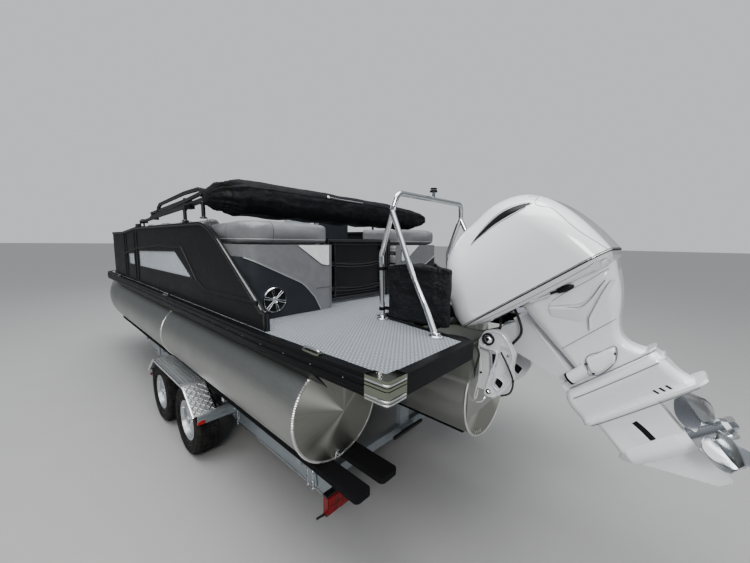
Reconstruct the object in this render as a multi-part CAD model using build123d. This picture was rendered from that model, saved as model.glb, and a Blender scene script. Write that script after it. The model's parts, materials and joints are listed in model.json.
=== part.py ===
from build123d import *
import os
from math import cos, hypot, radians, sin, sqrt, tan

# A tritoon pontoon boat with one outboard engine, standing on its tandem-axle trailer.
# Millimetres. Stations run forward from the aft edge of the swim platform, +Y is to port,
# heights run up from the ground. The finished parts are moved so that the origin lies on
# the ground under the middle of the whole length, from the propeller to the coupler.
MIDSHIP = 3550
FIT = 0.3  # clearance between pieces that seat on each other

# Deck: an edge rail all round a board on cross beams
DECK_Z = 1516
DECK_T = 25
BEAM_H = 77
BEAM_W = 45
BEAM_WALL = 6
BEAM_PITCH = 406
FIRST_BEAM = 130
HALF_BEAM = 1295
DECK_FRONT = 6550
BOW_R = 420
STERN_TUCK = 43  # how far the sides draw in at the stern
TUCK_LEN = 1000
RAIL_W = 60
RAIL_BEAD = 6
CORNER_ARM = 130
WELL_AFT = 480  # half width of the motor well at the stern
WELL_FWD = 344
WELL_LEN = 800

# Tubes
TUBE_R = 330.2
TUBE_Y = HALF_BEAM - 349.5
SIDE_RISER = 40
CENTRE_RISER = 55
RISER_W = 60
SIDE_AFT = 664
CENTRE_AFT = 116
NOSE_START = 5950
NOSE_TIP = 7250
CAP_DEPTH = 55
WELD_STATION = 3210
WELD_R = 4
WELD_W = 9

# Fence
FENCE_Y = HALF_BEAM - 65
FENCE_T = 32
FENCE_AFT = 1020
FENCE_TOP = 2222
BOW_TOP = 2172
DROP = (4320, 5100)  # stations between which the top rail comes down
SLANT_FOOT = 1640
SLANT = 0.69  # rise over run of the slanted aft rail
SLANT_R = 600
FENCE_FRONT = 6180
FENCE_R = 330
PANEL_T = 3
PANEL_IN = 8
MOULD_R = 14
GATE_HALF = 415
GATE_X = 1450
GATE_T = 32
GATE_TOP = 2105
STILE = 38
BOW_GATE_HALF = 390
GATE_GAP = 6
KNUCKLE_R = 8
KNUCKLE_H = 40
PIN_R = 4

# Lounges
LOUNGE_AFT = 1312
LOUNGE_IN = 461
LOUNGE_TOP = 2050
LOUNGE_WALL = 60
LOUNGE_CORNER = 110
LOUNGE_END = 2010  # where the aft lounge's end meets the bench along the side
BOLSTER_TOP = 2220
BOLSTER_X = 220
BOLSTER_R = 40
PORT_BENCH = 3950
STARBOARD_BENCH = 2500
SEAT_Z = 1840
SEAT_PAD = 110
SEAT_DEPTH = 620
BACK_T = 130
SIDE_TOP = 2250
KICK_IN = 40  # the toe recess under the benches
KICK_UP = 70
INSERT_T = 6
INSERT_TOP = 1966
INSERT_EDGE = (  # the dark insert's edge: share of the way out, height, corner radius
    (639 / 729, 1916, 300),
    (284 / 729, 1748, 240),
    (175 / 729, 1628, 120),
)
PALE_TOP = 329 / 729
PALE_FOOT = (105 / 729, 1895)
BENCH_LENGTH = 700  # longest cushion along the side
PAD_R = 25
BACK_R = 40
BOW_LOUNGE = 4600
BOW_BACK = 50
BOW_RISE = 260
SPEAKER_R = 92
SPEAKER_SHARE = 537 / 729  # how far out it is between the gate and the fence
SPEAKER_Z = 1652

# Ski tow bar
BAR_R = 19
BAR_TOP = 2415
BAR_Y = 464
BAR_X = 728
BAR_FOOT_X = 203
BAR_FOOT_Y = 571
LEG_KNEE = (748, 1985)
LEG_LEAN = (LEG_KNEE[0] - BAR_X) / (LEG_KNEE[1] - DECK_Z)

# Folded sunshade
SHADE_PIVOT = (4200, 2290)
SHADE_Y = FENCE_Y - 65
REST_X = 2420
BOOT_X = 1740
BOOT_Z = 2385
BOOT_HALF = SHADE_Y + 70
BOOT = (  # the bundle's sections: share of its half length, station, height, half width, half height
    (-1, 1600, 2330, 95, 52),
    (-0.84, 1690, 2350, 185, 122),
    (-0.4, BOOT_X - 10, 2376, 225, 141),
    (0.4, BOOT_X, 2396, 232, 140),
    (0.86, BOOT_X + 10, 2408, 205, 118),
    (1, BOOT_X + 60, 2404, 120, 70),
)
SHADE_TUBE = 16
SHADE_PIN = 8

# Outboard engine, drawn upright about its tilt pin, then tilted
TILT_PIN = (37, 1466)
TILT = 42
STEER_X = -205
HOUSING_X = -270
YOKE = (-438, 10)  # heights of the yokes that hold the steering tube
POD_TOP = 1436
CLAMP_Y = 195
CLAMP_T = 42
PROP_Z = -910
PROP_R = 195
PLATE_Z = -685

# Trailer
RAIL_TOP_GAP = 177  # bunk underside to main rail top
MAIN_RAIL = (50, 150)
MAIN_Y = TUBE_Y - 3.5
MAIN_AFT = 700
MAIN_FWD = 5300
NECK_END = 7150
TONGUE_FWD = 8020
TONGUE = (76, 102)
TYRE_R = 333
TYRE_W = 205
RIM_R = 192
WHEEL_Y = MAIN_Y + 236
AXLES = (2530, 3385)
AXLE_TUBE = 64
ARM_LEN = 150
FENDER_GAP = 56
FENDER_IN = WHEEL_Y - 62
FENDER_OUT = WHEEL_Y + 137
FENDER_T = 3
FENDER_LIP = 32
BUNK_T = 38
BUNK_AFT = 320
BUNK_FWD = 6300
BUNK_OUT = (TUBE_Y + 44.5, TUBE_Y + 164.5)
BUNK_IN = (TUBE_Y - 185.5, TUBE_Y - 40.5)
JACK_X = 7560
JACK_Y = 130
JACK_TOP = 900
JACK_LEG_R = 24

BEAM_Z = DECK_Z - DECK_T - BEAM_H  # underside of the cross beams
RAIL_H = DECK_T + BEAM_H
SIDE_Z = BEAM_Z - SIDE_RISER - TUBE_R
CENTRE_Z = BEAM_Z - CENTRE_RISER - TUBE_R
BUNK_GAP = min(BUNK_OUT[0] - TUBE_Y, TUBE_Y - BUNK_IN[1])
BUNK_Z = SIDE_Z - sqrt(TUBE_R**2 - BUNK_GAP**2) - FIT
MAIN_Z = BUNK_Z - BUNK_T - RAIL_TOP_GAP
FENCE_IN = FENCE_Y - FENCE_T
SEAT_OUT = FENCE_IN - 8

# Fittings, windows and posts
CLEATS = (520, 2950, 5300)  # stations of the cleats on each side
WINDOWS = (  # corners of each window: station, height
    ((2305, 1741), (2742, 1964), (4200, 1926), (4200, 1731)),
    ((4458, 1731), (4458, 1888), (4806, 1876), (4806, 1731)),
)
MOULDING = (  # the raised moulding's corners: station, height
    (1120, 1682),
    (2010, 1664),
    (2200, 1722),
    (2560, 2006),
    (3244, 2010),
    (4311, 1956),
    (5055, 1864),
)
POSTS = (4250, 4400, 4880, 5010)

# Helm
HELM_X = (BOW_LOUNGE - 1030, BOW_LOUNGE - 420)
HELM_Y = (-SEAT_OUT, 630 - SEAT_OUT)
DASH_Z = 2200
DASH_RISE = 20
WHEEL_HUB = (HELM_X[0] - 55, HELM_Y[1] - 310, 2060)
WHEEL_R = 180
SEAT_POST = (HELM_X[0] - 570, HELM_Y[1] - 200)
SEAT_POST_H = 300
SEAT_HALF = 250

# Sections of the engine, whose seam falls towards the back
SEAM_PITCH = 6.8
COWL = (  # height, front, back, half width, nose radius, tail radius, pitch
    (141, 126, -852, 300, 190, 120, SEAM_PITCH),
    (290, 120, -846, 317, 220, 150, 4),
    (450, 66, -805, 302, 230, 170, 1),
    (590, -24, -718, 240, 190, 170, 0),
    (672, -150, -600, 150, 140, 130, 0),
    (698, -250, -500, 60, 55, 55, 0),
)
PAN = (
    (99, -30, -800, 220, 120, 110, SEAM_PITCH + 1),
    (116, 60, -830, 264, 165, 115, SEAM_PITCH + 0.5),
    (141 - FIT, 122, -848, 297, 188, 118, SEAM_PITCH),
)
MIDSECTION = (  # height, front, back, half width, nose radius, tail radius
    (100, HOUSING_X, -812, 178, 110, 110),
    (-36, HOUSING_X, -800, 170, 100, 105),
    (-145, HOUSING_X, -736, 132, 70, 80),
    (-270, HOUSING_X, -631, 94, 50, 52),
    (-361, HOUSING_X, -581, 78, 45, 45),
    (-430, HOUSING_X, -600, 76, 45, 45),
    (-490, HOUSING_X, -652, 78, 45, 45),
)
LOWER = (
    (-480, -150, -654, 82, 45, 45),
    (-545, -116, -664, 96, 45, 45),
    (-610, -110, -670, 76, 45, 45),
    (-676, -106, -700, 62, 40, 40),
)
MOUNT_Y = 88
MOUNT_R = 34
MOUNT_COVER = ((-330, -366, 12), (-525, -372, 8), (-478, -446, 14), (-330, -474, 12))
STRUT = (
    (-570, -150, -620, 50, 40, 20),
    (-700, -158, -500, 38, 35, 12),
    (PROP_Z + 20, -165, -500, 34, 32, 10),
)
GEARCASE = (  # half of its profile, turned about the propeller's axis: station, radius, corner radius
    (-141, 0, 0),
    (-141, 8, 0),
    (-200, 52, 30),
    (-330, 60, 0),
    (-455, 58, 0),
    (-508, 50, 0),
    (-508, 0, 0),
)
SKEG = ((-200, PROP_Z - 40, 0), (-455, -1134, 20), (-521, -1134, 10), (-490, PROP_Z - 40, 0))
PLATES = (  # the splash ridges and the plate over the propeller: height, front, back, half width, thickness
    (-470, -140, -668, 98, 8),
    (-524, -118, -672, 112, 9),
    (PLATE_Z, -105, -741, 116, 14),
)

# Clamp bracket and tilt cylinder
CLAMP = (  # the clamp bracket's outline on the transom: station, height, corner radius
    (107, 1398, 8),
    (107, 1440, 20),
    (70, 1512, 30),
    (0, 1531, 25),
    (-58, 1512, 30),
    (-130, 1396, 40),
    (-119, 1310, 40),
    (-128, 1228, 20),
    (-84, 1138, 20),
    (-12, 1072, 20),
    (55, 1080, 12),
    (30, 1185, 30),
    (8, 1283, 30),
    (-14, 1386, 12),
)
CLAMP_SLOT = ((-25, 1221, 8), (-74, 1196, 10), (-43, 1138, 10), (-8, 1168, 8))
CYL_PIN = (22, 1112)  # the tilt cylinder's lower pin: station, height
CYL_PIN_R = 12
CYL_EYE = (-87, -23)  # the rod's upper pin on the swivel bracket, from the tilt pin
CYL_R = 24
EYE_HALF = 16
CHEEK = 50
CYL_LEN = 250

# Cross members of the trailer
CROSS = (850, 2040, 2940, 3900, 4700)


def block(x, y, z):
    """A box between two limits on each axis."""
    size = Box(x[1] - x[0], y[1] - y[0], z[1] - z[0])
    return Pos((x[0] + x[1]) / 2, (y[0] + y[1]) / 2, (z[0] + z[1]) / 2) * size


def runs(corners, closed):
    """Straight runs joined by tangent arcs, from corners given as (point, radius)."""
    joins = []
    count = len(corners)
    for i, (point, radius) in enumerate(corners):
        p = Vector(point)
        end = not closed and i in (0, count - 1)
        if radius == 0 or end:
            joins.append((p, None, p))
            continue
        a = (Vector(corners[i - 1][0]) - p).normalized()
        b = (Vector(corners[(i + 1) % count][0]) - p).normalized()
        half = radians(a.get_angle(b) / 2)
        centre = p + (a + b).normalized() * (radius / sin(half))
        middle = centre + (p - centre).normalized() * radius
        run = radius / tan(half)
        joins.append((p + a * run, middle, p + b * run))
    edges = []
    for i, (start, middle, end) in enumerate(joins):
        if middle is not None:
            edges.append(ThreePointArc(start, middle, end))
        if i + 1 < count or closed:
            after = joins[(i + 1) % count][0]
            if (after - end).length > 1e-4:
                edges.append(Line(end, after))
    return edges


def outline(*corners):
    """A flat face from corners given as (x, y, radius)."""
    return make_face(runs([((x, y), r) for x, y, r in corners], True))


def side_on(face, y0, y1):
    """A face drawn in X and Z, made solid between two distances to port."""
    return Pos(0, y1, 0) * extrude(Plane.XZ * face, amount=y1 - y0)


def head_on(face, x0, x1):
    """A face drawn in Y and Z, made solid between two stations."""
    return Pos(x0, 0, 0) * extrude(Plane.YZ * face, amount=x1 - x0)


def flat(face, z0, z1):
    """A face drawn in plan, made solid between two heights."""
    return Pos(0, 0, z0) * extrude(face, amount=z1 - z0)


def tube(points, radius, bend):
    """A round bar along points in space, each bend with the same radius."""
    path = Wire(runs([(p, bend) for p in points], False))
    start = Plane(origin=path @ 0, z_dir=path % 0)
    return sweep(start * Circle(radius), path=path)


def rod(start, end, radius):
    """A straight round bar between two points."""
    axis = Vector(end) - Vector(start)
    return extrude(Plane(origin=start, z_dir=axis) * Circle(radius), amount=axis.length)


def across(x, z, radius, y0, y1):
    """A round pin across the boat."""
    return rod((x, y0, z), (x, y1, z), radius)


def starboard(shape):
    """The same piece on the other side."""
    return mirror(shape, about=Plane.XZ)


def both(shape):
    """A piece and its mirror image."""
    return [shape, starboard(shape)]


def rounded(x, y, z, radius):
    """A cushion's plain body: a box with rounded edges."""
    solid = block(x, y, z)
    return fillet(solid.edges(), radius)


def plan(inset):
    """The deck's outline in plan, drawn in by a distance all round."""
    tuck = STERN_TUCK / TUCK_LEN
    well = (WELL_AFT - WELL_FWD) / WELL_LEN
    tuck_in = inset * hypot(1, tuck)
    well_in = inset * hypot(1, well)
    front = DECK_FRONT - inset
    side = HALF_BEAM - inset
    bow_r = BOW_R - inset
    forward = WELL_LEN + inset
    port = [
        (forward, WELL_AFT - well * forward + well_in, 0),
        (inset, WELL_AFT - well * inset + well_in, 0),
        (inset, HALF_BEAM - STERN_TUCK + tuck * inset - tuck_in, 15),
        (TUCK_LEN, side, 2000),
        (front, side, bow_r),
    ]
    return outline(*port, *[(x, -y, r) for x, y, r in reversed(port)])


def pontoon(y, z, aft, riser_aft, cap):
    """A round tube with a raked nose, riser strip, weld beads and a shallow aft cone."""
    body = rod((aft, y, z), (NOSE_START, y, z), TUBE_R)
    top = z + TUBE_R
    sections = []
    for share, size in ((0, 1), (0.4, 0.9), (0.75, 0.62), (1, 0.2)):
        x = NOSE_START + (NOSE_TIP - NOSE_START) * share
        r = TUBE_R * size
        sections.append(Plane(origin=(x, y, top - r), z_dir=(1, 0, 0)) * Circle(r))
    body += loft(sections)
    if cap:
        cone = Plane(origin=(aft, y, z), z_dir=(-1, 0, 0)) * Pos(0, 0, cap / 2)
        body += cone * Cone(TUBE_R, 1, cap)
    body += block((riser_aft, NOSE_START), (y - RISER_W / 2, y + RISER_W / 2), (z, BEAM_Z))
    rest = block((aft - 50, NOSE_START), (y - TUBE_R, y + TUBE_R), (z - TUBE_R - 20, z - TUBE_R * 0.8))
    for station in (aft + WELD_W / 2, WELD_STATION):
        bead = rod((station - WELD_W / 2, y, z), (station + WELD_W / 2, y, z), TUBE_R + WELD_R)
        body += bead - rest
    return body


def deck_beams():
    """C-section cross beams on the tubes, split at the motor well."""
    beams = []
    outer = HALF_BEAM - RAIL_W - FIT
    station = FIRST_BEAM
    while station < DECK_FRONT - BOW_R:
        reach = outer - (STERN_TUCK if station < TUCK_LEN else 0)
        x = (station, station + BEAM_W)
        z = (BEAM_Z, BEAM_Z + BEAM_H)
        inner = WELL_AFT + RAIL_W if station < WELL_LEN + RAIL_W else None
        hollow = (station + BEAM_WALL, station + BEAM_W)
        gap = (BEAM_Z + BEAM_WALL, BEAM_Z + BEAM_H - BEAM_WALL)
        if inner is None:
            beams.append(block(x, (-reach, reach), z) - block(hollow, (-reach, reach), gap))
        else:
            half = block(x, (inner, reach), z) - block(hollow, (inner, reach), gap)
            beams += both(half)
        station += BEAM_PITCH
    return beams


def edge_rail():
    """The black rail round the deck, with two rub beads along the sides."""
    low = DECK_Z - RAIL_H
    ring = flat(plan(RAIL_BEAD), low, DECK_Z) - flat(plan(RAIL_W), low, DECK_Z)
    for drop in (20, 58):
        top = DECK_Z - drop
        bead = flat(plan(0), top - 28, top)
        bead = chamfer(bead.edges().group_by(Axis.Z)[0], 5)
        bead = chamfer(bead.edges().group_by(Axis.Z)[-1], 5)
        bead -= flat(plan(RAIL_BEAD + 4), low, DECK_Z)
        bead -= block((-10, CORNER_ARM), (-HALF_BEAM, HALF_BEAM), (low, DECK_Z))
        bead -= block((-10, WELL_LEN + 100), (-WELL_AFT - 90, WELL_AFT + 90), (low, DECK_Z))
        ring += bead
    return ring


def corner_castings():
    """Bright cast corners over the rail at the stern."""
    low = DECK_Z - RAIL_H - 6
    high = DECK_Z + 4
    side = flat(plan(0), low, high) - flat(plan(RAIL_BEAD - FIT), low, high)
    cap = flat(plan(0), DECK_Z + FIT, high) - flat(plan(RAIL_W), DECK_Z, high)
    for drop in (24, 40):
        groove = flat(plan(-2), DECK_Z - drop - 5, DECK_Z - drop) - flat(plan(2.5), low, high)
        side -= groove
    shell = side + cap
    edge = HALF_BEAM - STERN_TUCK - CORNER_ARM
    return both(shell & block((-5, CORNER_ARM - 1), (edge, HALF_BEAM), (low, high)))


def cleats():
    """Flush oval cleats on the edge rail."""
    fittings = []
    for x in CLEATS:
        tuck = STERN_TUCK * max(0, 1 - x / TUCK_LEN)
        pad = Pos(x, HALF_BEAM - RAIL_W / 2 - tuck, DECK_Z + FIT) * extrude(SlotOverall(150, 44), amount=9)
        fittings += both(pad)
    return fittings


def skirts():
    """Ribbed black side skirts between the rail and the tubes."""
    top_y = HALF_BEAM - RAIL_W / 2
    low_y = TUBE_Y + TUBE_R * 0.66
    low_z = SIDE_Z + sqrt(TUBE_R**2 - (low_y - TUBE_Y) ** 2) + 12
    top_z = BEAM_Z - FIT
    face = outline(
        (top_y, top_z, 0),
        (low_y, low_z, 0),
        (low_y - 4, low_z, 0),
        (top_y - 26, top_z - 4, 0),
        (top_y - 26, top_z, 0),
    )
    return both(head_on(face, TUCK_LEN / 2, NOSE_START))


def motor_pod():
    """The transom that carries the engine, its gussets and the well's floor."""
    face = CENTRE_AFT - WELD_R
    back = CENTRE_AFT + 30
    end = WELL_LEN - 60
    low = CENTRE_Z - TUBE_R * 0.35
    half = WELL_FWD - 40
    tube_top = CENTRE_Z + TUBE_R
    pod = block((face, back), (-half, half), (low, POD_TOP))
    side = outline(
        (back, low, 0),
        (back + 60, low, 60),
        (end, tube_top - 40, 0),
        (end, tube_top + 12, 0),
        (back + 160, tube_top + 12, 0),
        (back, POD_TOP, 0),
    )
    for y in (half - 12, -half):
        pod += side_on(side, y, y + 12)
    pod += block((back, end), (-half, half), (tube_top - 4, tube_top + 4))
    return pod


def fence_outline(inset):
    """The side fence seen from the side, drawn in by a distance."""
    rise = DECK_Z + inset
    top = FENCE_TOP - inset
    bow = BOW_TOP - inset
    lean = hypot(1, SLANT)
    foot_x = FENCE_AFT + inset
    start = FENCE_AFT + 59 + (inset * lean - inset) / SLANT
    corner = start + (FENCE_TOP - SLANT_FOOT) / SLANT
    end = FENCE_FRONT - FENCE_R
    return outline(
        (foot_x, rise, 0),
        (foot_x, SLANT_FOOT - inset, 0),
        (start, SLANT_FOOT - inset, 0),
        (corner, top, SLANT_R),
        (DROP[0], top, 0),
        (DROP[1], bow, 0),
        (end, bow, 0),
        (end, rise, 0),
    )


def window(corners, grow):
    """One window's outline, grown by a distance along X and Z."""
    cx = sum(p[0] for p in corners) / 4
    cz = sum(p[1] for p in corners) / 4
    moved = []
    for x, z in corners:
        dx = grow if x > cx else -grow
        dz = grow if z > cz else -grow
        moved.append((x + dx, z + dz, 18))
    return outline(*moved)


def fence_side():
    """One side of the fence: square tube frame, skin, posts and raised moulding."""
    frame = side_on(fence_outline(0), FENCE_IN, FENCE_Y)
    frame -= side_on(fence_outline(FENCE_T), FENCE_IN - 1, FENCE_Y + 1)
    skin_y = FENCE_Y - PANEL_IN
    skin = side_on(fence_outline(FENCE_T / 2), skin_y - PANEL_T, skin_y)
    for corners in WINDOWS:
        skin -= side_on(window(corners, 0), FENCE_IN, FENCE_Y)
    panel = frame + skin
    for x in POSTS:
        panel += block((x, x + FENCE_T), (FENCE_IN, FENCE_Y), (DECK_Z + 5, BOW_TOP - 5))
    moulding = tube([(x, skin_y, z) for x, z in MOULDING], MOULD_R, 60)
    behind = (FENCE_IN - MOULD_R, skin_y - PANEL_T)
    return panel + (moulding - block((FENCE_AFT, FENCE_FRONT), behind, (DECK_Z, FENCE_TOP)))


def fence_plan(inset):
    """The bow end of the fence in plan."""
    end = FENCE_FRONT - FENCE_R
    side = FENCE_Y - inset
    return outline(
        (end, -side, 0),
        (FENCE_FRONT - inset, -side, FENCE_R - inset),
        (FENCE_FRONT - inset, side, FENCE_R - inset),
        (end, side, 0),
    )


def fence_bow():
    """The fence round the bow on both sides of the bow gate."""
    hoops = [(DECK_Z, DECK_Z + FENCE_T), (BOW_TOP - FENCE_T, BOW_TOP)]
    ring = fence_plan(0) - fence_plan(FENCE_T)
    skin = fence_plan(PANEL_IN) - fence_plan(PANEL_IN + PANEL_T)
    wall = flat(skin, DECK_Z + 5, BOW_TOP - 5)
    for z in hoops:
        wall += flat(ring, *z)
    opening = BOW_GATE_HALF + STILE
    reach = (FENCE_FRONT - FENCE_T, FENCE_FRONT)
    for y in (opening - STILE, -opening):
        wall += block(reach, (y, y + STILE), (DECK_Z, BOW_TOP))
    inner = opening - STILE
    wall -= block((FENCE_FRONT - 100, FENCE_FRONT + 5), (-inner, inner), (DECK_Z - 5, BOW_TOP + 5))
    for pin in hinge_pins(FENCE_FRONT - GATE_T, BOW_GATE_HALF, BOW_TOP, -1):
        wall += pin
    return wall


def gate(x, half, top, ribs):
    """A gate leaf: square tube frame, skin and pressed ribs."""
    y = (-half + GATE_GAP, half - GATE_GAP)
    z = (DECK_Z + 20, top)
    leaf = block((x, x + GATE_T), y, z)
    inner_y = (y[0] + STILE, y[1] - STILE)
    inner_z = (z[0] + STILE, z[1] - STILE)
    leaf -= block((x - 1, x + GATE_T + 1), inner_y, inner_z)
    mid = x + GATE_T / 2
    leaf += block((mid - 2, mid + 2), (y[0] + 5, y[1] - 5), (z[0] + 5, z[1] - 5))
    for height in ribs:
        leaf += rod((mid - 2, inner_y[0] - 2, height), (mid - 2, inner_y[1] + 2, height), 9)
    return leaf


def hinge_line(face, half, inward):
    """A gate hinge's axis in plan, off the leaf's inner face at its port edge."""
    return face + inward * (KNUCKLE_R + 1), half - GATE_GAP / 2


def knuckles(face, half, top, inward):
    """The gate's two hinge barrels and their leaves."""
    x, y = hinge_line(face, half, inward)
    pieces = []
    for z in (DECK_Z + 110, top - 110):
        barrel = rod((x, y, z), (x, y, z + KNUCKLE_H), KNUCKLE_R)
        barrel += block(sorted((face - inward * 2, x)), (y - 30, y - 4), (z, z + KNUCKLE_H))
        pieces.append(barrel - rod((x, y, z - 1), (x, y, z + KNUCKLE_H + 1), PIN_R + FIT))
    return pieces


def hinge_pins(face, half, top, inward):
    """The post's two hinge pins and the lugs that hold them."""
    x, y = hinge_line(face, half, inward)
    pieces = []
    for z in (DECK_Z + 110, top - 110):
        lug = block(sorted((face - inward * 2, x + inward * 5)), (half + 1, half + 12), (z - 14, z - FIT))
        lug += block(sorted((x - inward * 5, x + inward * 5)), (y - 5, half + 12), (z - 14, z - FIT))
        pieces.append(lug + rod((x, y, z - 14), (x, y, z + KNUCKLE_H), PIN_R))
    return pieces


def aft_gate():
    """The stern gate, which swings forward."""
    leaf = gate(GATE_X, GATE_HALF, GATE_TOP, (1655, 1880))
    for piece in knuckles(GATE_X + GATE_T, GATE_HALF, GATE_TOP, 1):
        leaf += piece
    return leaf


def bow_gate():
    """The bow gate, which swings aft."""
    leaf = gate(FENCE_FRONT - GATE_T, BOW_GATE_HALF, BOW_TOP, (1700, 1940))
    for piece in knuckles(FENCE_FRONT - GATE_T, BOW_GATE_HALF, BOW_TOP, -1):
        leaf += piece
    return leaf


def gate_posts():
    """Fixed posts on both sides of the aft gate, with its hinge pins."""
    post = block((GATE_X, GATE_X + GATE_T), (GATE_HALF, GATE_HALF + STILE), (DECK_Z, GATE_TOP))
    port = post
    for pin in hinge_pins(GATE_X + GATE_T, GATE_HALF, GATE_TOP, 1):
        port += pin
    return [port, starboard(post)]


def windows():
    """The acrylic panes behind the fence skin."""
    panes = []
    skin = FENCE_Y - PANEL_IN - PANEL_T
    for corners in WINDOWS:
        panes += both(side_on(window(corners, 8), skin - 4, skin - FIT))
    return panes


def lounge_y(share):
    """A distance to port, as a share of the way from the gate to the fence."""
    return LOUNGE_IN + share * (SEAT_OUT - LOUNGE_IN)


def lounge_plan(inset, front):
    """A lounge's aft end in plan, drawn in by a distance, with its outboard corner rounded."""
    return outline(
        (LOUNGE_AFT + inset, LOUNGE_IN + inset, 0),
        (front, LOUNGE_IN + inset, 0),
        (front, SEAT_OUT - inset, 0),
        (LOUNGE_AFT + inset, SEAT_OUT - inset, LOUNGE_CORNER - inset),
    )


def aft_shell(end):
    """A lounge's rigid base and the upright panel that wraps its backrest."""
    bench = SEAT_OUT - SEAT_DEPTH
    base = flat(lounge_plan(0, LOUNGE_END), DECK_Z, LOUNGE_TOP)
    room = ((LOUNGE_AFT + LOUNGE_WALL, LOUNGE_END + 1), (LOUNGE_IN - 1, SEAT_OUT - LOUNGE_WALL))
    base -= block(*room, (SEAT_Z, LOUNGE_TOP + 1))
    base += block((LOUNGE_END - 10, end), (bench, SEAT_OUT), (DECK_Z, SEAT_Z))
    base -= block((LOUNGE_END, end + 1), (bench - 1, bench + KICK_IN), (DECK_Z - 1, DECK_Z + KICK_UP))
    return base


def bolster():
    """The thick roll over a lounge's back, from the gate round the corner to the side."""
    inner = SEAT_OUT - BACK_T - 20
    soft = BOLSTER_R + 10
    roll = flat(outline(
        (LOUNGE_AFT, LOUNGE_IN + 20, soft),
        (LOUNGE_AFT + BOLSTER_X, LOUNGE_IN + 20, soft),
        (LOUNGE_AFT + BOLSTER_X, inner, soft),
        (LOUNGE_END - 4, inner, soft),
        (LOUNGE_END - 4, SEAT_OUT, soft),
        (LOUNGE_AFT, SEAT_OUT, LOUNGE_CORNER + 60),
    ), LOUNGE_TOP + FIT, BOLSTER_TOP)
    rims = roll.edges().group_by(Axis.Z)
    return fillet(rims[0] + rims[-1], BOLSTER_R)


def aft_pads(end):
    """Seat pads, backrests and the thick roll over the backrest."""
    bench = SEAT_OUT - SEAT_DEPTH
    seat = (SEAT_Z + FIT, SEAT_Z + SEAT_PAD)
    back = LOUNGE_AFT + LOUNGE_WALL + FIT
    upper = (seat[1] + FIT, LOUNGE_TOP - FIT)
    side = SEAT_OUT - BACK_T
    wall = SEAT_OUT - LOUNGE_WALL - FIT
    pads = [
        rounded((back, LOUNGE_END), (LOUNGE_IN, wall), seat, PAD_R),
        rounded((back, back + BACK_T), (LOUNGE_IN, wall), upper, PAD_R),
        bolster(),
    ]
    length = end - LOUNGE_END
    count = max(1, round(length / BENCH_LENGTH))
    for i in range(count):
        x = (LOUNGE_END + FIT + length * i / count, LOUNGE_END + length * (i + 1) / count - 1)
        pads.append(rounded(x, (bench, SEAT_OUT), seat, PAD_R))
        pads.append(rounded(x, (side, SEAT_OUT), (seat[1] + FIT, SIDE_TOP), BACK_R))
    return pads


def bow_shell():
    """A bow lounge's rigid base."""
    bench = SEAT_OUT - SEAT_DEPTH
    end = FENCE_FRONT - FENCE_R
    base = block((BOW_LOUNGE, end), (bench, SEAT_OUT), (DECK_Z, SEAT_Z))
    back = (BOW_LOUNGE - BOW_BACK, BOW_LOUNGE)
    base += block(back, (bench, SEAT_OUT), (DECK_Z, SEAT_Z + SEAT_PAD + BOW_RISE))
    base -= block((BOW_LOUNGE, end + 1), (bench - 1, bench + KICK_IN), (DECK_Z - 1, DECK_Z + KICK_UP))
    return base


def bow_pads():
    """Bow lounge cushions."""
    bench = SEAT_OUT - SEAT_DEPTH
    end = FENCE_FRONT - FENCE_R
    seat = (SEAT_Z + FIT, SEAT_Z + SEAT_PAD)
    side = SEAT_OUT - BACK_T
    start = BOW_LOUNGE + FIT
    back = start + BACK_T
    return [
        rounded((start, end), (bench, SEAT_OUT), seat, PAD_R),
        rounded((start, back), (bench, SEAT_OUT), (seat[1] + FIT, BOW_TOP), BACK_R),
        rounded((back + 2, end), (side, SEAT_OUT), (seat[1] + FIT, BOW_TOP), BACK_R),
    ]


def back_inserts():
    """The dark lower insert round each lounge's aft corner, and the pale upper corner."""
    skin = flat(lounge_plan(-INSERT_T, LOUNGE_END), DECK_Z, LOUNGE_TOP)
    skin -= flat(lounge_plan(-FIT, LOUNGE_END + 1), DECK_Z - 1, LOUNGE_TOP + 1)
    rim = SEAT_OUT + INSERT_T + 1
    edge = [(lounge_y(share), z, r) for share, z, r in INSERT_EDGE]
    dark = outline((rim, DECK_Z + 4, 0), (rim, INSERT_TOP, 0), *edge, (edge[-1][0] - 58, DECK_Z + 4, 0))
    inner = LOUNGE_IN + 30
    pale = outline(
        (lounge_y(PALE_TOP), LOUNGE_TOP - 4, 0),
        (lounge_y(PALE_FOOT[0]), PALE_FOOT[1], 12),
        (inner, PALE_FOOT[1] - 15, 12),
        (inner, LOUNGE_TOP - 4, 0),
    )
    reach = (LOUNGE_AFT - INSERT_T - 1, LOUNGE_AFT + 330)
    return both(skin & head_on(dark, *reach)), both(skin & head_on(pale, *reach))


def speakers():
    """Speaker grilles on the lounges' aft faces: a ring, spokes and a hub."""
    face = LOUNGE_AFT - INSERT_T - FIT
    ring = rod((face - 12, 0, 0), (face, 0, 0), SPEAKER_R) - rod((face - 20, 0, 0), (face - 4, 0, 0), 78)
    cone = rod((face - 9, 0, 0), (face - 3, 0, 0), 30)
    shape = ring + cone
    for turn in range(6):
        spoke = block((face - 9, face - 3), (20, 82), (-6, 6))
        shape += Rot(turn * 60 + 30, 0, 0) * spoke
    shape = Pos(0, lounge_y(SPEAKER_SHARE), SPEAKER_Z) * shape
    return both(shape)


def helm():
    """Helm console with a sloped dash."""
    face = outline(
        (HELM_X[0] + 60, DECK_Z, 0),
        (HELM_X[0], DECK_Z + 480, 30),
        (HELM_X[0] + 90, DASH_Z, 40),
        (HELM_X[1] - 60, DASH_Z + DASH_RISE, 60),
        (HELM_X[1], DECK_Z, 0),
    )
    return side_on(face, HELM_Y[0], HELM_Y[1])


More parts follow.
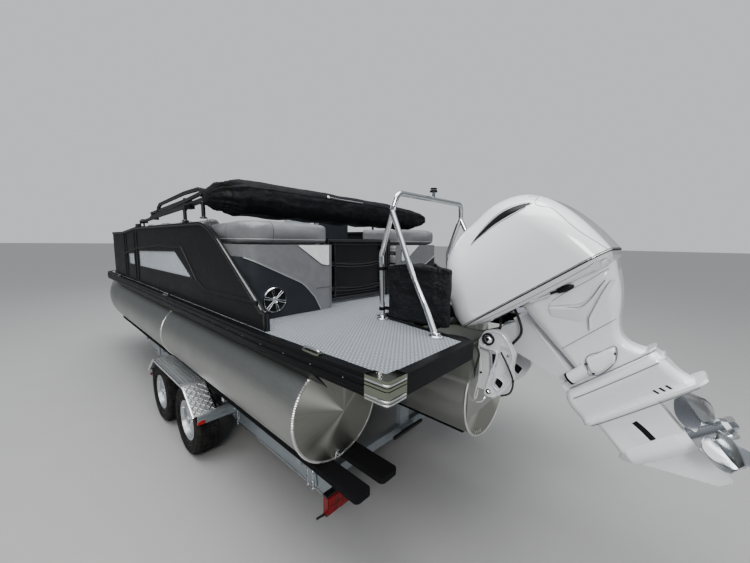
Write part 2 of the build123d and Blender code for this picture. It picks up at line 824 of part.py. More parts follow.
def windscreen():
    """A low acrylic screen on the console."""
    foot = (HELM_X[0] + 330, DASH_Z + DASH_RISE * 240 / (HELM_X[1] - HELM_X[0] - 150) + 2 * FIT)
    face = outline((foot[0], foot[1], 0), (foot[0] - 120, foot[1] + 190, 0),
                   (foot[0] - 114, foot[1] + 192, 0), (foot[0] + 8, foot[1], 0))
    return side_on(face, HELM_Y[0] + 60, HELM_Y[1] - 60)


def steering_wheel():
    """A three-spoke wheel on a short column."""
    lean = Plane(origin=WHEEL_HUB, z_dir=(-0.92, 0, 0.39))
    wheel = lean * Torus(WHEEL_R, 15)
    wheel += lean * Cylinder(45, 30)
    for turn in (90, 210, 330):
        wheel += lean * Rot(0, 0, turn) * Pos(WHEEL_R / 2, 0, 0) * Box(WHEEL_R, 26, 10)
    return wheel


def steering_column():
    """The fixed boss between the dash and the wheel."""
    lean = Plane(origin=WHEEL_HUB, z_dir=(0.92, 0, -0.39))
    boss = lean * Pos(0, 0, 15 + FIT + 40) * Cylinder(38, 80)
    return boss


def helm_pedestal():
    """The fixed pedestal under the helm seat."""
    x, y = SEAT_POST
    post = Pos(x, y, DECK_Z + 5) * Cylinder(150, 10)
    return post + rod((x, y, DECK_Z), (x, y, DECK_Z + SEAT_POST_H), 45)


def helm_seat_frame():
    """The turning seat base and back shell."""
    x, y = SEAT_POST
    base = DECK_Z + SEAT_POST_H + FIT
    frame = block((x - 250, x + 230), (y - 260, y + 260), (base, base + 40))
    frame += block((x - 275, x - 245), (y - SEAT_HALF, y + SEAT_HALF), (base, base + 560))
    return frame


def helm_seat_pads():
    """Helm seat cushions."""
    x, y = SEAT_POST
    top = DECK_Z + SEAT_POST_H + 40 + 2 * FIT
    return [
        rounded((x - 130, x + 240), (y - SEAT_HALF, y + SEAT_HALF), (top, top + 110), 30),
        rounded((x - 245 + FIT, x - 135), (y - SEAT_HALF, y + SEAT_HALF), (top, top + 560), 40),
    ]


def ski_bar():
    """The polished tow bar: a hoop on two upright legs with two raking stays."""
    shoulder = (640, 475, 2310)
    hoop = [
        (BAR_X, BAR_Y, DECK_Z),
        (LEG_KNEE[0], BAR_Y, LEG_KNEE[1]),
        shoulder,
        (628, 440, BAR_TOP),
        (628, -440, BAR_TOP),
        (shoulder[0], -shoulder[1], shoulder[2]),
        (LEG_KNEE[0], -BAR_Y, LEG_KNEE[1]),
        (BAR_X, -BAR_Y, DECK_Z),
    ]
    stay = [(BAR_FOOT_X, BAR_FOOT_Y, DECK_Z), (316, 530, 1690), (431, 520, 1883), (648, 476, 2296)]
    bar = tube(hoop, BAR_R, 60)
    leg = tube(stay, BAR_R, 300)
    bar += leg + starboard(leg)
    for x, y in ((BAR_X, BAR_Y), (BAR_FOOT_X, BAR_FOOT_Y)):
        for side in (1, -1):
            bar += Pos(x, y * side, DECK_Z + FIT + 5) * Cylinder(42, 10)
    bar -= block((-10, 900), (-700, 700), (DECK_Z - 60, DECK_Z + FIT))
    return bar


def tow_knob():
    """The tow pin on top of the hoop."""
    base = BAR_TOP + BAR_R - 4
    knob = Pos(628, 0, base + 20) * Cylinder(14, 44)
    knob += Pos(628, 0, base + 48) * Cylinder(27, 12)
    knob += Pos(628, 0, base + 62) * Cylinder(20, 18)
    return knob


def bag():
    """The black fabric bag strapped inside the tow bar's port legs."""
    body = rounded((205, 705), (392, 436), (DECK_Z + 12, 1940), 18)
    for z in (1600, 1890):
        x = BAR_X + (z - DECK_Z) * LEG_LEAN
        body += block((690, x), (420, BAR_Y), (z - 10, z + 10))
        body += rod((x, BAR_Y, z - 10), (x, BAR_Y, z + 10), 24)
        body -= rod((x, BAR_Y, z - 20), (x, BAR_Y, z + 20), BAR_R + 0.9)
    return body


def shade_frame():
    """One of the folded sunshade's arms, from its pivot to the boot, with its stay."""
    px, pz = SHADE_PIVOT
    arm = rod((px, SHADE_Y, pz), (BOOT_X, SHADE_Y, BOOT_Z + 30), SHADE_TUBE)
    eye = across(px, pz, SHADE_TUBE + 8, SHADE_Y - 12, SHADE_Y + 12)
    eye -= across(px, pz, SHADE_PIN + FIT, SHADE_Y - 40, SHADE_Y + 40)
    arm -= across(px, pz, SHADE_TUBE + 8, SHADE_Y - 40, SHADE_Y + 40)
    arm = arm - shade_boot() + eye + shade_stay()
    return arm


def shade_stay():
    """The second arm above the first, on two links."""
    px, pz = SHADE_PIVOT
    lean = (BOOT_Z + 30 - pz) / (px - BOOT_X)
    rise = SHADE_TUBE * 2 + 26
    ends = [(px - run, SHADE_Y, pz + run * lean + rise) for run in (480, 1700)]
    bar = rod(*ends, SHADE_TUBE)
    for run in (500, 1680):
        z = pz + run * lean
        bar += block((px - run - 14, px - run + 14), (SHADE_Y - 12, SHADE_Y + 12), (z, z + rise))
    return bar


def shade_boot():
    """The bundle of folded canvas in its black cover."""
    sections = []
    for share, x, z, w, h in BOOT:
        ring = outline((-w, -h, h * 0.7), (w, -h, h * 0.7), (w, h, h * 0.7), (-w, h, h * 0.7))
        sections.append(Plane(origin=(x, share * BOOT_HALF, z), x_dir=(1, 0, 0), z_dir=(0, 1, 0)) * ring)
    return loft(sections)


def shade_mounts():
    """Pivot feet with their pins, and rest posts with cradles, on the fence rail."""
    px, pz = SHADE_PIVOT
    seat = FENCE_TOP + FIT
    foot = block((px - 70, px + 70), (SHADE_Y - 35, FENCE_Y - 2), (seat, seat + 12))
    for y in (SHADE_Y + 14, SHADE_Y - 24):
        foot += block((px - 20, px + 20), (y, y + 10), (seat + 6, pz)) + across(px, pz, 20, y, y + 10)
    foot += across(px, pz, SHADE_PIN, SHADE_Y - 26, SHADE_Y + 26)
    lean = (BOOT_Z + 30 - pz) / (px - BOOT_X)
    x = REST_X
    post_y = FENCE_Y - FENCE_T / 2
    cradle_z = pz + (px - x) * lean - SHADE_TUBE * hypot(1, lean) - FIT
    rest = block((x - 40, x + 40), (FENCE_IN + 1, FENCE_Y - 1), (seat, seat + 12))
    rest += rod((x, post_y, seat + 6), (x, post_y, cradle_z - 10), 12)
    top = block((x - 30, x + 30), (SHADE_Y - 26, post_y + 12), (cradle_z - 16, cradle_z + 14))
    top -= rod((px, SHADE_Y, pz), (BOOT_X, SHADE_Y, BOOT_Z + 30), SHADE_TUBE + FIT)
    slot = SHADE_TUBE + FIT
    top -= block((x - 40, x + 40), (SHADE_Y - slot, SHADE_Y + slot), (cradle_z + SHADE_TUBE - 2, pz + 200))
    return [foot, rest + top]


PARTS = {}


def add(name, shapes):
    """Keeps a finished part under its node name."""
    PARTS[name] = shapes if isinstance(shapes, list) else [shapes]


def to_engine(shape):
    """From the upright engine's own frame to its place on the transom."""
    return Pos(TILT_PIN[0], 0, TILT_PIN[1]) * Rot(0, TILT, 0) * shape


def ring_at(z, front, back, half, nose, tail, pitch=0):
    """A section of the engine: a rounded box in plan, on a plane that may fall aft."""
    face = outline((back, -half, tail), (front, -half, nose), (front, half, nose), (back, half, tail))
    return Pos(0, 0, z) * Rot(0, -pitch, 0) * face


def cowl():
    """The engine's upper cowl."""
    return loft([ring_at(*row) for row in COWL])


def pan():
    """The lower cowl over the powerhead's base."""
    return loft([ring_at(*row) for row in PAN])


def leg():
    """Midsection, yokes, splash plate, cavitation plate, strut, gearcase and skeg."""
    body = loft([ring_at(*row) for row in MIDSECTION])
    height, front, back = PAN[0][:3]
    slope = tan(radians(PAN[0][-1]))
    under = outline((back - 90, height + (back - 90) * slope - FIT, 0), (back - 90, 200, 0),
                    (front, 200, 0), (front, height + front * slope - FIT, 0))
    body -= side_on(under, -200, 200)
    body += loft([ring_at(*row) for row in LOWER])
    body += block((HOUSING_X - 40, STEER_X + 45), (-60, 60), (YOKE[1] + FIT, YOKE[1] + 22))
    body += block((HOUSING_X - 40, STEER_X + 55), (-62, 62), (YOKE[0] - 45, YOKE[0] - FIT))
    for z, front, back, half, thick in PLATES:
        wing = outline((back, -half * 0.8, 40), (front, -half * 0.7, 60), (front, half * 0.7, 60),
                       (back, half * 0.8, 40))
        body += Pos(0, 0, z) * extrude(wing, amount=thick)
    for side in (-1, 1):
        y = side * MOUNT_Y
        body += rod((STEER_X - 20, y, YOKE[0] + 14), (-340, y, YOKE[0] + 22), MOUNT_R)
        body += side_on(outline(*MOUNT_COVER), y - side * 4 - 7, y - side * 4 + 7)
    body += loft([ring_at(*row) for row in STRUT], ruled=True)
    body += Pos(0, 0, PROP_Z) * revolve(outline(*GEARCASE), axis=Axis.X)
    return body + side_on(outline(*SKEG), -7, 7)


def propeller():
    """A three-blade propeller and its hub."""
    hub = revolve(outline((-508.5, 0, 0), (-508.5, 50, 0), (-655, 46, 0), (-674, 30, 0), (-674, 0, 0)),
                  axis=Axis.X)
    blade = loft([
        Plane(origin=(-585, 0, 34), z_dir=(0, 0, 1)) * Rot(0, 0, 40) * Rectangle(118, 12),
        Plane(origin=(-588, 6, 115), z_dir=(0, 0, 1)) * Rot(0, 0, 30) * Rectangle(150, 8),
        Plane(origin=(-600, 12, PROP_R - 4), z_dir=(0, 0, 1)) * Rot(0, 0, 22) * Rectangle(74, 4),
    ])
    body = hub
    for turn in range(3):
        body += Rot(turn * 120, 0, 0) * blade
    return Pos(0, 0, PROP_Z) * body


def swivel_bracket():
    """The casting between the tilt pin and the steering tube."""
    low = YOKE[0] + 14
    face = outline((30, 26, 20), (34, -40, 20), (-60, -210, 40), (STEER_X + 40, low, 20),
                   (STEER_X, low, 0), (STEER_X, YOKE[1], 0), (-120, YOKE[1], 0), (-80, 26, 0))
    body = side_on(face, -CHEEK, CHEEK)
    body -= block((STEER_X + 60, 60), (-34, 34), (YOKE[0] - 10, 60))
    body += rod((STEER_X, 0, YOKE[0]), (STEER_X, 0, YOKE[1]), 48)
    half = CLAMP_Y - CLAMP_T - FIT
    body += across(0, 0, 34, -half, half)
    x, z = CYL_EYE
    stub = across(x, z, CYL_PIN_R, EYE_HALF + 2, CHEEK - 5)
    return body + stub + starboard(stub)


def clamp_bracket():
    """Two side plates, the tilt tube's ends, the cylinder's pin and the transom pads."""
    plate = side_on(outline(*CLAMP), CLAMP_Y - CLAMP_T, CLAMP_Y)
    web = outline(*((x * 0.82 - 8, z * 0.82 + 236, r) for x, z, r in CLAMP[4:12]))
    plate -= side_on(web, CLAMP_Y - 9, CLAMP_Y + 1)
    plate -= side_on(outline(*CLAMP_SLOT), CLAMP_Y - CLAMP_T - 1, CLAMP_Y + 1)
    plate += across(TILT_PIN[0], TILT_PIN[1], 38, CLAMP_Y - CLAMP_T, CLAMP_Y + 14)
    plate += across(CYL_PIN[0], CYL_PIN[1], 26, CLAMP_Y - CLAMP_T, CLAMP_Y + 6)
    mount = CENTRE_AFT - WELD_R - FIT
    plate += block((40, mount), (CLAMP_Y - CLAMP_T - 40, CLAMP_Y - CLAMP_T + 8), (1096, POD_TOP - 6))
    pin = across(CYL_PIN[0], CYL_PIN[1], CYL_PIN_R, -CLAMP_Y + 2, CLAMP_Y - 2)
    return plate + starboard(plate) + pin


def eye_place():
    """Where the rod's upper pin lies at the photographed tilt: station, height."""
    turn = radians(TILT)
    x, z = CYL_EYE
    return (TILT_PIN[0] + x * cos(turn) + z * sin(turn), TILT_PIN[1] - x * sin(turn) + z * cos(turn))


def along_cylinder(distance):
    """A point on the cylinder's line, a distance up from its lower pin."""
    x, z = eye_place()
    line = Vector(x - CYL_PIN[0], 0, z - CYL_PIN[1]).normalized()
    return Vector(CYL_PIN[0], 0, CYL_PIN[1]) + line * distance


def tilt_cylinder():
    """The tilt cylinder's barrel, on its lower pin and open for the rod."""
    barrel = rod(along_cylinder(6), along_cylinder(CYL_LEN), CYL_R)
    barrel += rod(along_cylinder(CYL_LEN - 20), along_cylinder(CYL_LEN), CYL_R + 4)
    barrel += across(CYL_PIN[0], CYL_PIN[1], 26, -30, 30)
    barrel -= across(CYL_PIN[0], CYL_PIN[1], CYL_PIN_R + FIT, -40, 40)
    return barrel - rod(along_cylinder(40), along_cylinder(CYL_LEN + 5), 13)


def tilt_rod():
    """The tilt cylinder's rod and its upper eye."""
    x, z = eye_place()
    reach = hypot(x - CYL_PIN[0], z - CYL_PIN[1])
    bar = rod(along_cylinder(CYL_LEN - 110), along_cylinder(reach), 13 - FIT)
    return bar + across(x, z, 22, -EYE_HALF, EYE_HALF)


def tyre():
    """A trailer tyre with three tread grooves, its axle across the boat."""
    half = TYRE_W / 2
    groove = 6
    points = [(RIM_R, -half + 16, 0), (RIM_R + 60, -half, 40), (TYRE_R - 12, -half + 8, 14),
              (TYRE_R, -half + 26, 8)]
    for y in (-40, 0, 40):
        points += [(TYRE_R, y - 4, 0), (TYRE_R - groove, y - 4, 0), (TYRE_R - groove, y + 4, 0),
                   (TYRE_R, y + 4, 0)]
    points += [(TYRE_R, half - 26, 8), (TYRE_R - 12, half - 8, 14), (RIM_R + 60, half, 40),
               (RIM_R, half - 16, 0)]
    return revolve(outline(*points), axis=Axis.Y)


def rim():
    """An alloy rim: barrel, six windows between spokes, and a hub cap."""
    half = TYRE_W / 2
    barrel = outline((RIM_R - FIT, -half + 14, 0), (RIM_R - FIT, half - 14, 0),
                     (RIM_R - 12, half - 14, 0), (RIM_R - 26, half - 40, 0), (RIM_R - 26, -half + 14, 0))
    disc = outline((32, 50, 0), (RIM_R - 20, 34, 0), (RIM_R - 20, 50, 0), (60, 66, 0), (32, 66, 0))
    wheel = revolve(barrel, axis=Axis.Y) + revolve(disc, axis=Axis.Y)
    hole = outline((78, -16, 12), (150, -42, 16), (150, 42, 16), (78, 16, 12))
    for turn in range(6):
        cut = Rot(0, turn * 60, 0) * Plane.XZ * hole
        wheel -= Pos(0, 90, 0) * extrude(cut, amount=80)
    cap = revolve(outline((0, 40, 0), (34, 40, 0), (34, 84, 6), (0, 84, 0)), axis=Axis.Y)
    return wheel + cap


def trailer_frame():
    """Main rails drawn in to the tongue, cross members and bunk posts."""
    w, h = MAIN_RAIL
    z = (MAIN_Z - h, MAIN_Z)
    outer = MAIN_Y
    rails = block((MAIN_AFT, MAIN_FWD), (outer - w, outer), z)
    slope = (outer - TONGUE[0] / 2 - w) / (NECK_END - MAIN_FWD)
    half = TONGUE[0] / 2
    neck = outline(
        (MAIN_FWD - 1, outer, 0),
        (MAIN_FWD - 1, outer - w, 0),
        (NECK_END, half, 0),
        (NECK_END + w * 0.9, half, 0),
        (NECK_END, half + w, 0),
    )
    rails += flat(neck, MAIN_Z - h, MAIN_Z)
    frame = rails + starboard(rails)
    mid = MAIN_Z - h / 2
    frame += block((CROSS[-1], TONGUE_FWD), (-TONGUE[0] / 2, TONGUE[0] / 2),
                   (mid - TONGUE[1] / 2, mid + TONGUE[1] / 2))
    for x in CROSS:
        reach = outer - w + 1
        frame += block((x, x + 50), (-reach, reach), (mid - 38, mid + 37))
    for piece in bunk_posts() + fender_arms() + [light_plate()]:
        frame += piece
    return frame


def bunks():
    """Carpeted boards under each tube."""
    boards = []
    for y in (BUNK_OUT, BUNK_IN):
        face = outline((BUNK_AFT, y[0], 30), (BUNK_AFT, y[1], 30), (BUNK_FWD, y[1], 0), (BUNK_FWD, y[0], 0))
        boards += both(flat(face, BUNK_Z - BUNK_T, BUNK_Z))
    centre = CENTRE_Z - TUBE_R - FIT
    boards.append(block((250, BUNK_FWD), (-70, 70), (centre - BUNK_T, centre)))
    return boards


def bunk_posts():
    """Galvanised brackets on the cross members that carry the bunks."""
    mid = MAIN_Z - MAIN_RAIL[1] / 2
    top = BUNK_Z - BUNK_T - FIT
    posts = []
    for x in CROSS:
        beam = block((x + 2, x + 48), (BUNK_IN[0] - 10, BUNK_OUT[1] - 8), (top - 44, top))
        beam += block((x + 2, x + 48), (MAIN_Y - 44, MAIN_Y - 6), (MAIN_Z - 2, top - 20))
        posts += both(beam)
        under = CENTRE_Z - TUBE_R - 2 * FIT - BUNK_T
        posts.append(block((x + 2, x + 48), (-60, 60), (mid, under)))
    return posts


def axles():
    """Torsion axle tubes under the rails, their trailing arms and spindles."""
    z = MAIN_Z - MAIN_RAIL[1] - FIT
    half = AXLE_TUBE / 2
    pieces = []
    inner = WHEEL_Y - TYRE_W / 2 - 12
    for x in AXLES:
        tube_x = x + ARM_LEN
        body = block((tube_x - half, tube_x + half), (-inner + 40, inner - 40), (z - AXLE_TUBE, z))
        mid = z - half
        ends = across(tube_x, mid, 26, inner - 60, inner - 10)
        ends += side_on(outline(*arm_corners(tube_x, mid, x, TYRE_R)), inner - 34, inner - 10)
        ends += across(x, TYRE_R, 20, inner - 12, WHEEL_Y + 40)
        pieces.append(body + ends + starboard(ends))
    return pieces


def arm_corners(x0, z0, x1, z1):
    """A trailing arm's outline between its pivot and its spindle."""
    along = Vector(x1 - x0, z1 - z0).normalized()
    side = Vector(-along.Y, along.X) * 30
    a = Vector(x0, z0) - along * 30
    b = Vector(x1, z1) + along * 30
    return [(p.X, p.Y, 24) for p in (a + side, a - side, b - side, b + side)]


def fender_slope(end, shoulder):
    """A fender end's direction up its slope and the direction to the wheels."""
    along = (Vector(*shoulder) - Vector(*end)).normalized()
    inward = Vector(along.Y, -along.X) if along.X > 0 else Vector(-along.Y, along.X)
    return along, inward


def fender_ends():
    """Both ends of the fender's outline from the side, each with its shoulder."""
    top = 2 * TYRE_R + FENDER_GAP
    aft, fwd = AXLES
    return (((aft - 340, 512), (aft - 80, top)), ((fwd + 350, 505), (fwd + 75, top)))


def fender_outline(inset, extra):
    """The fender's outline, drawn in by a distance and run on past both ends."""
    corners = []
    for end, shoulder in fender_ends():
        along, inward = fender_slope(end, shoulder)
        start = Vector(*end) + inward * inset
        rise = shoulder[1] - inset - start.Y
        corner = start + along * (rise / along.Y)
        tip = start - along * extra
        corners.append([(tip.X, tip.Y, 0), (corner.X, corner.Y, 100 - inset)])
    return outline(*corners[0], *reversed(corners[1]))


def fenders():
    """Tread-plate tandem fenders with a rolled outer lip."""
    whole = fender_outline(0, 0)
    shape = side_on(whole - fender_outline(FENDER_T, 20), FENDER_IN, FENDER_OUT)
    lip = side_on(whole - fender_outline(FENDER_LIP, 40), FENDER_OUT - 4, FENDER_OUT)
    return both(shape + lip)


def fender_arms():
    """Arms from the main rails, each with a pad under the end of a fender."""
    arms = []
    for end, shoulder in fender_ends():
        along, inward = fender_slope(end, shoulder)
        low = Vector(*end) + inward * (FENDER_T + FIT) - along * 10
        high = low + along * 30
        foot = MAIN_Z - MAIN_RAIL[1] / 2
        pad = outline((low.X, low.Y, 0), (high.X, high.Y, 0), (high.X, foot, 0), (low.X, foot, 0))
        arms += both(side_on(pad, MAIN_Y - 4, FENDER_OUT - 40))
    return arms


def light_plate():
    """The plate on the aft cross member that carries the rear light bar."""
    x = CROSS[0]
    mid = MAIN_Z - MAIN_RAIL[1] / 2
    return block((x - 30, x + 1), (-90, 90), (mid - 30, mid + 30))


def light_bar():
    """The oval rear light bar."""
    x = CROSS[0] - 30 - FIT
    mid = MAIN_Z - MAIN_RAIL[1] / 2
    bar = block((x - 32, x), (-205, 205), (mid - 16, mid + 16))
    return fillet(bar.edges(), 14)


def coupler():
    """The ball coupler on the tongue's end."""
    mid = MAIN_Z - MAIN_RAIL[1] / 2
    x = TONGUE_FWD + FIT
    body = block((x, x + 140), (-38, 38), (mid - 30, mid + 51))
    body += Pos(x + 150, 0, mid + 10) * Sphere(48)
    body -= Pos(x + 150, 0, mid - 30) * Cylinder(25.4, 80)
    return body


def jack_body():
    """The tongue jack's outer tube, bracket and crank."""
    mid = MAIN_Z - MAIN_RAIL[1] / 2
    half = TONGUE[0] / 2
    outer = rod((JACK_X, JACK_Y, 280), (JACK_X, JACK_Y, JACK_TOP), 30)
    outer -= rod((JACK_X, JACK_Y, 200), (JACK_X, JACK_Y, JACK_TOP - 20), JACK_LEG_R + FIT)
    outer += block((JACK_X - 45, JACK_X + 45), (half + FIT, JACK_Y - 27), (mid - 45, mid + 45))
    crank = JACK_TOP + 16
    outer += rod((JACK_X, JACK_Y, JACK_TOP - 2), (JACK_X, JACK_Y, crank + 6), 12)
    outer += rod((JACK_X, JACK_Y, crank), (JACK_X + 150, JACK_Y, crank), 8)
    outer += rod((JACK_X + 150, JACK_Y, crank - 8), (JACK_X + 150, JACK_Y, crank + 74), 11)
    return outer


def jack_leg():
    """The jack's sliding leg and foot plate."""
    leg = Pos(JACK_X, JACK_Y, 330) * Cylinder(JACK_LEG_R, 640)
    foot = Pos(JACK_X, JACK_Y, 5) * Box(150, 150, 10)
    return leg + foot


def winch_stand():
    """The winch post, bow stop and winch on the tongue."""
    top = MAIN_Z - MAIN_RAIL[1] / 2 + TONGUE[1] / 2
    post = outline((7320, top + FIT, 0), (7420, top + FIT, 0), (7400, 1150, 20), (7340, 1150, 20))
    stand = side_on(post, -30, 30)
    stand += block((7330, 7480), (-50, 50), (880, 900))
    stand += across(7420, 960, 45, -55, 55)
    return stand


def tail_lights():
    """Red tail lights at the main rails' ends."""
    x = MAIN_AFT
    light = block((x - 45, x - FIT), (MAIN_Y - 110, MAIN_Y + 96), (MAIN_Z - 148, MAIN_Z - 28))
    return both(light)


def build():
    """Every part of the boat, its engine and its trailer."""
    side = pontoon(TUBE_Y, SIDE_Z, SIDE_AFT, SIDE_AFT + 40, CAP_DEPTH)
    add("pontoon_port", side)
    add("pontoon_starboard", starboard(side))
    centre = pontoon(0, CENTRE_Z, CENTRE_AFT, WELL_LEN, 0)
    add("pontoon_centre", centre + motor_pod())
    add("deck_beams", deck_beams())
    add("deck", flat(plan(RAIL_W + FIT), DECK_Z - DECK_T, DECK_Z))
    add("edge_rail", edge_rail())
    add("deck_fittings", corner_castings() + cleats())
    add("skirts", skirts())
    fence = fence_side()
    add("fence_port", fence)
    add("fence_starboard", starboard(fence))
    add("fence_bow", fence_bow())
    add("windows", windows() + [windscreen()])
    add("gate_posts", gate_posts())
    add("aft_gate", aft_gate())
    add("bow_gate", bow_gate())
    add("lounge_shell_port", aft_shell(PORT_BENCH))
    add("lounge_shell_starboard", starboard(aft_shell(STARBOARD_BENCH)))
    add("lounge_pads_port", aft_pads(PORT_BENCH))
    add("lounge_pads_starboard", [starboard(p) for p in aft_pads(STARBOARD_BENCH)])
    add("bow_shells", both(bow_shell()))
    add("bow_pads", [q for p in bow_pads() for q in both(p)])
    dark, pale = back_inserts()
    add("back_inserts", dark)
    add("back_corners", pale)
    add("speakers", speakers())
    add("helm_console", helm() + steering_column())
    add("steering_wheel", steering_wheel())
    add("helm_pedestal", helm_pedestal())
    add("helm_seat_frame", helm_seat_frame())
    add("helm_seat_pads", helm_seat_pads())
    add("ski_bar", ski_bar() + tow_knob())
    add("bag", bag())
    add("shade_frame", both(shade_frame()))
    add("shade_boot", shade_boot())
    add("shade_mounts", [q for p in shade_mounts() for q in both(p)])
    add("clamp_bracket", clamp_bracket())
    add("tilt_cylinder", tilt_cylinder())
    add("tilt_rod", tilt_rod())
    add("swivel_bracket", to_engine(swivel_bracket()))
    add("engine_cowl", to_engine(cowl()))
    add("engine_pan", to_engine(pan()))
    add("engine_leg", to_engine(leg()))
    add("propeller", to_engine(propeller()))
    add("trailer_frame", trailer_frame())
    add("bunks", bunks())
    add("axles", axles())
    add("fenders", fenders())
    add("coupler", coupler())
    add("jack_body", jack_body())
    add("jack_leg", jack_leg())
    add("winch_stand", winch_stand())
    add("tail_lights", tail_lights())
    add("light_bar", light_bar())
    rubber = tyre()
    alloy = rim()
    for end, x in zip(("aft", "fwd"), AXLES):
        for hand, turn in (("port", 0), ("starboard", 180)):
            y = WHEEL_Y if hand == "port" else -WHEEL_Y
            hub = Pos(x, y, TYRE_R) * Rot(0, 0, turn)
            add(f"tyre_{end}_{hand}", hub * rubber)
            add(f"rim_{end}_{hand}", hub * alloy)


def solids(shapes):
    """Every solid in a list of shapes, moved to the part's own origin."""
    found = [s for shape in shapes for s in shape.solids()]
    return Compound(children=[Pos(-MIDSHIP, 0, 0) * s for s in found])


build()
os.makedirs("parts", exist_ok=True)
for name, shapes in PARTS.items():
    export_step(solids(shapes), f"parts/{name}.step")
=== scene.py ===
"""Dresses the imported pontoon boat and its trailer: finishes, upholstery, canvas, castings and fittings."""

from __future__ import annotations

import json
import logging
import math
from dataclasses import dataclass
from enum import Enum
from typing import Callable, Iterable, Optional, Sequence, Union

import bmesh
import bpy
from mathutils import Matrix, Vector, noise
from mathutils.bvhtree import BVHTree

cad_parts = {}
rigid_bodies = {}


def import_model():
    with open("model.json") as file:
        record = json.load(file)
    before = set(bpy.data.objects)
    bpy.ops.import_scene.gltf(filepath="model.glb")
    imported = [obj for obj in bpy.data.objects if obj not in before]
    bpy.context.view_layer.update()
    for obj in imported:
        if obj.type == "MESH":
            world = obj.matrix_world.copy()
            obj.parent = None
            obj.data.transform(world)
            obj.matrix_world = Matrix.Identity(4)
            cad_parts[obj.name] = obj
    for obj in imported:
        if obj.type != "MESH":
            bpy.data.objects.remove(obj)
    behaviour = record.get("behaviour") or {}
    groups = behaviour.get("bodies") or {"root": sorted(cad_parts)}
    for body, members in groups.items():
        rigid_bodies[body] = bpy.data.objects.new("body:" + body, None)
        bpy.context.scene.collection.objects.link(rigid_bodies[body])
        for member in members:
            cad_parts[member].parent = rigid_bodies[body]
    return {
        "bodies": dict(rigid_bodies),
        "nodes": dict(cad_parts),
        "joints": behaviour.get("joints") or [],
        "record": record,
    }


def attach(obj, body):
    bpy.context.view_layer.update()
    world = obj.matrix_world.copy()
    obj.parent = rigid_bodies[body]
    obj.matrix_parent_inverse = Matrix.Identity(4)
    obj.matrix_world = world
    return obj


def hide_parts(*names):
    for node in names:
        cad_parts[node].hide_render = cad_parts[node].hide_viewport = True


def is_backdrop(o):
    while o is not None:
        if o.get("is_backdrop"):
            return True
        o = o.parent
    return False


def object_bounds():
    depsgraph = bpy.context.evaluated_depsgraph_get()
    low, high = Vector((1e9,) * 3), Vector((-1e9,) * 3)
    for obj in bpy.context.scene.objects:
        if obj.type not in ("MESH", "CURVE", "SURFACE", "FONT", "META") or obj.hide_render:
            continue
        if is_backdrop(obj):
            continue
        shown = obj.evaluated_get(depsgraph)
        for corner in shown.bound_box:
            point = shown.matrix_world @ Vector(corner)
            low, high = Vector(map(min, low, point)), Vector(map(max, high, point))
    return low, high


LOG = logging.getLogger("pontoon")

MIDSHIP = 3.55
SIDES = (1, -1)
UP, DOWN = Vector((0, 0, 1)), Vector((0, 0, -1))
FORWARD, AFT = Vector((1, 0, 0)), Vector((-1, 0, 0))
PORT = Vector((0, 1, 0))

Colour = tuple[float, float, float]
Point = tuple[float, float, float]
Pair = tuple[float, float]
Pairs = tuple[Pair, ...]
Path = tuple[Point, ...]


def srgb(red: int, green: int, blue: int) -> Colour:
    """Turn a screen colour of 0 to 255 into the linear one that shaders use."""
    return tuple(((c / 255 + 0.055) / 1.055) ** 2.4 if c > 10 else c / 3294.6 for c in (red, green, blue))


def at(station: float, across: float, height: float) -> Vector:
    """Place a point by its distance forward of the deck's aft edge, in metres."""
    return Vector((station - MIDSHIP, across, height))


def outward(side: int) -> Vector:
    """Point away from the boat's middle: 1 is to port, -1 to starboard."""
    return Vector((0, side, 0))


def span(side: int, near: float, far: float) -> Pair:
    """Give a stretch across the boat on one side, its lower end first."""
    return tuple(sorted((side * near, side * far)))


class Sock:
    """A shader value that lays down Math nodes as it is worked with."""

    def __init__(self, graph: Graph, socket: bpy.types.NodeSocket) -> None:
        """Keep the socket and the graph it belongs to."""
        self.graph = graph
        self.socket = socket

    def fn(self, operation: str, *others: Value) -> Sock:
        """Apply a Math operation.

        Args:
            operation: the Math node's operation.
            others: its second and third values.

        Returns:
            The result's socket.
        """
        return self.graph.node("ShaderNodeMath", {"operation": operation}, dict(enumerate((self, *others))))

    def __add__(self, other: Value) -> Sock:
        """Add."""
        return self.fn("ADD", other)

    __radd__ = __add__

    def __sub__(self, other: Value) -> Sock:
        """Subtract."""
        return self.fn("SUBTRACT", other)

    def __rsub__(self, other: Value) -> Sock:
        """Subtract this from a number."""
        return self.fn("MULTIPLY_ADD", -1.0, other)

    def __mul__(self, other: Value) -> Sock:
        """Multiply."""
        return self.fn("MULTIPLY", other)

    __rmul__ = __mul__

    def __truediv__(self, other: Value) -> Sock:
        """Divide."""
        return self.fn("DIVIDE", other)

    def band(self, low: float, high: float) -> Sock:
        """Rise smoothly from 0 at low to 1 at high."""
        inputs = {"Value": self, "From Min": low, "From Max": high}
        return self.graph.node("ShaderNodeMapRange", {"interpolation_type": "SMOOTHSTEP"}, inputs)


Value = Union[Sock, float, int]


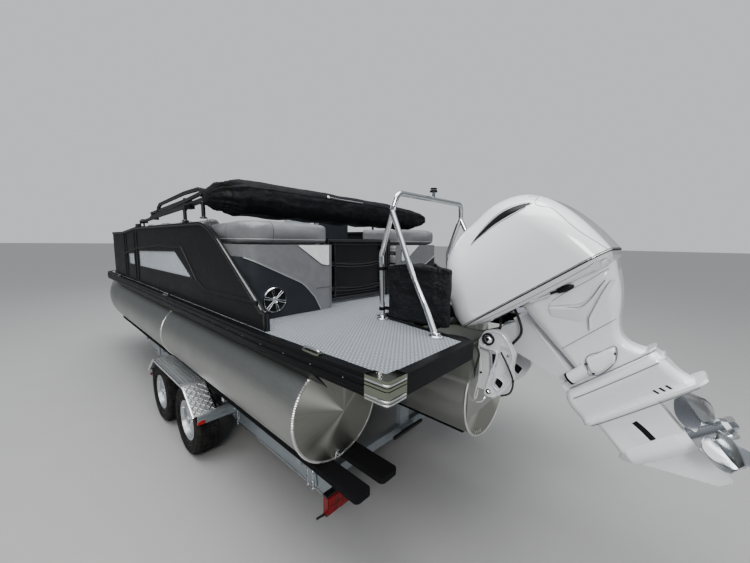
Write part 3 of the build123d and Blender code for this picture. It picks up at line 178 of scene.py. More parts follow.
class Graph:
    """A node tree being written, one node at a time."""

    def __init__(self, tree: bpy.types.NodeTree) -> None:
        """Keep the tree."""
        self.tree = tree

    def node(
        self,
        kind: str,
        settings: Optional[dict] = None,
        inputs: Optional[dict] = None,
        output: Union[int, str] = 0,
    ) -> Optional[Sock]:
        """Add one node of any kind.

        Args:
            kind: the node's type.
            settings: its own properties, or "stops" for a ramp's positions and colours.
            inputs: values or links by socket name or number.
            output: the output that is handed back.

        Returns:
            That output's socket, or None from a node without outputs.
        """
        made = self.tree.nodes.new(kind)
        for key, value in (settings or {}).items():
            if key == "stops":
                self._stops(made.color_ramp, value)
            else:
                setattr(made, key, value)
        for key, value in (inputs or {}).items():
            self.feed(made.inputs[key], value)
        return Sock(self, made.outputs[output]) if made.outputs else None

    def feed(self, socket: bpy.types.NodeSocket, value: object) -> None:
        """Link a socket to a value, or set it."""
        if isinstance(value, Sock):
            self.tree.links.new(value.socket, socket)
        elif isinstance(value, tuple) and socket.type == "RGBA":
            socket.default_value = (*value, 1.0)
        else:
            socket.default_value = value

    @staticmethod
    def _stops(ramp: bpy.types.ColorRamp, stops: Sequence[tuple[float, Colour]]) -> None:
        """Set a ramp's stops."""
        while len(ramp.elements) < len(stops):
            ramp.elements.new(1.0)
        for element, (position, colour) in zip(ramp.elements, stops):
            element.position = position
            element.color = (*colour, 1.0)

    def place(self) -> Sock:
        """Give the object coordinates, which are the boat's own metres."""
        return self.node("ShaderNodeTexCoord", output="Object")

    def split(self, vector: Sock) -> list[Sock]:
        """Take a vector's three parts."""
        first = self.node("ShaderNodeSeparateXYZ", inputs={0: vector})
        return [Sock(self, out) for out in first.socket.node.outputs]

    def join(self, x: Value, y: Value, z: Value) -> Sock:
        """Make a vector of three values."""
        return self.node("ShaderNodeCombineXYZ", inputs={0: x, 1: y, 2: z})

    def stretch(self, vector: Sock, scale: Point) -> Sock:
        """Scale a vector, each axis by its own amount."""
        return self.node("ShaderNodeVectorMath", {"operation": "MULTIPLY"}, {0: vector, 1: scale})

    def noise(self, vector: Sock, scale: float, detail: float = 3.0, roughness: float = 0.55) -> Sock:
        """Add a noise pattern.

        Args:
            vector: where it is read.
            scale: waves per metre.
            detail: octaves.
            roughness: how strong the fine octaves are.

        Returns:
            A value about 0.5.
        """
        inputs = {"Vector": vector, "Scale": scale, "Detail": detail, "Roughness": roughness}
        return self.node("ShaderNodeTexNoise", inputs=inputs)

    def cells(self, vector: Sock, scale: float, feature: str = "F1", output: str = "Distance") -> Sock:
        """Add a cell pattern."""
        inputs = {"Vector": vector, "Scale": scale}
        return self.node("ShaderNodeTexVoronoi", {"feature": feature}, inputs, output)

    def mix(self, factor: Value, first: Union[Colour, Sock], second: Union[Colour, Sock]) -> Sock:
        """Blend two colours.

        Args:
            factor: 0 for the first, 1 for the second.
            first: a colour or its socket.
            second: a colour or its socket.

        Returns:
            The blended colour.
        """
        mixed = self.node("ShaderNodeMix", {"data_type": "RGBA"}, output=2)
        for index, value in ((0, factor), (6, first), (7, second)):
            self.feed(mixed.socket.node.inputs[index], value)
        return mixed


@dataclass
class Surface:
    """What a finish gives its shader."""

    colour: Union[Colour, Sock]
    roughness: Value = 0.5
    metallic: Value = 0.0
    height: Optional[Sock] = None
    depth: float = 0.001
    alpha: Value = 1.0


@dataclass(frozen=True)
class Finish:
    """A plain coloured finish with faint unevenness, and the base of every other one."""

    name: str
    colour: Colour
    roughness: float = 0.5
    metallic: float = 0.0
    coat: float = 0.0
    wave: float = 30.0
    shade: float = 0.12
    depth: float = 0.0003
    slot: str = ""
    glint: float = 0.5

    def tone(self, amount: float) -> Colour:
        """Give the colour made lighter or darker by a share."""
        return tuple(min(1.0, c * (1 + amount)) for c in self.colour)

    def surface(self, g: Graph, p: Sock) -> Surface:
        """Work out the finish at a point.

        Args:
            g: the shader's graph.
            p: the place on the boat.

        Returns:
            The shader's values.
        """
        broad = g.noise(p, self.wave * 0.1, 2)
        fine = g.noise(p, self.wave * 10)
        colour = g.mix(broad, self.tone(-self.shade), self.tone(self.shade))
        rough = self.roughness + (fine - 0.5) * 0.1 + (broad - 0.5) * 0.1
        return Surface(colour, rough, self.metallic, fine, self.depth)

    def material(self) -> bpy.types.Material:
        """Build the material once and hand it back after that.

        Returns:
            The material.
        """
        name = "finish_" + self.name
        if name in bpy.data.materials:
            return bpy.data.materials[name]
        made = bpy.data.materials.new(name)
        made.use_nodes = True
        made.node_tree.nodes.clear()
        g = Graph(made.node_tree)
        look = self.surface(g, g.place())
        inputs = {"Base Color": look.colour, "Roughness": look.roughness, "Metallic": look.metallic}
        inputs |= {"Coat Weight": self.coat, "Coat Roughness": 0.05}
        inputs |= {"Alpha": look.alpha, "Specular IOR Level": self.glint}
        if look.height is not None:
            bump = {"Height": look.height, "Distance": look.depth, "Strength": 1.0}
            inputs["Normal"] = g.node("ShaderNodeBump", inputs=bump)
        shader = g.node("ShaderNodeBsdfPrincipled", inputs=inputs)
        g.node("ShaderNodeOutputMaterial", inputs={0: shader})
        return made


@dataclass(frozen=True)
class Brushed(Finish):
    """Bare aluminium with streaks along one axis, and olive-tinted painted shade under the aft deck between
    the tubes, by the engine.
    """

    grain: Point = (2.0, 90.0, 90.0)
    metallic: float = 1.0

    def surface(self, g: Graph, p: Sock) -> Surface:
        """Work out the streaks and the cloudy patches between them."""
        streak = g.noise(g.stretch(p, self.grain), 6, 4, 0.7)
        cloud = g.noise(p, 2.2, 4)
        colour = g.mix(streak.band(0.25, 0.75), self.tone(-0.2), self.tone(0.1))
        colour = g.mix(cloud.band(0.35, 0.75), colour, self.tone(-0.12))
        x, y, z = g.split(p)
        # painted shade: metal higher than 1.2 m, within 0.34 m of the middle line and within 0.83 m of the
        # deck's aft edge is darkened and tinted olive
        well_shade = z.band(1.17, 1.20) * (1 - y.fn("ABSOLUTE").band(0.33, 0.35)) * (1 - x.band(-2.72, -2.70))
        colour = g.mix(well_shade * 0.6, colour, srgb(92, 96, 82))
        rough = self.roughness + (streak - 0.5) * 0.3 + (cloud - 0.5) * 0.2
        return Surface(colour, rough, self.metallic, streak, self.depth)


@dataclass(frozen=True)
class Spun(Finish):
    """Aluminium spun on its centre: fine rays from the spinning, with painted highlight wedges at set angles
    and painted dark reflection between them.
    """

    centre: Pair = (0.9455, 1.0442)
    highlight_fans: tuple[tuple[float, float, float], ...] = ((0.0, 0.2, 0.5),)
    metallic: float = 1.0

    def surface(self, g: Graph, p: Sock) -> Surface:
        """Work out the painted highlight wedges about the centre and the fine rays between them."""
        _, y, z = g.split(p)
        across, up = y.fn("ABSOLUTE") - self.centre[0], z - self.centre[1]
        angle = up.fn("ARCTAN2", across)
        reach = (across * across + up * up).fn("SQRT")
        rays = g.noise(g.join(angle.fn("COSINE"), angle.fn("SINE"), reach * 0.15), 26, 4, 0.75)
        light = rays * 0.25
        # painted highlights: each entry is the angle, width and strength of a bright wedge; the dark end of
        # the mix is painted reflection
        for middle, width, strength in self.highlight_fans:
            apart = (angle - middle).fn("SINE").fn("ABSOLUTE")
            facing = (angle - middle).fn("COSINE").band(-0.05, 0.05)
            light = light + (1 - apart.band(0.0, width)) * facing * strength
        colour = g.mix(light.fn("MINIMUM", 1.0), self.tone(-0.62), self.tone(0.5))
        return Surface(colour, self.roughness + (rays - 0.5) * 0.3, self.metallic, rays, self.depth)


@dataclass(frozen=True)
class Galvanised(Finish):
    """Hot-dipped steel with its spangle and a few pale runs."""

    metallic: float = 0.75

    def surface(self, g: Graph, p: Sock) -> Surface:
        """Work out the spangle and the runs."""
        tint = g.cells(p, 95, output="Color")
        spangle, *_ = g.split(tint)
        cloud = g.noise(p, 9, 4)
        colour = g.mix(spangle * 0.5 + cloud * 0.5, self.tone(-0.2), self.tone(0.2))
        colour = g.mix(g.noise(p, 38, 5, 0.7).band(0.62, 0.75) * 0.5, colour, srgb(214, 220, 222))
        return Surface(colour, self.roughness + (spangle - 0.5) * 0.15, self.metallic, cloud, self.depth)


@dataclass(frozen=True)
class Woven(Finish):
    """Woven vinyl flooring: rounded cells in staggered rows, the weft darker than the warp."""

    cell: Pair = (0.0250, 0.0165)

    def surface(self, g: Graph, p: Sock) -> Surface:
        """Work out the weave, its threads and the wear over it."""
        x, y, _ = g.split(p)
        along, over = x / self.cell[0], y / self.cell[1]
        row = over.fn("FLOOR")
        along = along + row * 0.5
        hump = (along * math.pi).fn("SINE").fn("ABSOLUTE") * (over * math.pi).fn("SINE").fn("ABSOLUTE")
        odd = (along.fn("FLOOR") + row).fn("PINGPONG", 1.0)
        thread = (over * math.pi * 5).fn("SINE").fn("ABSOLUTE")
        fleck = g.noise(p, 260, 2)
        colour = g.mix(hump.band(0.08, 0.6), srgb(38, 42, 47), self.tone(0.1))
        colour = g.mix(odd * 0.45, colour, srgb(104, 110, 116))
        colour = g.mix(fleck.band(0.45, 0.7) * 0.25, colour, srgb(172, 176, 180))
        colour = g.mix(g.noise(p, 3, 3).band(0.3, 0.8) * 0.25, colour, srgb(128, 132, 136))
        return Surface(colour, 0.62 + (hump - 0.5) * 0.2, 0.0, hump + thread * 0.12, 0.003)


@dataclass(frozen=True)
class Vinyl(Finish):
    """Upholstery vinyl with a leather grain and a soft sheen."""

    grain: float = 420.0

    def surface(self, g: Graph, p: Sock) -> Surface:
        """Work out the grain, its folds and the sheen."""
        pebble = g.cells(p, self.grain, "SMOOTH_F1")
        crease = g.noise(p, 14, 5, 0.65)
        colour = g.mix(crease.band(0.3, 0.75), self.tone(-0.1), self.tone(0.08))
        colour = g.mix(pebble.band(0.5, 0.9) * 0.25, colour, self.tone(-0.35))
        height = crease * 2.6 + pebble * 0.3
        return Surface(colour, self.roughness + (pebble - 0.5) * 0.14, 0.0, height, 0.0011)


@dataclass(frozen=True)
class Canvas(Finish):
    """Acrylic canvas: a fine plain weave with dust, and a painted bluish sheen along the ridges of its folds.
    """

    def surface(self, g: Graph, p: Sock) -> Surface:
        """Work out the weave, the creases with their painted sheen, and the dust."""
        x, y, z = g.split(p)
        warp = ((x + y * 0.7) * 2600.0).fn("SINE")
        weft = ((z + y * 0.6) * 2600.0).fn("SINE")
        crease = g.noise(g.stretch(p, (1.0, 1.0, 1.6)), 10, 6, 0.62)
        dust = g.noise(p, 45, 4)
        # painted sheen: the fold ridges, where the crease noise is high, are lightened to a bluish grey
        colour = g.mix(crease.band(0.4, 0.72) * 0.5, self.colour, srgb(30, 33, 39))
        colour = g.mix(dust.band(0.6, 0.85) * 0.2, colour, srgb(60, 63, 68))
        return Surface(colour, self.roughness, 0.0, crease * 5.0 + warp * weft * 0.05, 0.004)


@dataclass(frozen=True)
class Carpet(Finish):
    """Marine carpet: a short dark pile with lint in it."""

    def surface(self, g: Graph, p: Sock) -> Surface:
        """Work out the pile and the lint."""
        pile = g.noise(p, 520, 4, 0.8)
        lint = g.noise(p, 190, 2)
        colour = g.mix(pile.band(0.3, 0.8), self.tone(-0.5), self.tone(0.9))
        colour = g.mix(lint.band(0.7, 0.78) * 0.4, colour, srgb(110, 108, 104))
        return Surface(colour, 0.96, 0.0, pile, 0.0035)


@dataclass(frozen=True)
class Tread(Finish):
    """Aluminium tread plate: raised bars in a crossed pattern on the slopes, worn bright."""

    pitch: float = 0.034
    metallic: float = 1.0

    def surface(self, g: Graph, p: Sock) -> Surface:
        """Work out the crossed bars."""
        x, y, _ = g.split(p)
        u, v = (x + y) / self.pitch, (x - y) / self.pitch
        odd = (u.fn("FLOOR") + v.fn("FLOOR")).fn("PINGPONG", 1.0)
        iu, iv = u.fn("FRACT") - 0.5, v.fn("FRACT") - 0.5
        one = (iu * iu * 24 + iv * iv * 5.2).fn("SQRT")
        two = (iu * iu * 5.2 + iv * iv * 24).fn("SQRT")
        bar = 1 - (one * odd + two * (1 - odd)).band(0.85, 1.05)
        scuff = g.noise(p, 60, 5, 0.7)
        colour = g.mix(scuff, self.tone(-0.35), self.tone(0.1))
        colour = g.mix(bar * 0.7, colour, self.tone(0.35))
        return Surface(colour, self.roughness + scuff * 0.2, self.metallic, bar, 0.004)


@dataclass(frozen=True)
class Grooved(Finish):
    """Painted extrusion with fine die lines along it."""

    def surface(self, g: Graph, p: Sock) -> Surface:
        """Work out the die lines and the faint dust on them."""
        die = g.noise(g.stretch(p, (0.6, 55.0, 55.0)), 4, 3)
        dust = g.noise(p, 7, 5, 0.65)
        colour = g.mix(dust.band(0.45, 0.8) * 0.6, self.colour, self.tone(1.2))
        return Surface(colour, self.roughness + (dust - 0.5) * 0.25 + (die - 0.5) * 0.1, 0.0, die, self.depth)


@dataclass(frozen=True)
class Pane(Finish):
    """Tinted acrylic whose pale blue-white colour is a painted reflection of the sky; it shows a little of
    what is behind it.
    """

    cover: float = 0.62

    def surface(self, g: Graph, p: Sock) -> Surface:
        """Work out the painted sky reflection and its slight waviness."""
        wave = g.noise(p, 4, 2)
        colour = g.mix(wave, self.tone(-0.1), self.tone(0.1))
        return Surface(colour, self.roughness, 0.0, wave, 0.002, self.cover)


@dataclass(frozen=True)
class Lens(Finish):
    """A lamp lens with small square prisms."""

    def surface(self, g: Graph, p: Sock) -> Surface:
        """Work out the prisms."""
        _, y, z = g.split(p)
        prism = (y * 700.0).fn("SINE") * (z * 700.0).fn("SINE")
        colour = g.mix(prism.band(-0.6, 0.6), self.tone(-0.45), self.tone(0.35))
        return Surface(colour, self.roughness, 0.0, prism, 0.0006)


@dataclass(frozen=True)
class Rubber(Finish):
    """Tyre rubber: dull, browned by dust, with fine rings moulded in it."""

    def surface(self, g: Graph, p: Sock) -> Surface:
        """Work out the dust and the moulded grain."""
        dust = g.noise(p, 16, 5, 0.7)
        grit = g.noise(p, 300, 3)
        colour = g.mix(dust.band(0.35, 0.8) * 0.7, self.colour, srgb(66, 63, 60))
        return Surface(colour, self.roughness + (grit - 0.5) * 0.2, 0.0, grit, 0.0006)


FINISHES: dict[str, Finish] = {
    f.name: f
    for f in (
        Brushed("tube_aluminium", srgb(168, 169, 166), 0.44, depth=0.00012),
        Brushed("beam_aluminium", srgb(168, 168, 166), 0.42, depth=0.0002),
        Woven("woven_floor", srgb(136, 142, 148)),
        Grooved("rail_black", srgb(6, 7, 9), 0.42, depth=0.0003, glint=0.12),
        # painted reflection: the polished casting's metal colour is darkened and tinted olive to stand for
        # dark surroundings mirrored in it
        Finish("bright_casting", srgb(132, 135, 122), 0.08, 1.0, depth=0.00005, shade=0.04),
        Grooved("skirt_black", srgb(12, 12, 14), 0.42, depth=0.0003, glint=0.15),
        Grooved("fence_black", srgb(19, 20, 22), 0.5, depth=0.0004, glint=0.16),
        # painted reflection: the pane's pale blue-white colour stands for the sky it mirrors
        Pane("tinted_acrylic", srgb(226, 236, 247), 0.05, coat=1.0),
        Finish("gate_black", srgb(12, 13, 14), 0.36, shade=0.2, coat=0.2, glint=0.3),
        Vinyl("vinyl_grey", srgb(112, 113, 116), 0.44),
        Vinyl("vinyl_charcoal", srgb(36, 39, 44), 0.42, glint=0.3),
        Vinyl("vinyl_white", srgb(232, 233, 232), 0.42),
        Finish("speaker_bright", srgb(214, 217, 220), 0.16, 1.0, shade=0.05),
        Finish("console_grey", srgb(48, 50, 54), 0.4, shade=0.1, coat=0.3),
        Finish("grip_black", srgb(22, 22, 23), 0.55, depth=0.0006, glint=0.3),
        Brushed("pedestal_aluminium", srgb(190, 192, 194), 0.24, grain=(90.0, 90.0, 2.0)),
        Finish("polished_stainless", srgb(226, 229, 232), 0.07, 1.0, depth=0.00006, shade=0.05),
        Canvas("bag_cloth", srgb(13, 15, 19), 0.62, glint=0.22),
        Brushed("shade_aluminium", srgb(18, 19, 21), 0.34, metallic=0.4),
        Finish("shade_fittings", srgb(13, 13, 15), 0.45),
        Canvas("canvas_black", srgb(8, 9, 13), 0.7, glint=0.15),
        Finish("bracket_white", srgb(216, 219, 222), 0.22, shade=0.05, coat=0.6, depth=0.0002),
        Finish("cylinder_dark", srgb(38, 39, 41), 0.4, 0.3),
        Finish("rod_steel", srgb(216, 218, 220), 0.1, 1.0),
        Finish("engine_white", srgb(244, 246, 248), 0.2, shade=0.03, coat=1.0, depth=0.00008, wave=6.0),
        Finish("propeller_steel", srgb(198, 201, 204), 0.13, 1.0, shade=0.2),
        Galvanised("galvanised_steel", srgb(150, 158, 163), 0.42),
        Carpet("bunk_carpet", srgb(22, 22, 24), glint=0.1),
        Galvanised("axle_steel", srgb(140, 147, 151), 0.5),
        Tread("tread_plate", srgb(206, 208, 210), 0.3),
        Finish("coupler_zinc", srgb(176, 178, 176), 0.34, 0.9),
        Finish("jack_zinc", srgb(184, 186, 188), 0.3, 0.9),
        Lens("light_red", srgb(116, 3, 8), 0.2, coat=0.15, glint=0.2),
        Finish("light_black", srgb(20, 20, 21), 0.36, glint=0.3),
        Rubber("tyre_black", srgb(19, 19, 20), 0.78, glint=0.15),
        # painted highlights: the angles below set bright wedges on the middle tube's plate
        Spun("plate_spun", srgb(172, 171, 164), 0.34, slot="tube_aluminium", centre=(0.0, 1.0292),
             highlight_fans=((0.9, 0.3, 0.35), (-0.6, 0.35, 0.45))),
        Finish("rail_satin", srgb(20, 21, 23), 0.3, coat=0.3, slot="fence_black"),
        Finish("gate_gloss", srgb(16, 17, 19), 0.22, coat=0.6, slot="gate_black"),
        Finish("hose_pale", srgb(206, 206, 196), 0.3, coat=0.5, slot="bracket_white"),
        Finish("tread_bright", srgb(214, 216, 218), 0.16, 1.0, slot="tread_plate"),
        # painted shade: near-black for the tyre's sipes, which are the same rubber and dark only from shade
        Finish("groove_dark", srgb(6, 6, 6), 0.9, slot="tyre_black", glint=0.1),
        Finish("lens_deep", srgb(118, 3, 8), 0.16, coat=0.2, slot="light_red", glint=0.2),
        Finish("rim_silver", srgb(200, 203, 206), 0.3, 0.85, shade=0.06),
        Finish("gloss_black", srgb(8, 9, 10), 0.42, glint=0.25, shade=0.05, depth=0.00005,
               slot="cylinder_dark"),
        Finish("seam_black", srgb(16, 17, 18), 0.5, slot="cylinder_dark", glint=0.15),
        Finish("engine_trim", srgb(196, 199, 202), 0.14, 0.6, slot="engine_white"),
        # grey for painted shade and shadow lines on the white engine
        Finish("engine_shadow", srgb(112, 116, 120), 0.4, slot="engine_white"),
        Rubber("rubber", srgb(26, 26, 27), 0.5, slot="tyre_black", glint=0.25),
        Brushed("weld_bright", srgb(236, 236, 232), 0.34, grain=(160.0, 8.0, 8.0), slot="tube_aluminium"),
        # painted highlights: the angles below set bright wedges on the outer tubes' cones
        Spun("cap_spun", srgb(180, 180, 173), 0.44, slot="tube_aluminium",
             highlight_fans=((-0.95, 0.34, 0.6), (0.62, 0.36, 0.7), (2.6, 0.2, 0.25), (1.75, 0.16, 0.2))),
        Finish("chrome", srgb(235, 237, 239), 0.05, 1.0, shade=0.03, depth=0.00005,
               slot="polished_stainless"),
        Finish("piping_pale", srgb(158, 160, 163), 0.4, slot="vinyl_grey"),
        Finish("stitch_dark", srgb(40, 41, 44), 0.7, slot="vinyl_charcoal"),
        Finish("stitch_pale", srgb(176, 178, 180), 0.6, slot="vinyl_grey"),
        Finish("marker_red", srgb(150, 8, 12), 0.2, coat=0.3, slot="light_red"),
        Finish("dot_white", srgb(226, 228, 230), 0.4, slot="shade_fittings"),
        Finish("strap_black", srgb(14, 14, 16), 0.6, slot="canvas_black", glint=0.15),
        Finish("gauge_face", srgb(22, 26, 32), 0.2, coat=1.0, slot="console_grey"),
        Finish("zinc_bolt", srgb(190, 193, 196), 0.25, 1.0, slot="galvanised_steel"),
        Finish("screw_black", srgb(20, 21, 23), 0.35, 0.3, slot="fence_black"),
        # painted reflection: a pale blue-grey pane colour standing for the sky it mirrors
        Finish("pane_pale", srgb(170, 184, 200), 0.06, coat=1.0, slot="tinted_acrylic"),
    )
}


@dataclass(frozen=True)
class Lamp:
    """One soft panel of light: where it hangs, what it points at, its size, its watts and its colour."""

    name: str
    place: Point
    aim: Point
    size: Pair
    power: float
    tint: Colour

    def hang(self) -> None:
        """Put the panel in the scene."""
        data = bpy.data.lights.new(self.name, "AREA")
        data.shape, data.size, data.size_y = "RECTANGLE", *self.size
        data.energy, data.color = self.power, self.tint
        lamp = bpy.data.objects.new(self.name, data)
        lamp.location = self.place
        lamp.rotation_euler = (Vector(self.aim) - Vector(self.place)).to_track_quat("-Z", "Y").to_euler()
        bpy.context.scene.collection.objects.link(lamp)


@dataclass(frozen=True)
class Studio:
    """The pale floor, the soft lights and the camera at the photograph's place."""

    eye: Point = (-4.3508, 2.2026, 2.0838)
    yaw: float = -0.8242
    pitch: float = -0.1235
    roll: float = 0.0141
    lens: float = 15.51
    panels: tuple[Lamp, ...] = (
        Lamp("overhead", (-2.0, 1.5, 9.0), (-1.0, 0.0, 0.0), (8.0, 6.0), 950.0, (1.0, 1.0, 1.0)),
        Lamp("quarter", (-8.5, 7.5, 6.5), (-2.5, 0.0, 1.0), (2.6, 2.2), 420.0, (1.0, 0.98, 0.95)),
        Lamp("bow", (9.0, -5.0, 6.0), (0.0, 0.0, 1.0), (5.0, 4.0), 200.0, (0.93, 0.96, 1.0)),
    )
    sun_power: float = 1.9
    sun_spread: float = math.radians(75)
    sun_lean: Point = (math.radians(-12), math.radians(-16), 0)
    low_sky: Colour = srgb(132, 137, 144)
    high_sky: Colour = srgb(236, 242, 250)
    sky_strength: float = 0.52
    backdrop: Colour = srgb(214, 217, 221)
    floor_half: float = 150.0

    def camera(self) -> None:
        """Set the camera where the boat was seen from."""
        level = math.cos(self.pitch)
        ahead = Vector((math.cos(self.yaw) * level, math.sin(self.yaw) * level, math.sin(self.pitch)))
        right = Vector((math.sin(self.yaw), -math.cos(self.yaw), 0.0))
        up = right.cross(ahead)
        leaned = math.cos(self.roll) * right + math.sin(self.roll) * up
        risen = math.cos(self.roll) * up - math.sin(self.roll) * right
        data = bpy.data.cameras.new("camera")
        data.lens, data.sensor_width, data.clip_end = self.lens, 36.0, 200.0
        camera = bpy.data.objects.new("camera", data)
        turn = Matrix((leaned, risen, -ahead)).transposed().to_4x4()
        camera.matrix_world = Matrix.Translation(self.eye) @ turn
        bpy.context.scene.collection.objects.link(camera)
        bpy.context.scene.camera = camera

    def sky(self) -> None:
        """Make the soft sky, with a plain pale backdrop for the camera, and the overcast sun."""
        world = bpy.data.worlds.new("studio")
        world.use_nodes = True
        world.node_tree.nodes.clear()
        g = Graph(world.node_tree)
        *_, height = g.split(g.node("ShaderNodeTexCoord", output="Generated"))
        tone = g.mix(height.band(-0.1, 0.9), self.low_sky, self.high_sky)
        lit = g.node("ShaderNodeBackground", inputs={0: tone, 1: self.sky_strength})
        seen = g.node("ShaderNodeBackground", inputs={0: self.backdrop, 1: 1.0})
        camera_ray = g.node("ShaderNodeLightPath", output="Is Camera Ray")
        both = g.node("ShaderNodeMixShader", inputs={0: camera_ray, 1: lit, 2: seen})
        g.node("ShaderNodeOutputWorld", inputs={0: both})
        bpy.context.scene.world = world
        data = bpy.data.lights.new("overcast", "SUN")
        data.energy, data.angle = self.sun_power, self.sun_spread
        sun = bpy.data.objects.new("overcast", data)
        sun.rotation_euler = self.sun_lean
        bpy.context.scene.collection.objects.link(sun)

    def floor(self) -> None:
        """Lay the floor."""
        half = self.floor_half
        data = bpy.data.meshes.new("floor")
        corners = [(-half, -half, 0), (half, -half, 0), (half, half, 0), (-half, half, 0)]
        data.from_pydata(corners, [], [(0, 1, 2, 3)])
        ground = bpy.data.objects.new("floor", data)
        data.materials.append(Finish("floor", srgb(150, 150, 149), 0.92, shade=0.04, depth=0.0008).material())
        bpy.context.scene.collection.objects.link(ground)
        ground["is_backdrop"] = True

    def build(self) -> None:
        """Make the sky, the lights, the floor and the camera."""
        self.sky()
        for panel in self.panels:
            panel.hang()
        self.floor()
        self.camera()


def smooth(points: Sequence[Sequence[float]], steps: int = 8, closed: bool = False) -> list[Vector]:
    """Run a smooth line through points.

    Args:
        points: the points it passes.
        steps: pieces between two points.
        closed: whether it comes back to its start.

    Returns:
        The line's points.
    """
    spots = [Vector(p) for p in points]
    count = len(spots)
    line = []
    for i in range(count if closed else count - 1):
        near = [j % count if closed else min(max(j, 0), count - 1) for j in range(i - 1, i + 3)]
        a, b, c, d = (spots[j] for j in near)
        for k in range(steps):
            t = k / steps
            bend, twist = 2 * a - 5 * b + 4 * c - d, 3 * b - a - 3 * c + d
            line.append(0.5 * (2 * b + (c - a) * t + bend * t**2 + twist * t**3))
    return line if closed else [*line, spots[-1]]


def straight(points: Sequence[Sequence[float]], step: float) -> list[Vector]:
    """Divide the runs between points into short even steps."""
    line = [Vector(points[0])]
    for near, far in zip(points, points[1:]):
        run = Vector(far) - Vector(near)
        count = max(1, round(run.length / step))
        line += [Vector(near) + run * (k / count) for k in range(1, count + 1)]
    return line


def drawn(points: Sequence[Pair], steps: int = 8, closed: bool = False) -> list[Pair]:
    """Run a smooth line through the points of a flat drawing."""
    return [(p.x, p.y) for p in smooth([(a, b, 0) for a, b in points], steps, closed)]


def route(points: Sequence[Point], steps: int = 6, side: int = 1) -> list[Vector]:
    """Run a smooth line through places on the boat, mirrored where the side is -1."""
    return smooth([at(x, side * y, z) for x, y, z in points], steps)


class Skin:
    """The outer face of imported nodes, for laying trim on it."""

    def __init__(self, *pieces: bpy.types.Object) -> None:
        """Collect the pieces' faces."""
        points: list[Vector] = []
        faces: list[list[int]] = []
        for piece in pieces:
            base = len(points)
            points += [v.co.copy() for v in piece.data.vertices]
            faces += [[base + i for i in face.vertices] for face in piece.data.polygons]
        self.tree = BVHTree.FromPolygons(points, faces)

    def drop(self, start: Vector, way: Vector, lift: float = 0.0) -> Vector:
        """Follow a line to the skin.

        Args:
            start: where the line starts.
            way: its direction.
            lift: how far the answer stands off the skin.

        Returns:
            The place on the skin, or the nearest one where the line misses.
        """
        place, normal, _, _ = self.tree.ray_cast(start, way)
        if place is None:
            place, normal, _, _ = self.tree.find_nearest(start + way * 0.3)
        if normal.dot(way) > 0:
            normal = -normal
        return place + normal * lift


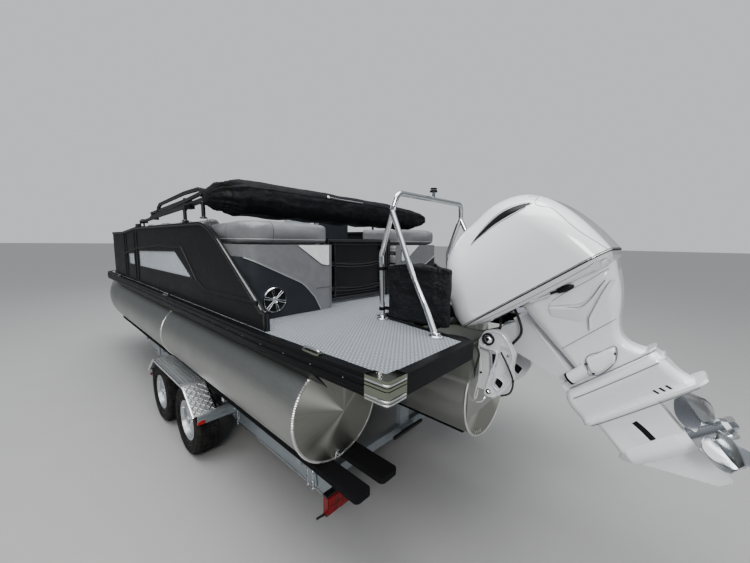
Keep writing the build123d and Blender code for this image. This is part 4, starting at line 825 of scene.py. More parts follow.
class Form:
    """The faces of one piece while it is laid out, in the boat's metres."""

    def __init__(self) -> None:
        """Start with nothing."""
        self.mesh = bmesh.new()

    def skin(self, rings: Sequence[Sequence[Vector]], closed: bool = True, caps: bool = True) -> Form:
        """Join rings of points by faces.

        Args:
            rings: the rings, with as many points each.
            closed: whether each ring comes round.
            caps: whether the first and last rings are filled.

        Returns:
            This form.
        """
        rows = [[self.mesh.verts.new(p) for p in ring] for ring in rings]
        count = len(rows[0])
        for near, far in zip(rows, rows[1:]):
            for i in range(count if closed else count - 1):
                j = (i + 1) % count
                self.mesh.faces.new((near[i], near[j], far[j], far[i]))
        if caps and closed:
            self.mesh.faces.new(rows[0][::-1])
            self.mesh.faces.new(rows[-1])
        return self

    def bar(
        self,
        path: Sequence[Sequence[float]],
        radius: Union[float, Callable[[float], float]],
        sides: int = 10,
        closed: bool = False,
    ) -> Form:
        """Run a round bar along a path.

        Args:
            path: the points along its middle.
            radius: its radius, or a function of how far along it is.
            sides: faces round it.
            closed: whether it comes back to its start.

        Returns:
            This form.
        """
        spots = [Vector(p) for p in path]
        last = len(spots) - 1
        across = (spots[1] - spots[0]).orthogonal().normalized()
        rings = []
        for i, spot in enumerate(spots):
            ahead = spots[(i + 1) % (last + 1)] if closed or i < last else spot
            behind = spots[i - 1] if closed or i else spot
            along = (ahead - behind).normalized()
            across = (across - along * across.dot(along)).normalized()
            over = along.cross(across)
            reach = radius(i / last) if callable(radius) else radius
            turns = (2 * math.pi * k / sides for k in range(sides))
            rings.append([spot + (across * math.cos(a) + over * math.sin(a)) * reach for a in turns])
        return self.skin([*rings, rings[0]] if closed else rings, caps=not closed)

    def turned(self, profile: Sequence[Pair], centre: Vector, axis: Vector, sides: int = 48) -> Form:
        """Turn a profile about an axis.

        Args:
            profile: pairs of a distance along the axis and a radius.
            centre: the axis's start.
            axis: its direction.
            sides: faces round it.

        Returns:
            This form.
        """
        along = axis.normalized()
        across = along.orthogonal().normalized()
        over = along.cross(across)
        rings = []
        for reach, radius in profile:
            turns = (2 * math.pi * k / sides for k in range(sides))
            spin = ((across * math.cos(a) + over * math.sin(a)) * max(radius, 1e-5) for a in turns)
            rings.append([centre + along * reach + step for step in spin])
        return self.skin(rings)

    def slab(self, corners: Sequence[Sequence[float]], push: Sequence[float]) -> Form:
        """Push a flat outline along to make a solid."""
        near = [Vector(c) for c in corners]
        return self.skin([near, [c + Vector(push) for c in near]])

    def block(self, x: Pair, y: Pair, z: Pair) -> Form:
        """Lay down a box between distances along each axis."""
        corners = [(x[0], y[0], z[0]), (x[1], y[0], z[0]), (x[1], y[1], z[0]), (x[0], y[1], z[0])]
        return self.slab(corners, (0, 0, z[1] - z[0]))

    def piece(self, name: str, finish: str, body: str = "hull", soften: float = 0.0) -> bpy.types.Object:
        """Make the piece.

        Args:
            name: its name.
            finish: the name of its finish.
            body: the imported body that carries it.
            soften: the width of its bevels.

        Returns:
            The finished object.
        """
        bmesh.ops.remove_doubles(self.mesh, verts=self.mesh.verts, dist=2e-6)
        bmesh.ops.recalc_face_normals(self.mesh, faces=self.mesh.faces)
        data = bpy.data.meshes.new(name)
        self.mesh.to_mesh(data)
        self.mesh.free()
        made = bpy.data.objects.new(name, data)
        bpy.context.scene.collection.objects.link(made)
        if soften:
            bevel = made.modifiers.new("soften", "BEVEL")
            bevel.width, bevel.segments, bevel.limit_method = soften, 2, "ANGLE"
        return settle(made, finish, body)


def settle(made: bpy.types.Object, finish: str, body: str, sharp: float = 38.0) -> bpy.types.Object:
    """Dress a mesh object and hang it on its body.

    Args:
        made: the object.
        finish: the name of its finish.
        body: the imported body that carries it.
        sharp: the angle past which an edge stays sharp, in degrees.

    Returns:
        The same object.
    """
    made.data.materials.clear()
    made.data.materials.append(FINISHES[finish].material())
    made.data.shade_smooth()
    made.data.set_sharp_from_angle(angle=math.radians(sharp))
    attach(made, body)
    FINISHES[finish].slot or finish
    LOG.info("made %s on %s", made.name, body)
    return made


class Small(Enum):
    """The small shapes that repeats are made of."""

    HEAD = "GeometryNodeMeshCylinder"
    BLOCK = "GeometryNodeMeshCube"
    DOME = "GeometryNodeMeshUVSphere"


@dataclass(frozen=True)
class Spot:
    """Where one repeated shape goes: its place, the way it faces and the way it runs."""

    place: Vector
    facing: Vector
    along: Vector


@dataclass
class Repeat:
    """One small shape set at every spot by a Geometry Nodes tree, made one mesh for a body."""

    name: str
    finish: str
    size: Point
    shape: Small = Small.HEAD
    sides: int = 8

    def _primitive(self, g: Graph, scale: Sock) -> Sock:
        """Lay down the shape at unit size, scaled by the tree's input."""
        if self.shape is Small.HEAD:
            unit = g.node(self.shape.value, inputs={"Vertices": self.sides, "Radius": 0.5, "Depth": 1.0})
        elif self.shape is Small.DOME:
            unit = g.node(self.shape.value, inputs={"Segments": self.sides, "Rings": 4, "Radius": 0.5})
        else:
            unit = g.node(self.shape.value, inputs={"Size": (1.0, 1.0, 1.0)})
        return g.node("GeometryNodeTransform", inputs={"Geometry": unit, "Scale": scale})

    def tree(self) -> bpy.types.NodeTree:
        """Write the tree.

        Returns:
            The geometry tree, whose inputs are the spots and the shape's size.
        """
        tree = bpy.data.node_groups.new(self.name, "GeometryNodeTree")
        tree.interface.new_socket("Spots", in_out="INPUT", socket_type="NodeSocketGeometry")
        tree.interface.new_socket("Size", in_out="INPUT", socket_type="NodeSocketVector")
        tree.interface.new_socket("Pieces", in_out="OUTPUT", socket_type="NodeSocketGeometry")
        g = Graph(tree)
        spots = g.node("NodeGroupInput")
        size = Sock(g, spots.socket.node.outputs["Size"])
        facing, along = (
            g.node("GeometryNodeInputNamedAttribute", {"data_type": "FLOAT_VECTOR"}, {"Name": word})
            for word in ("facing", "along")
        )
        turn = g.node(
            "FunctionNodeAxesToRotation", {"primary_axis": "Z", "secondary_axis": "X"}, {0: facing, 1: along}
        )
        inputs = {"Points": spots, "Instance": self._primitive(g, size), "Rotation": turn}
        placed = g.node("GeometryNodeInstanceOnPoints", inputs=inputs)
        real = g.node("GeometryNodeRealizeInstances", inputs={0: placed})
        inputs = {"Geometry": real, "Material": FINISHES[self.finish].material()}
        g.node("NodeGroupOutput", inputs={0: g.node("GeometryNodeSetMaterial", inputs=inputs)})
        return tree

    def lay(self, spots: Sequence[Spot], body: str = "hull") -> bpy.types.Object:
        """Set the shape at every spot.

        Args:
            spots: where each one goes.
            body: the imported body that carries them.

        Returns:
            One mesh with all of them.
        """
        seeds = bpy.data.meshes.new(self.name + "_spots")
        seeds.from_pydata([s.place for s in spots], [], [])
        for word in ("facing", "along"):
            values = [x for s in spots for x in getattr(s, word).normalized()]
            seeds.attributes.new(word, "FLOAT_VECTOR", "POINT").data.foreach_set("vector", values)
        holder = bpy.data.objects.new(self.name + "_holder", seeds)
        bpy.context.scene.collection.objects.link(holder)
        tree = self.tree()
        grow = holder.modifiers.new("repeat", "NODES")
        grow.node_group = tree
        ports = {i.name: i.identifier for i in tree.interface.items_tree if i.in_out == "INPUT"}
        grow[ports["Size"]] = self.size
        bpy.context.view_layer.update()
        ready = holder.evaluated_get(bpy.context.evaluated_depsgraph_get())
        mesh = bpy.data.meshes.new_from_object(ready)
        holder.modifiers.clear()
        bpy.data.objects.remove(holder)
        mesh.name = self.name
        made = bpy.data.objects.new(self.name, mesh)
        bpy.context.scene.collection.objects.link(made)
        return settle(made, self.finish, body)


def ring_spots(
    centre: Vector, axis: Vector, radius: float, count: int, away: bool = True, turn: float = 0.0
) -> list[Spot]:
    """Space spots evenly round a circle.

    Args:
        centre: the circle's middle.
        axis: the way it faces.
        radius: its radius.
        count: how many spots.
        away: whether each faces away from the middle, or else along the axis.
        turn: where the first one is, in radians.

    Returns:
        The spots, each running round the circle.
    """
    along = axis.normalized()
    across = along.orthogonal().normalized()
    over = along.cross(across)
    spots = []
    for k in range(count):
        angle = turn + 2 * math.pi * k / count
        out = across * math.cos(angle) + over * math.sin(angle)
        spots.append(Spot(centre + out * radius, out if away else along, along.cross(out)))
    return spots


@dataclass
class Outboard:
    """The engine's shaped details, laid on its packed skins.

    Outlines are pairs of x and z in the upright engine, forward and up from the tilt pin.
    """

    nodes: dict[str, bpy.types.Object]
    pin: Pair = (0.037, 1.466)
    tilt: float = math.radians(42)
    middle: float = -0.36
    seam_height: float = 0.1405
    seam_slope: float = 0.1192
    intake: tuple[Pairs, Pairs] = (
        ((-0.318, 0.530), (-0.344, 0.541), (-0.410, 0.556), (-0.483, 0.567), (-0.545, 0.566), (-0.612, 0.553),
         (-0.677, 0.525), (-0.722, 0.488)),
        ((-0.318, 0.527), (-0.344, 0.531), (-0.416, 0.528), (-0.479, 0.523), (-0.547, 0.510), (-0.595, 0.498),
         (-0.653, 0.484), (-0.716, 0.476)),
    )
    cap_split: Pairs = (
        (-0.728, 0.540), (-0.763, 0.505), (-0.741, 0.476), (-0.745, 0.44), (-0.784, 0.374), (-0.802, 0.214),
        (-0.825, 0.1), (-0.836, 0.045),
    )
    pan_line: Pairs = ((-0.03, 0.118), (-0.25, 0.083), (-0.5, 0.05), (-0.7, 0.03), (-0.8, 0.02))
    leg_line: Path = ((-0.300, -0.262, 0), (-0.640, -0.258, 0))
    latch_recess: tuple[Pairs, Pairs] = (
        ((-0.725, 0.005), (-0.758, 0.008), (-0.771, 0.022), (-0.805, 0.025)),
        ((-0.719, -0.013), (-0.745, -0.015), (-0.770, -0.016), (-0.795, -0.015)),
    )
    latch_handle: tuple[Pairs, Pairs] = (
        ((-0.730, 0.003), (-0.760, 0.006), (-0.774, 0.018), (-0.802, 0.021)),
        ((-0.724, -0.010), (-0.748, -0.012), (-0.772, -0.013), (-0.793, -0.012)),
    )
    panel_top: Pairs = (
        (-0.453, -0.012), (-0.554, -0.014), (-0.671, -0.024), (-0.739, -0.024), (-0.770, -0.028),
    )
    panel_ridge: Pairs = (
        (-0.423, -0.024), (-0.497, -0.077), (-0.545, -0.110), (-0.620, -0.098), (-0.720, -0.058),
    )
    panel_foot: Pairs = (
        (-0.384, -0.090), (-0.439, -0.152), (-0.490, -0.198), (-0.575, -0.156), (-0.714, -0.073),
    )
    fin_inner: Pairs = (
        (-0.717, -0.063), (-0.650, -0.093), (-0.568, -0.141), (-0.533, -0.171), (-0.505, -0.215),
    )
    fin_edge: Pairs = (
        (-0.738, -0.071), (-0.658, -0.111), (-0.546, -0.173), (-0.524, -0.191), (-0.490, -0.240),
    )
    fin_outer: Pairs = (
        (-0.756, -0.092), (-0.675, -0.146), (-0.566, -0.204), (-0.530, -0.230), (-0.494, -0.252),
    )
    mount_cover: tuple[Pairs, Pairs] = (
        ((-0.376, -0.363), (-0.420, -0.366), (-0.475, -0.371), (-0.531, -0.377)),
        ((-0.348, -0.455), (-0.385, -0.470), (-0.430, -0.458), (-0.482, -0.442)),
    )
    cover_rim: Pairs = (
        (-0.376, -0.363), (-0.46, -0.369), (-0.531, -0.377), (-0.482, -0.442), (-0.385, -0.470),
        (-0.340, -0.440),
    )
    leg_bolts: Pairs = ((-0.505, -0.405), (-0.352, -0.392), (-0.352, -0.450))
    vent: Pair = (-0.520, -0.650)
    vent_pitch: float = 0.030
    water_intake: tuple[Pairs, Pairs] = (
        ((-0.322, -0.757), (-0.332, -0.80), (-0.340, -0.862)),
        ((-0.360, -0.752), (-0.372, -0.80), (-0.380, -0.860)),
    )
    ridges: tuple[tuple[float, float, float, float], ...] = (
        (-0.472, 0.0975, -0.19, -0.640),
        (-0.526, 0.1115, -0.17, -0.640),
        (-0.687, 0.1155, -0.16, -0.700),
    )
    lever: Path = (
        (-0.30, 0.195, 0.062), (-0.392, 0.200, 0.047), (-0.48, 0.200, 0.024), (-0.569, 0.190, -0.001),
    )
    lever_pivot: Point = (-0.30, 0.19, 0.062)
    grip: tuple[Point, Point] = ((-0.548, 0.193, 0.006), (-0.455, 0.200, 0.030))
    handle: Pairs = (
        (-0.040, 0.006), (-0.030, 0.0150), (0.0, 0.0185), (0.030, 0.0165), (0.046, 0.0100),
        (0.052, 0.004),
    )
    sleeve: Point = (-0.430, 0.201, 0.036)
    sleeve_tube: Pairs = ((-0.075, 0.010), (-0.070, 0.0145), (0.045, 0.0155), (0.050, 0.011))
    hoses: tuple[Path, ...] = (
        ((-0.215, 0.075, 0.115), (-0.20, 0.085, 0.02), (-0.16, 0.10, -0.07), (-0.07, 0.112, -0.10),
         (0.0, 0.118, -0.115)),
        ((-0.245, -0.06, 0.11), (-0.22, -0.075, 0.0), (-0.15, -0.10, -0.08), (-0.06, -0.112, -0.11),
         (0.0, -0.116, -0.12)),
        ((-0.10, 0.03, 0.135), (-0.075, 0.045, 0.07), (-0.045, 0.055, 0.03), (-0.02, 0.06, 0.02)),
    )
    shaft: float = -0.910
    hub_reach: float = 0.588
    blade_root: float = 0.046
    blade_length: float = 0.147
    blade_wall: float = 0.0045

    def __post_init__(self) -> None:
        """Gather the skins that the trim lies on."""
        self.upper = Skin(self.nodes["engine_cowl"], self.nodes["engine_pan"])
        self.lower = Skin(self.nodes["engine_leg"], self.nodes["engine_pan"])

    def turned(self, x: float, y: float, z: float) -> Vector:
        """Carry a point from the upright engine to the tilted one."""
        c, s = math.cos(self.tilt), math.sin(self.tilt)
        return at(self.pin[0] + c * x + s * z, y, self.pin[1] - s * x + c * z)

    def laid(self, skin: Skin, points: Sequence[Pair], side: int, lift: float = 0.0) -> list[Vector]:
        """Press points drawn from the side on to a skin.

        Args:
            skin: what they are pressed on.
            points: pairs of x and z in the upright engine.
            side: 1 for port, -1 for starboard.
            lift: how far they stand off the skin.

        Returns:
            The places on the skin.
        """
        return [skin.drop(self.turned(x, side * 0.6, z), outward(-side), lift) for x, z in points]

    def cord(
        self, form: Form, skin: Skin, points: Sequence[Pair], side: int, lift: float, radius: float,
        steps: int = 8, closed: bool = False,
    ) -> None:
        """Lay a thin cord on a skin, along a smooth drawn line.

        Args:
            form: what takes the faces.
            skin: what the cord lies on.
            points: the line, x and z.
            side: 1 for port, -1 for starboard.
            lift: how far the cord's middle stands off the skin.
            radius: the cord's radius.
            steps: pieces between two points.
            closed: whether the line comes back to its start.
        """
        form.bar(self.laid(skin, drawn(points, steps, closed), side, lift), radius, 6, closed)

    def patch(
        self, form: Form, skin: Skin, edges: tuple[Sequence[Pair], Sequence[Pair]], side: int, lift: float,
        crown: float = 0.0, lean: float = 0.0,
    ) -> None:
        """Fill the space between two lines on a skin with a raised or sunk panel.

        Args:
            form: what takes the faces.
            skin: what they lie on.
            edges: the panel's top edge and its bottom one, x and z, running the same way.
            side: 1 for port, -1 for starboard.
            lift: how far its face stands off the skin.
            crown: how much further its middle stands off.
            lean: how much further its bottom edge stands off than its top one.
        """
        sunk, across = -0.004, 6
        top, low = (smooth([(x, z, 0) for x, z in edge], 8) for edge in edges)
        count = min(len(top), len(low))
        rows = []
        for i in range(count):
            a = top[round(i * (len(top) - 1) / (count - 1))]
            b = low[round(i * (len(low) - 1) / (count - 1))]
            row = []
            for k in range(across + 1):
                t = k / across
                spot = a.lerp(b, t)
                rise = sunk if k in (0, across) else lift + crown * math.sin(math.pi * t) + lean * t
                row.append(self.laid(skin, [(spot.x, spot.y)], side, rise)[0])
            rows.append(row)
        form.skin(rows, closed=False)

    def crescents(self) -> None:
        """The black glossy intake on each side of the cowl, with its thin rim and tail line."""
        for side, word in zip(SIDES, ("port", "starboard")):
            black, rim = Form(), Form()
            self.patch(black, self.upper, self.intake, side, 0.0016)
            black.piece(f"cowl_intake_{word}", "gloss_black", "engine")
            top, low = self.intake
            self.cord(rim, self.upper, (*top, *low[::-1]), side, 0.0008, 0.0028, 5, True)
            rim.piece(f"cowl_intake_rim_{word}", "engine_trim", "engine")

    def around(self, height: Callable[[float], float], skin: Skin, reach: float = 0.75) -> list[Vector]:
        """Run a line all round the engine on a sloping plane.

        Args:
            height: the plane's height at each x.
            skin: what the line lies on.
            reach: how far out the search starts.

        Returns:
            The closed line's points.
        """
        count = 160
        goal = self.turned(self.middle, 0, height(self.middle))
        line = []
        for k in range(count):
            turn = 2 * math.pi * k / count
            c, s = math.cos(turn), math.sin(turn)
            x = self.middle + reach * c
            start = self.turned(x, reach * s, height(x))
            line.append(skin.drop(start, (goal - start).normalized(), 0.0))
        return line

    def seams(self) -> None:
        """The dark stepped seam under the cowl, the cap's split line, and painted shade lines along the pan's
        lower edge and across the leg.
        """
        dark, lines, lower = Form(), Form(), Form()
        for rise, radius, sides in ((0.0, 0.0048, 8), (0.007, 0.0022, 6)):
            line = self.around(lambda x: self.seam_height + rise + self.seam_slope * x, self.upper)
            dark.bar(line, radius, sides, True)
        dark.piece("cowl_seam", "seam_black", "engine")
        for side in SIDES:
            self.cord(lines, self.upper, self.cap_split, side, -0.0002, 0.0016)
            self.cord(lower, self.upper, self.pan_line, side, 0.0, 0.002)
            run = [(p.x, p.y) for p in straight(self.leg_line, 0.02)]
            lower.bar(self.laid(self.lower, run, side), 0.0022, 6)
        lines.piece("cowl_split_line", "seam_black", "engine")
        lower.piece("engine_lower_lines", "engine_shadow", "engine")

    def latches(self) -> None:
        """The latch on each side, under the seam at the back, in a dark patch of painted shade for its
        recess.
        """
        recess, handle = Form(), Form()
        for side in SIDES:
            # painted shade: a dark patch round each latch stands for the shade in its recess
            self.patch(recess, self.upper, self.latch_recess, side, 0.0006)
            self.patch(handle, self.upper, self.latch_handle, side, 0.0045, 0.002)
        recess.piece("cowl_latch_recess", "seam_black", "engine")
        handle.piece("cowl_latch", "engine_white", "engine")

    def relief(self) -> None:
        """The upper leg's dished panel with its ridge, the crisp fin behind it and the mount's cover, with
        painted shade lines along the ridge, the fin's edge, the panel's top and the cover's rim.
        """
        panel, crease = Form(), Form()
        for side in SIDES:
            for upper, lower, lift, crown, lean in (
                (self.panel_top, self.panel_ridge, -0.001, -0.004, 0.021),
                (self.panel_ridge, self.panel_foot, 0.020, 0.0, -0.021),
                (self.fin_inner, self.fin_edge, -0.001, 0.0, 0.015),
                (self.fin_edge, self.fin_outer, 0.014, 0.0, -0.015),
                (*self.mount_cover, 0.010, 0.010, 0.0),
            ):
                self.patch(panel, self.lower, (upper, lower), side, lift, crown, lean)
        panel.piece("leg_relief", "engine_white", "engine")
        # painted shade: grey cords along the ridge, the fin's edge, the panel's top and the cover's rim
        for side in SIDES:
            runs = ((self.panel_ridge[1:], 0.0195), (self.fin_edge, 0.0140), (self.panel_top, 0.0006))
            for run, lift in runs:
                self.cord(crease, self.lower, run, side, lift, 0.0018)
            self.cord(crease, self.lower, self.cover_rim, side, 0.0085, 0.0028, 6, True)
        crease.piece("leg_creases", "engine_shadow", "engine")

    def vents(self, form: Form, side: int) -> None:
        """Lay dark patches of painted shade in the three slanted vents of one side."""
        high, lean, wide = 0.017, 0.013, 0.011
        for k in range(3):
            x, z = self.vent[0] - self.vent_pitch * k, self.vent[1]
            top = [(x, z + high), (x - wide, z + high)]
            foot = [(x - lean, z - high), (x - lean - wide, z - high)]
            # painted shade: a dark patch in each vent's opening
            self.patch(form, self.lower, (top, foot), side, 0.0012)

    def plates(self) -> None:
        """The mount cylinders' dark rings, the cover plates' bolts, dark patches of painted shade in the
        vents and the water intakes, and painted shadow lines under the ridges.
        """
        dark, rings, under = Form(), Form(), Form()
        ring = ((-0.004, 0.030), (-0.004, 0.0365), (0.008, 0.0365), (0.008, 0.030))
        bolt = ((0, 0.0085), (0.006, 0.0085), (0.0075, 0.006))
        way = (self.turned(-0.340, 0, -0.416) - self.turned(-0.225, 0, -0.424)).normalized()
        for side in SIDES:
            rings.turned(ring, self.turned(-0.222, side * 0.088, -0.424), way, 32)
            for x, z in self.leg_bolts:
                dark.turned(bolt, self.turned(x, side * 0.0915, z), outward(side), 6)
            self.vents(dark, side)
            # painted shade: a dark patch over each water intake's opening, under the slats
            self.patch(dark, self.lower, self.water_intake, side, 0.0014)
        dark.piece("leg_bolts_and_slots", "seam_black", "engine")
        for side in SIDES:
            for z, half, front, back in self.ridges:
                run = [(front, half * 0.86), (front - 0.10, half), (back + 0.10, half), (back, half * 0.90)]
                under.bar(smooth([self.turned(x, side * y, z) for x, y in run], 6), 0.0030, 6)
        under.piece("ridge_shadows", "engine_shadow", "engine")
        rings.piece("mount_rings", "seam_black", "engine")

    def slats(self) -> None:
        """The slats over the water intakes."""
        back = self.turned(-1, 0, 0) - self.turned(0, 0, 0)
        slats = []
        for side in SIDES:
            for k in range(7):
                spot = self.laid(self.lower, [(-0.300 - 0.0022 * k, -0.760 - 0.016 * k)], side, 0.001)[0]
                slats.append(Spot(spot, outward(side), back))
        Repeat("intake_slats", "engine_white", (0.05, 0.005, 0.006), Small.BLOCK).lay(slats, "engine")

    def rigging(self) -> None:
        """The black lever with its grip and bright sleeve, and the hoses down to the bracket."""
        lever, sleeve, hoses = Form(), Form(), Form()
        lever.bar(smooth([self.turned(*p) for p in self.lever], 6), 0.0065, 10)
        lever.turned(((-0.012, 0.012), (0.012, 0.012)), self.turned(*self.lever_pivot), PORT, 16)
        grip, start = (self.turned(*p) for p in self.grip)
        way = (grip - start).normalized()
        lever.turned(self.handle, grip, way, 20)
        lever.piece("tilt_lever", "gloss_black", "engine")
        sleeve.turned(self.sleeve_tube, self.turned(*self.sleeve), way, 18)
        sleeve.piece("lever_sleeve", "chrome", "engine")
        for run in self.hoses:
            hoses.bar(smooth([self.turned(*p) for p in run], 10), 0.0085, 10)
        hoses.piece("engine_hoses", "rubber", "swivel")

    def chord(self, t: float) -> float:
        """Give a blade's width at a share of its length: broad in the middle, rounded at the tip."""
        tip = 1.0 if t < 0.75 else math.sqrt(max(0.0, 1 - ((t - 0.75) / 0.27) ** 2))
        return (0.105 + 0.075 * math.sin(math.pi * min(t * 1.05, 1.0))) * tip

    def blades(self) -> None:
        """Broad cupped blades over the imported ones, and the bright nut on the hub."""
        hub = self.turned(0, 0, self.shaft)
        along = (self.turned(-1, 0, self.shaft) - hub).normalized()
        up = (self.turned(0, 0, 0) - self.turned(0, 0, -1)).normalized()
        form = Form()
        for k in range(3):
            spin = Matrix.Rotation(math.radians(120 * k), 3, along)
            out, over = spin @ up, spin @ along.cross(up)
            rows = []
            for t in (i / 8 for i in range(9)):
                radius = self.blade_root + self.blade_length * t
                chord = self.chord(t)
                twist = math.radians(52 - 26 * t)
                row = []
                for across in (j / 8 for j in range(9)):
                    cup = 0.010 * (2 * across - 1) ** 2
                    run = chord * (across - 0.5 + 0.10 * t)
                    back = self.hub_reach + run * math.cos(twist) + cup
                    row.append(hub + along * back + out * radius + over * run * math.sin(twist))
                rows.append(row)
            thick = [[p + along * self.blade_wall for p in row] for row in rows]
            form.skin([near + far[::-1] for near, far in zip(rows, thick)])
        form.turned(((0.672, 0.018), (0.690, 0.017), (0.696, 0.008)), hub, along, 6)
        form.piece("propeller_blades", "propeller_steel", "propeller")

    def build(self) -> None:
        """Make every detail of the engine."""
        self.crescents()
        self.seams()
        self.latches()
        self.relief()
        self.plates()
        self.slats()
        self.rigging()
        self.blades()


@dataclass(frozen=True)
class Seam:
    """A sewn channel across a cushion: the plane that it lies in, and the box of places it holds for."""

    axis: int
    where: float
    low: Point = (-9.0, -9.0, -9.0)
    high: Point = (9.0, 9.0, 9.0)

    def boxed(self, place: Vector) -> bool:
        """Tell whether a place lies in the box."""
        return all(a <= c <= b for a, c, b in zip(self.low, place, self.high))

    def holds(self, place: Vector, reach: float) -> bool:
        """Tell whether a place lies in the channel."""
        return self.boxed(place) and abs(place[self.axis] - self.where) < reach

    def within(self, line: Sequence[Vector]) -> list[list[Vector]]:
        """Give the runs of a line that lie in the box, without those of three points or fewer."""
        runs: list[list[Vector]] = [[]]
        for spot in line:
            if self.boxed(spot):
                runs[-1].append(spot)
            else:
                runs.append([])
        return [run for run in runs if len(run) > 3]

    def mirrored(self) -> Seam:
        """Give the same channel on the other side of the boat."""
        where = -self.where if self.axis == 1 else self.where
        low = (self.low[0], -self.high[1], self.low[2])
        high = (self.high[0], -self.low[1], self.high[2])
        return Seam(self.axis, where, low, high)


@dataclass
class Upholstery:
    """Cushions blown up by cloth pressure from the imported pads, with their channels, piping and stitches.

    A flat low pad is a seat and gets cords at both edges, another flat one is a bolster and gets one cord.
    """

    nodes: dict[str, bpy.types.Object]
    voxel: float = 0.021
    inset: float = 0.007
    swell: float = 0.006
    frames: int = 16
    pressure: float = 4.0
    stretch: float = 18.0
    bend: float = 0.4
    held: float = 0.15
    seat_depth: float = 0.16
    seat_height: float = 2.0
    bolster_depth: float = 0.2
    stitching: float = 0.0016
    piping: float = 0.0034

    def islands(self, node: str) -> list[bpy.types.Object]:
        """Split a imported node's pads into objects of their own.

        Args:
            node: the node's name.

        Returns:
            One object for each closed solid.
        """
        whole = bmesh.new()
        whole.from_mesh(self.nodes[node].data)
        bmesh.ops.remove_doubles(whole, verts=whole.verts, dist=1e-5)
        left = set(whole.verts)
        parts = []
        while left:
            group = {left.pop()}
            edge = set(group)
            while edge:
                near = {e.other_vert(v) for v in edge for e in v.link_edges}
                edge = near - group
                group |= near
            left -= group
            order = {v: i for i, v in enumerate(group)}
            faces = {f for v in group for f in v.link_faces}
            data = bpy.data.meshes.new(node)
            data.from_pydata([v.co for v in order], [], [[order[v] for v in f.verts] for f in faces])
            parts.append(data)
        whole.free()
        parts.sort(key=self.middle)
        made = []
        for k, data in enumerate(parts):
            piece = bpy.data.objects.new(f"{node}_{k}", data)
            bpy.context.scene.collection.objects.link(piece)
            made.append(piece)
        return made

    @staticmethod
    def middle(data: bpy.types.Mesh) -> tuple[float, ...]:
        """Give a mesh's middle to the nearest centimetre, to sort the pads by."""
        count = len(data.vertices)
        return tuple(round(sum(v.co[k] for v in data.vertices) / count, 2) for k in range(3))

    @staticmethod
    def freeze(piece: bpy.types.Object) -> None:
        """Make a piece's modifiers part of its mesh."""
        ready = piece.evaluated_get(bpy.context.evaluated_depsgraph_get())
        mesh = bpy.data.meshes.new_from_object(ready)
        piece.modifiers.clear()
        piece.data = mesh

    def prepare(self, piece: bpy.types.Object, seams: Sequence[Seam], voxel: float) -> None:
        """Give a pad an even mesh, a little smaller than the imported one, and hold its channels.

        Args:
            piece: the pad.
            seams: the channels across it.
            voxel: the size of its faces.
        """
        for tag, pick in (("low", min), ("high", max)):
            piece[tag] = [pick(v.co[k] for v in piece.data.vertices) for k in range(3)]
        even = piece.modifiers.new("even", "REMESH")
        even.mode, even.voxel_size = "VOXEL", voxel
        self.freeze(piece)
        data = piece.data
        normals = [v.normal.copy() for v in data.vertices]
        for vertex, normal in zip(data.vertices, normals):
            vertex.co -= normal * self.inset
        held = [v.index for v in data.vertices if any(s.holds(v.co, voxel * 0.7) for s in seams)]
        group = piece.vertex_groups.new(name="held")
        group.add(held, self.held, "REPLACE")

    def fit(self, piece: bpy.types.Object) -> None:
        """Bring a blown pad back to the length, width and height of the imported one."""
        spots = [v.co for v in piece.data.vertices]
        for k in range(3):
            low, high = min(s[k] for s in spots), max(s[k] for s in spots)
            scale = (piece["high"][k] - piece["low"][k]) / (high - low)
            for spot in spots:
                spot[k] = piece["low"][k] + (spot[k] - low) * scale
        del piece["low"], piece["high"]

    def blow(self, pieces: Sequence[bpy.types.Object]) -> None:
        """Blow the pads up against their own cloth.

        Args:
            pieces: the prepared pads.
        """
        rest = [[v.co.copy() for v in p.data.vertices] for p in pieces]
        most = self.inset + self.swell
        for piece in pieces:
            cloth = piece.modifiers.new("cloth", "CLOTH")
            rules = cloth.settings
            rules.quality = 4
            rules.mass = 0.25
            rules.use_pressure = True
            rules.uniform_pressure_force = self.pressure
            rules.tension_stiffness = rules.compression_stiffness = self.stretch
            rules.bending_stiffness = self.bend
            rules.effector_weights.gravity = 0.0
            rules.vertex_group_mass = "held"
            cloth.collision_settings.use_collision = False
            cloth.point_cache.frame_end = self.frames
        scene = bpy.context.scene
        for frame in range(1, self.frames + 1):
            scene.frame_set(frame)
        for piece, places in zip(pieces, rest):
            self.freeze(piece)
            for vertex, place in zip(piece.data.vertices, places):
                move = vertex.co - place
                if move.length > most:
                    vertex.co = place + move * (most / move.length)
        scene.frame_set(1)

    @staticmethod
    def chains(near: dict[int, list[int]]) -> Iterable[list[int]]:
        """Follow edges from point to point.

        Args:
            near: the points that each point is joined to, which is used up.

        Yields:
            The points of one line in order.
        """
        while near:
            start = next((k for k, n in near.items() if len(n) == 1), next(iter(near)))
            line = [start]
            while near.get(line[-1]):
                after = near[line[-1]].pop()
                near[after].remove(line[-1])
                line.append(after)
            for spot in line:
                if not near.get(spot):
                    near.pop(spot, None)
            yield line

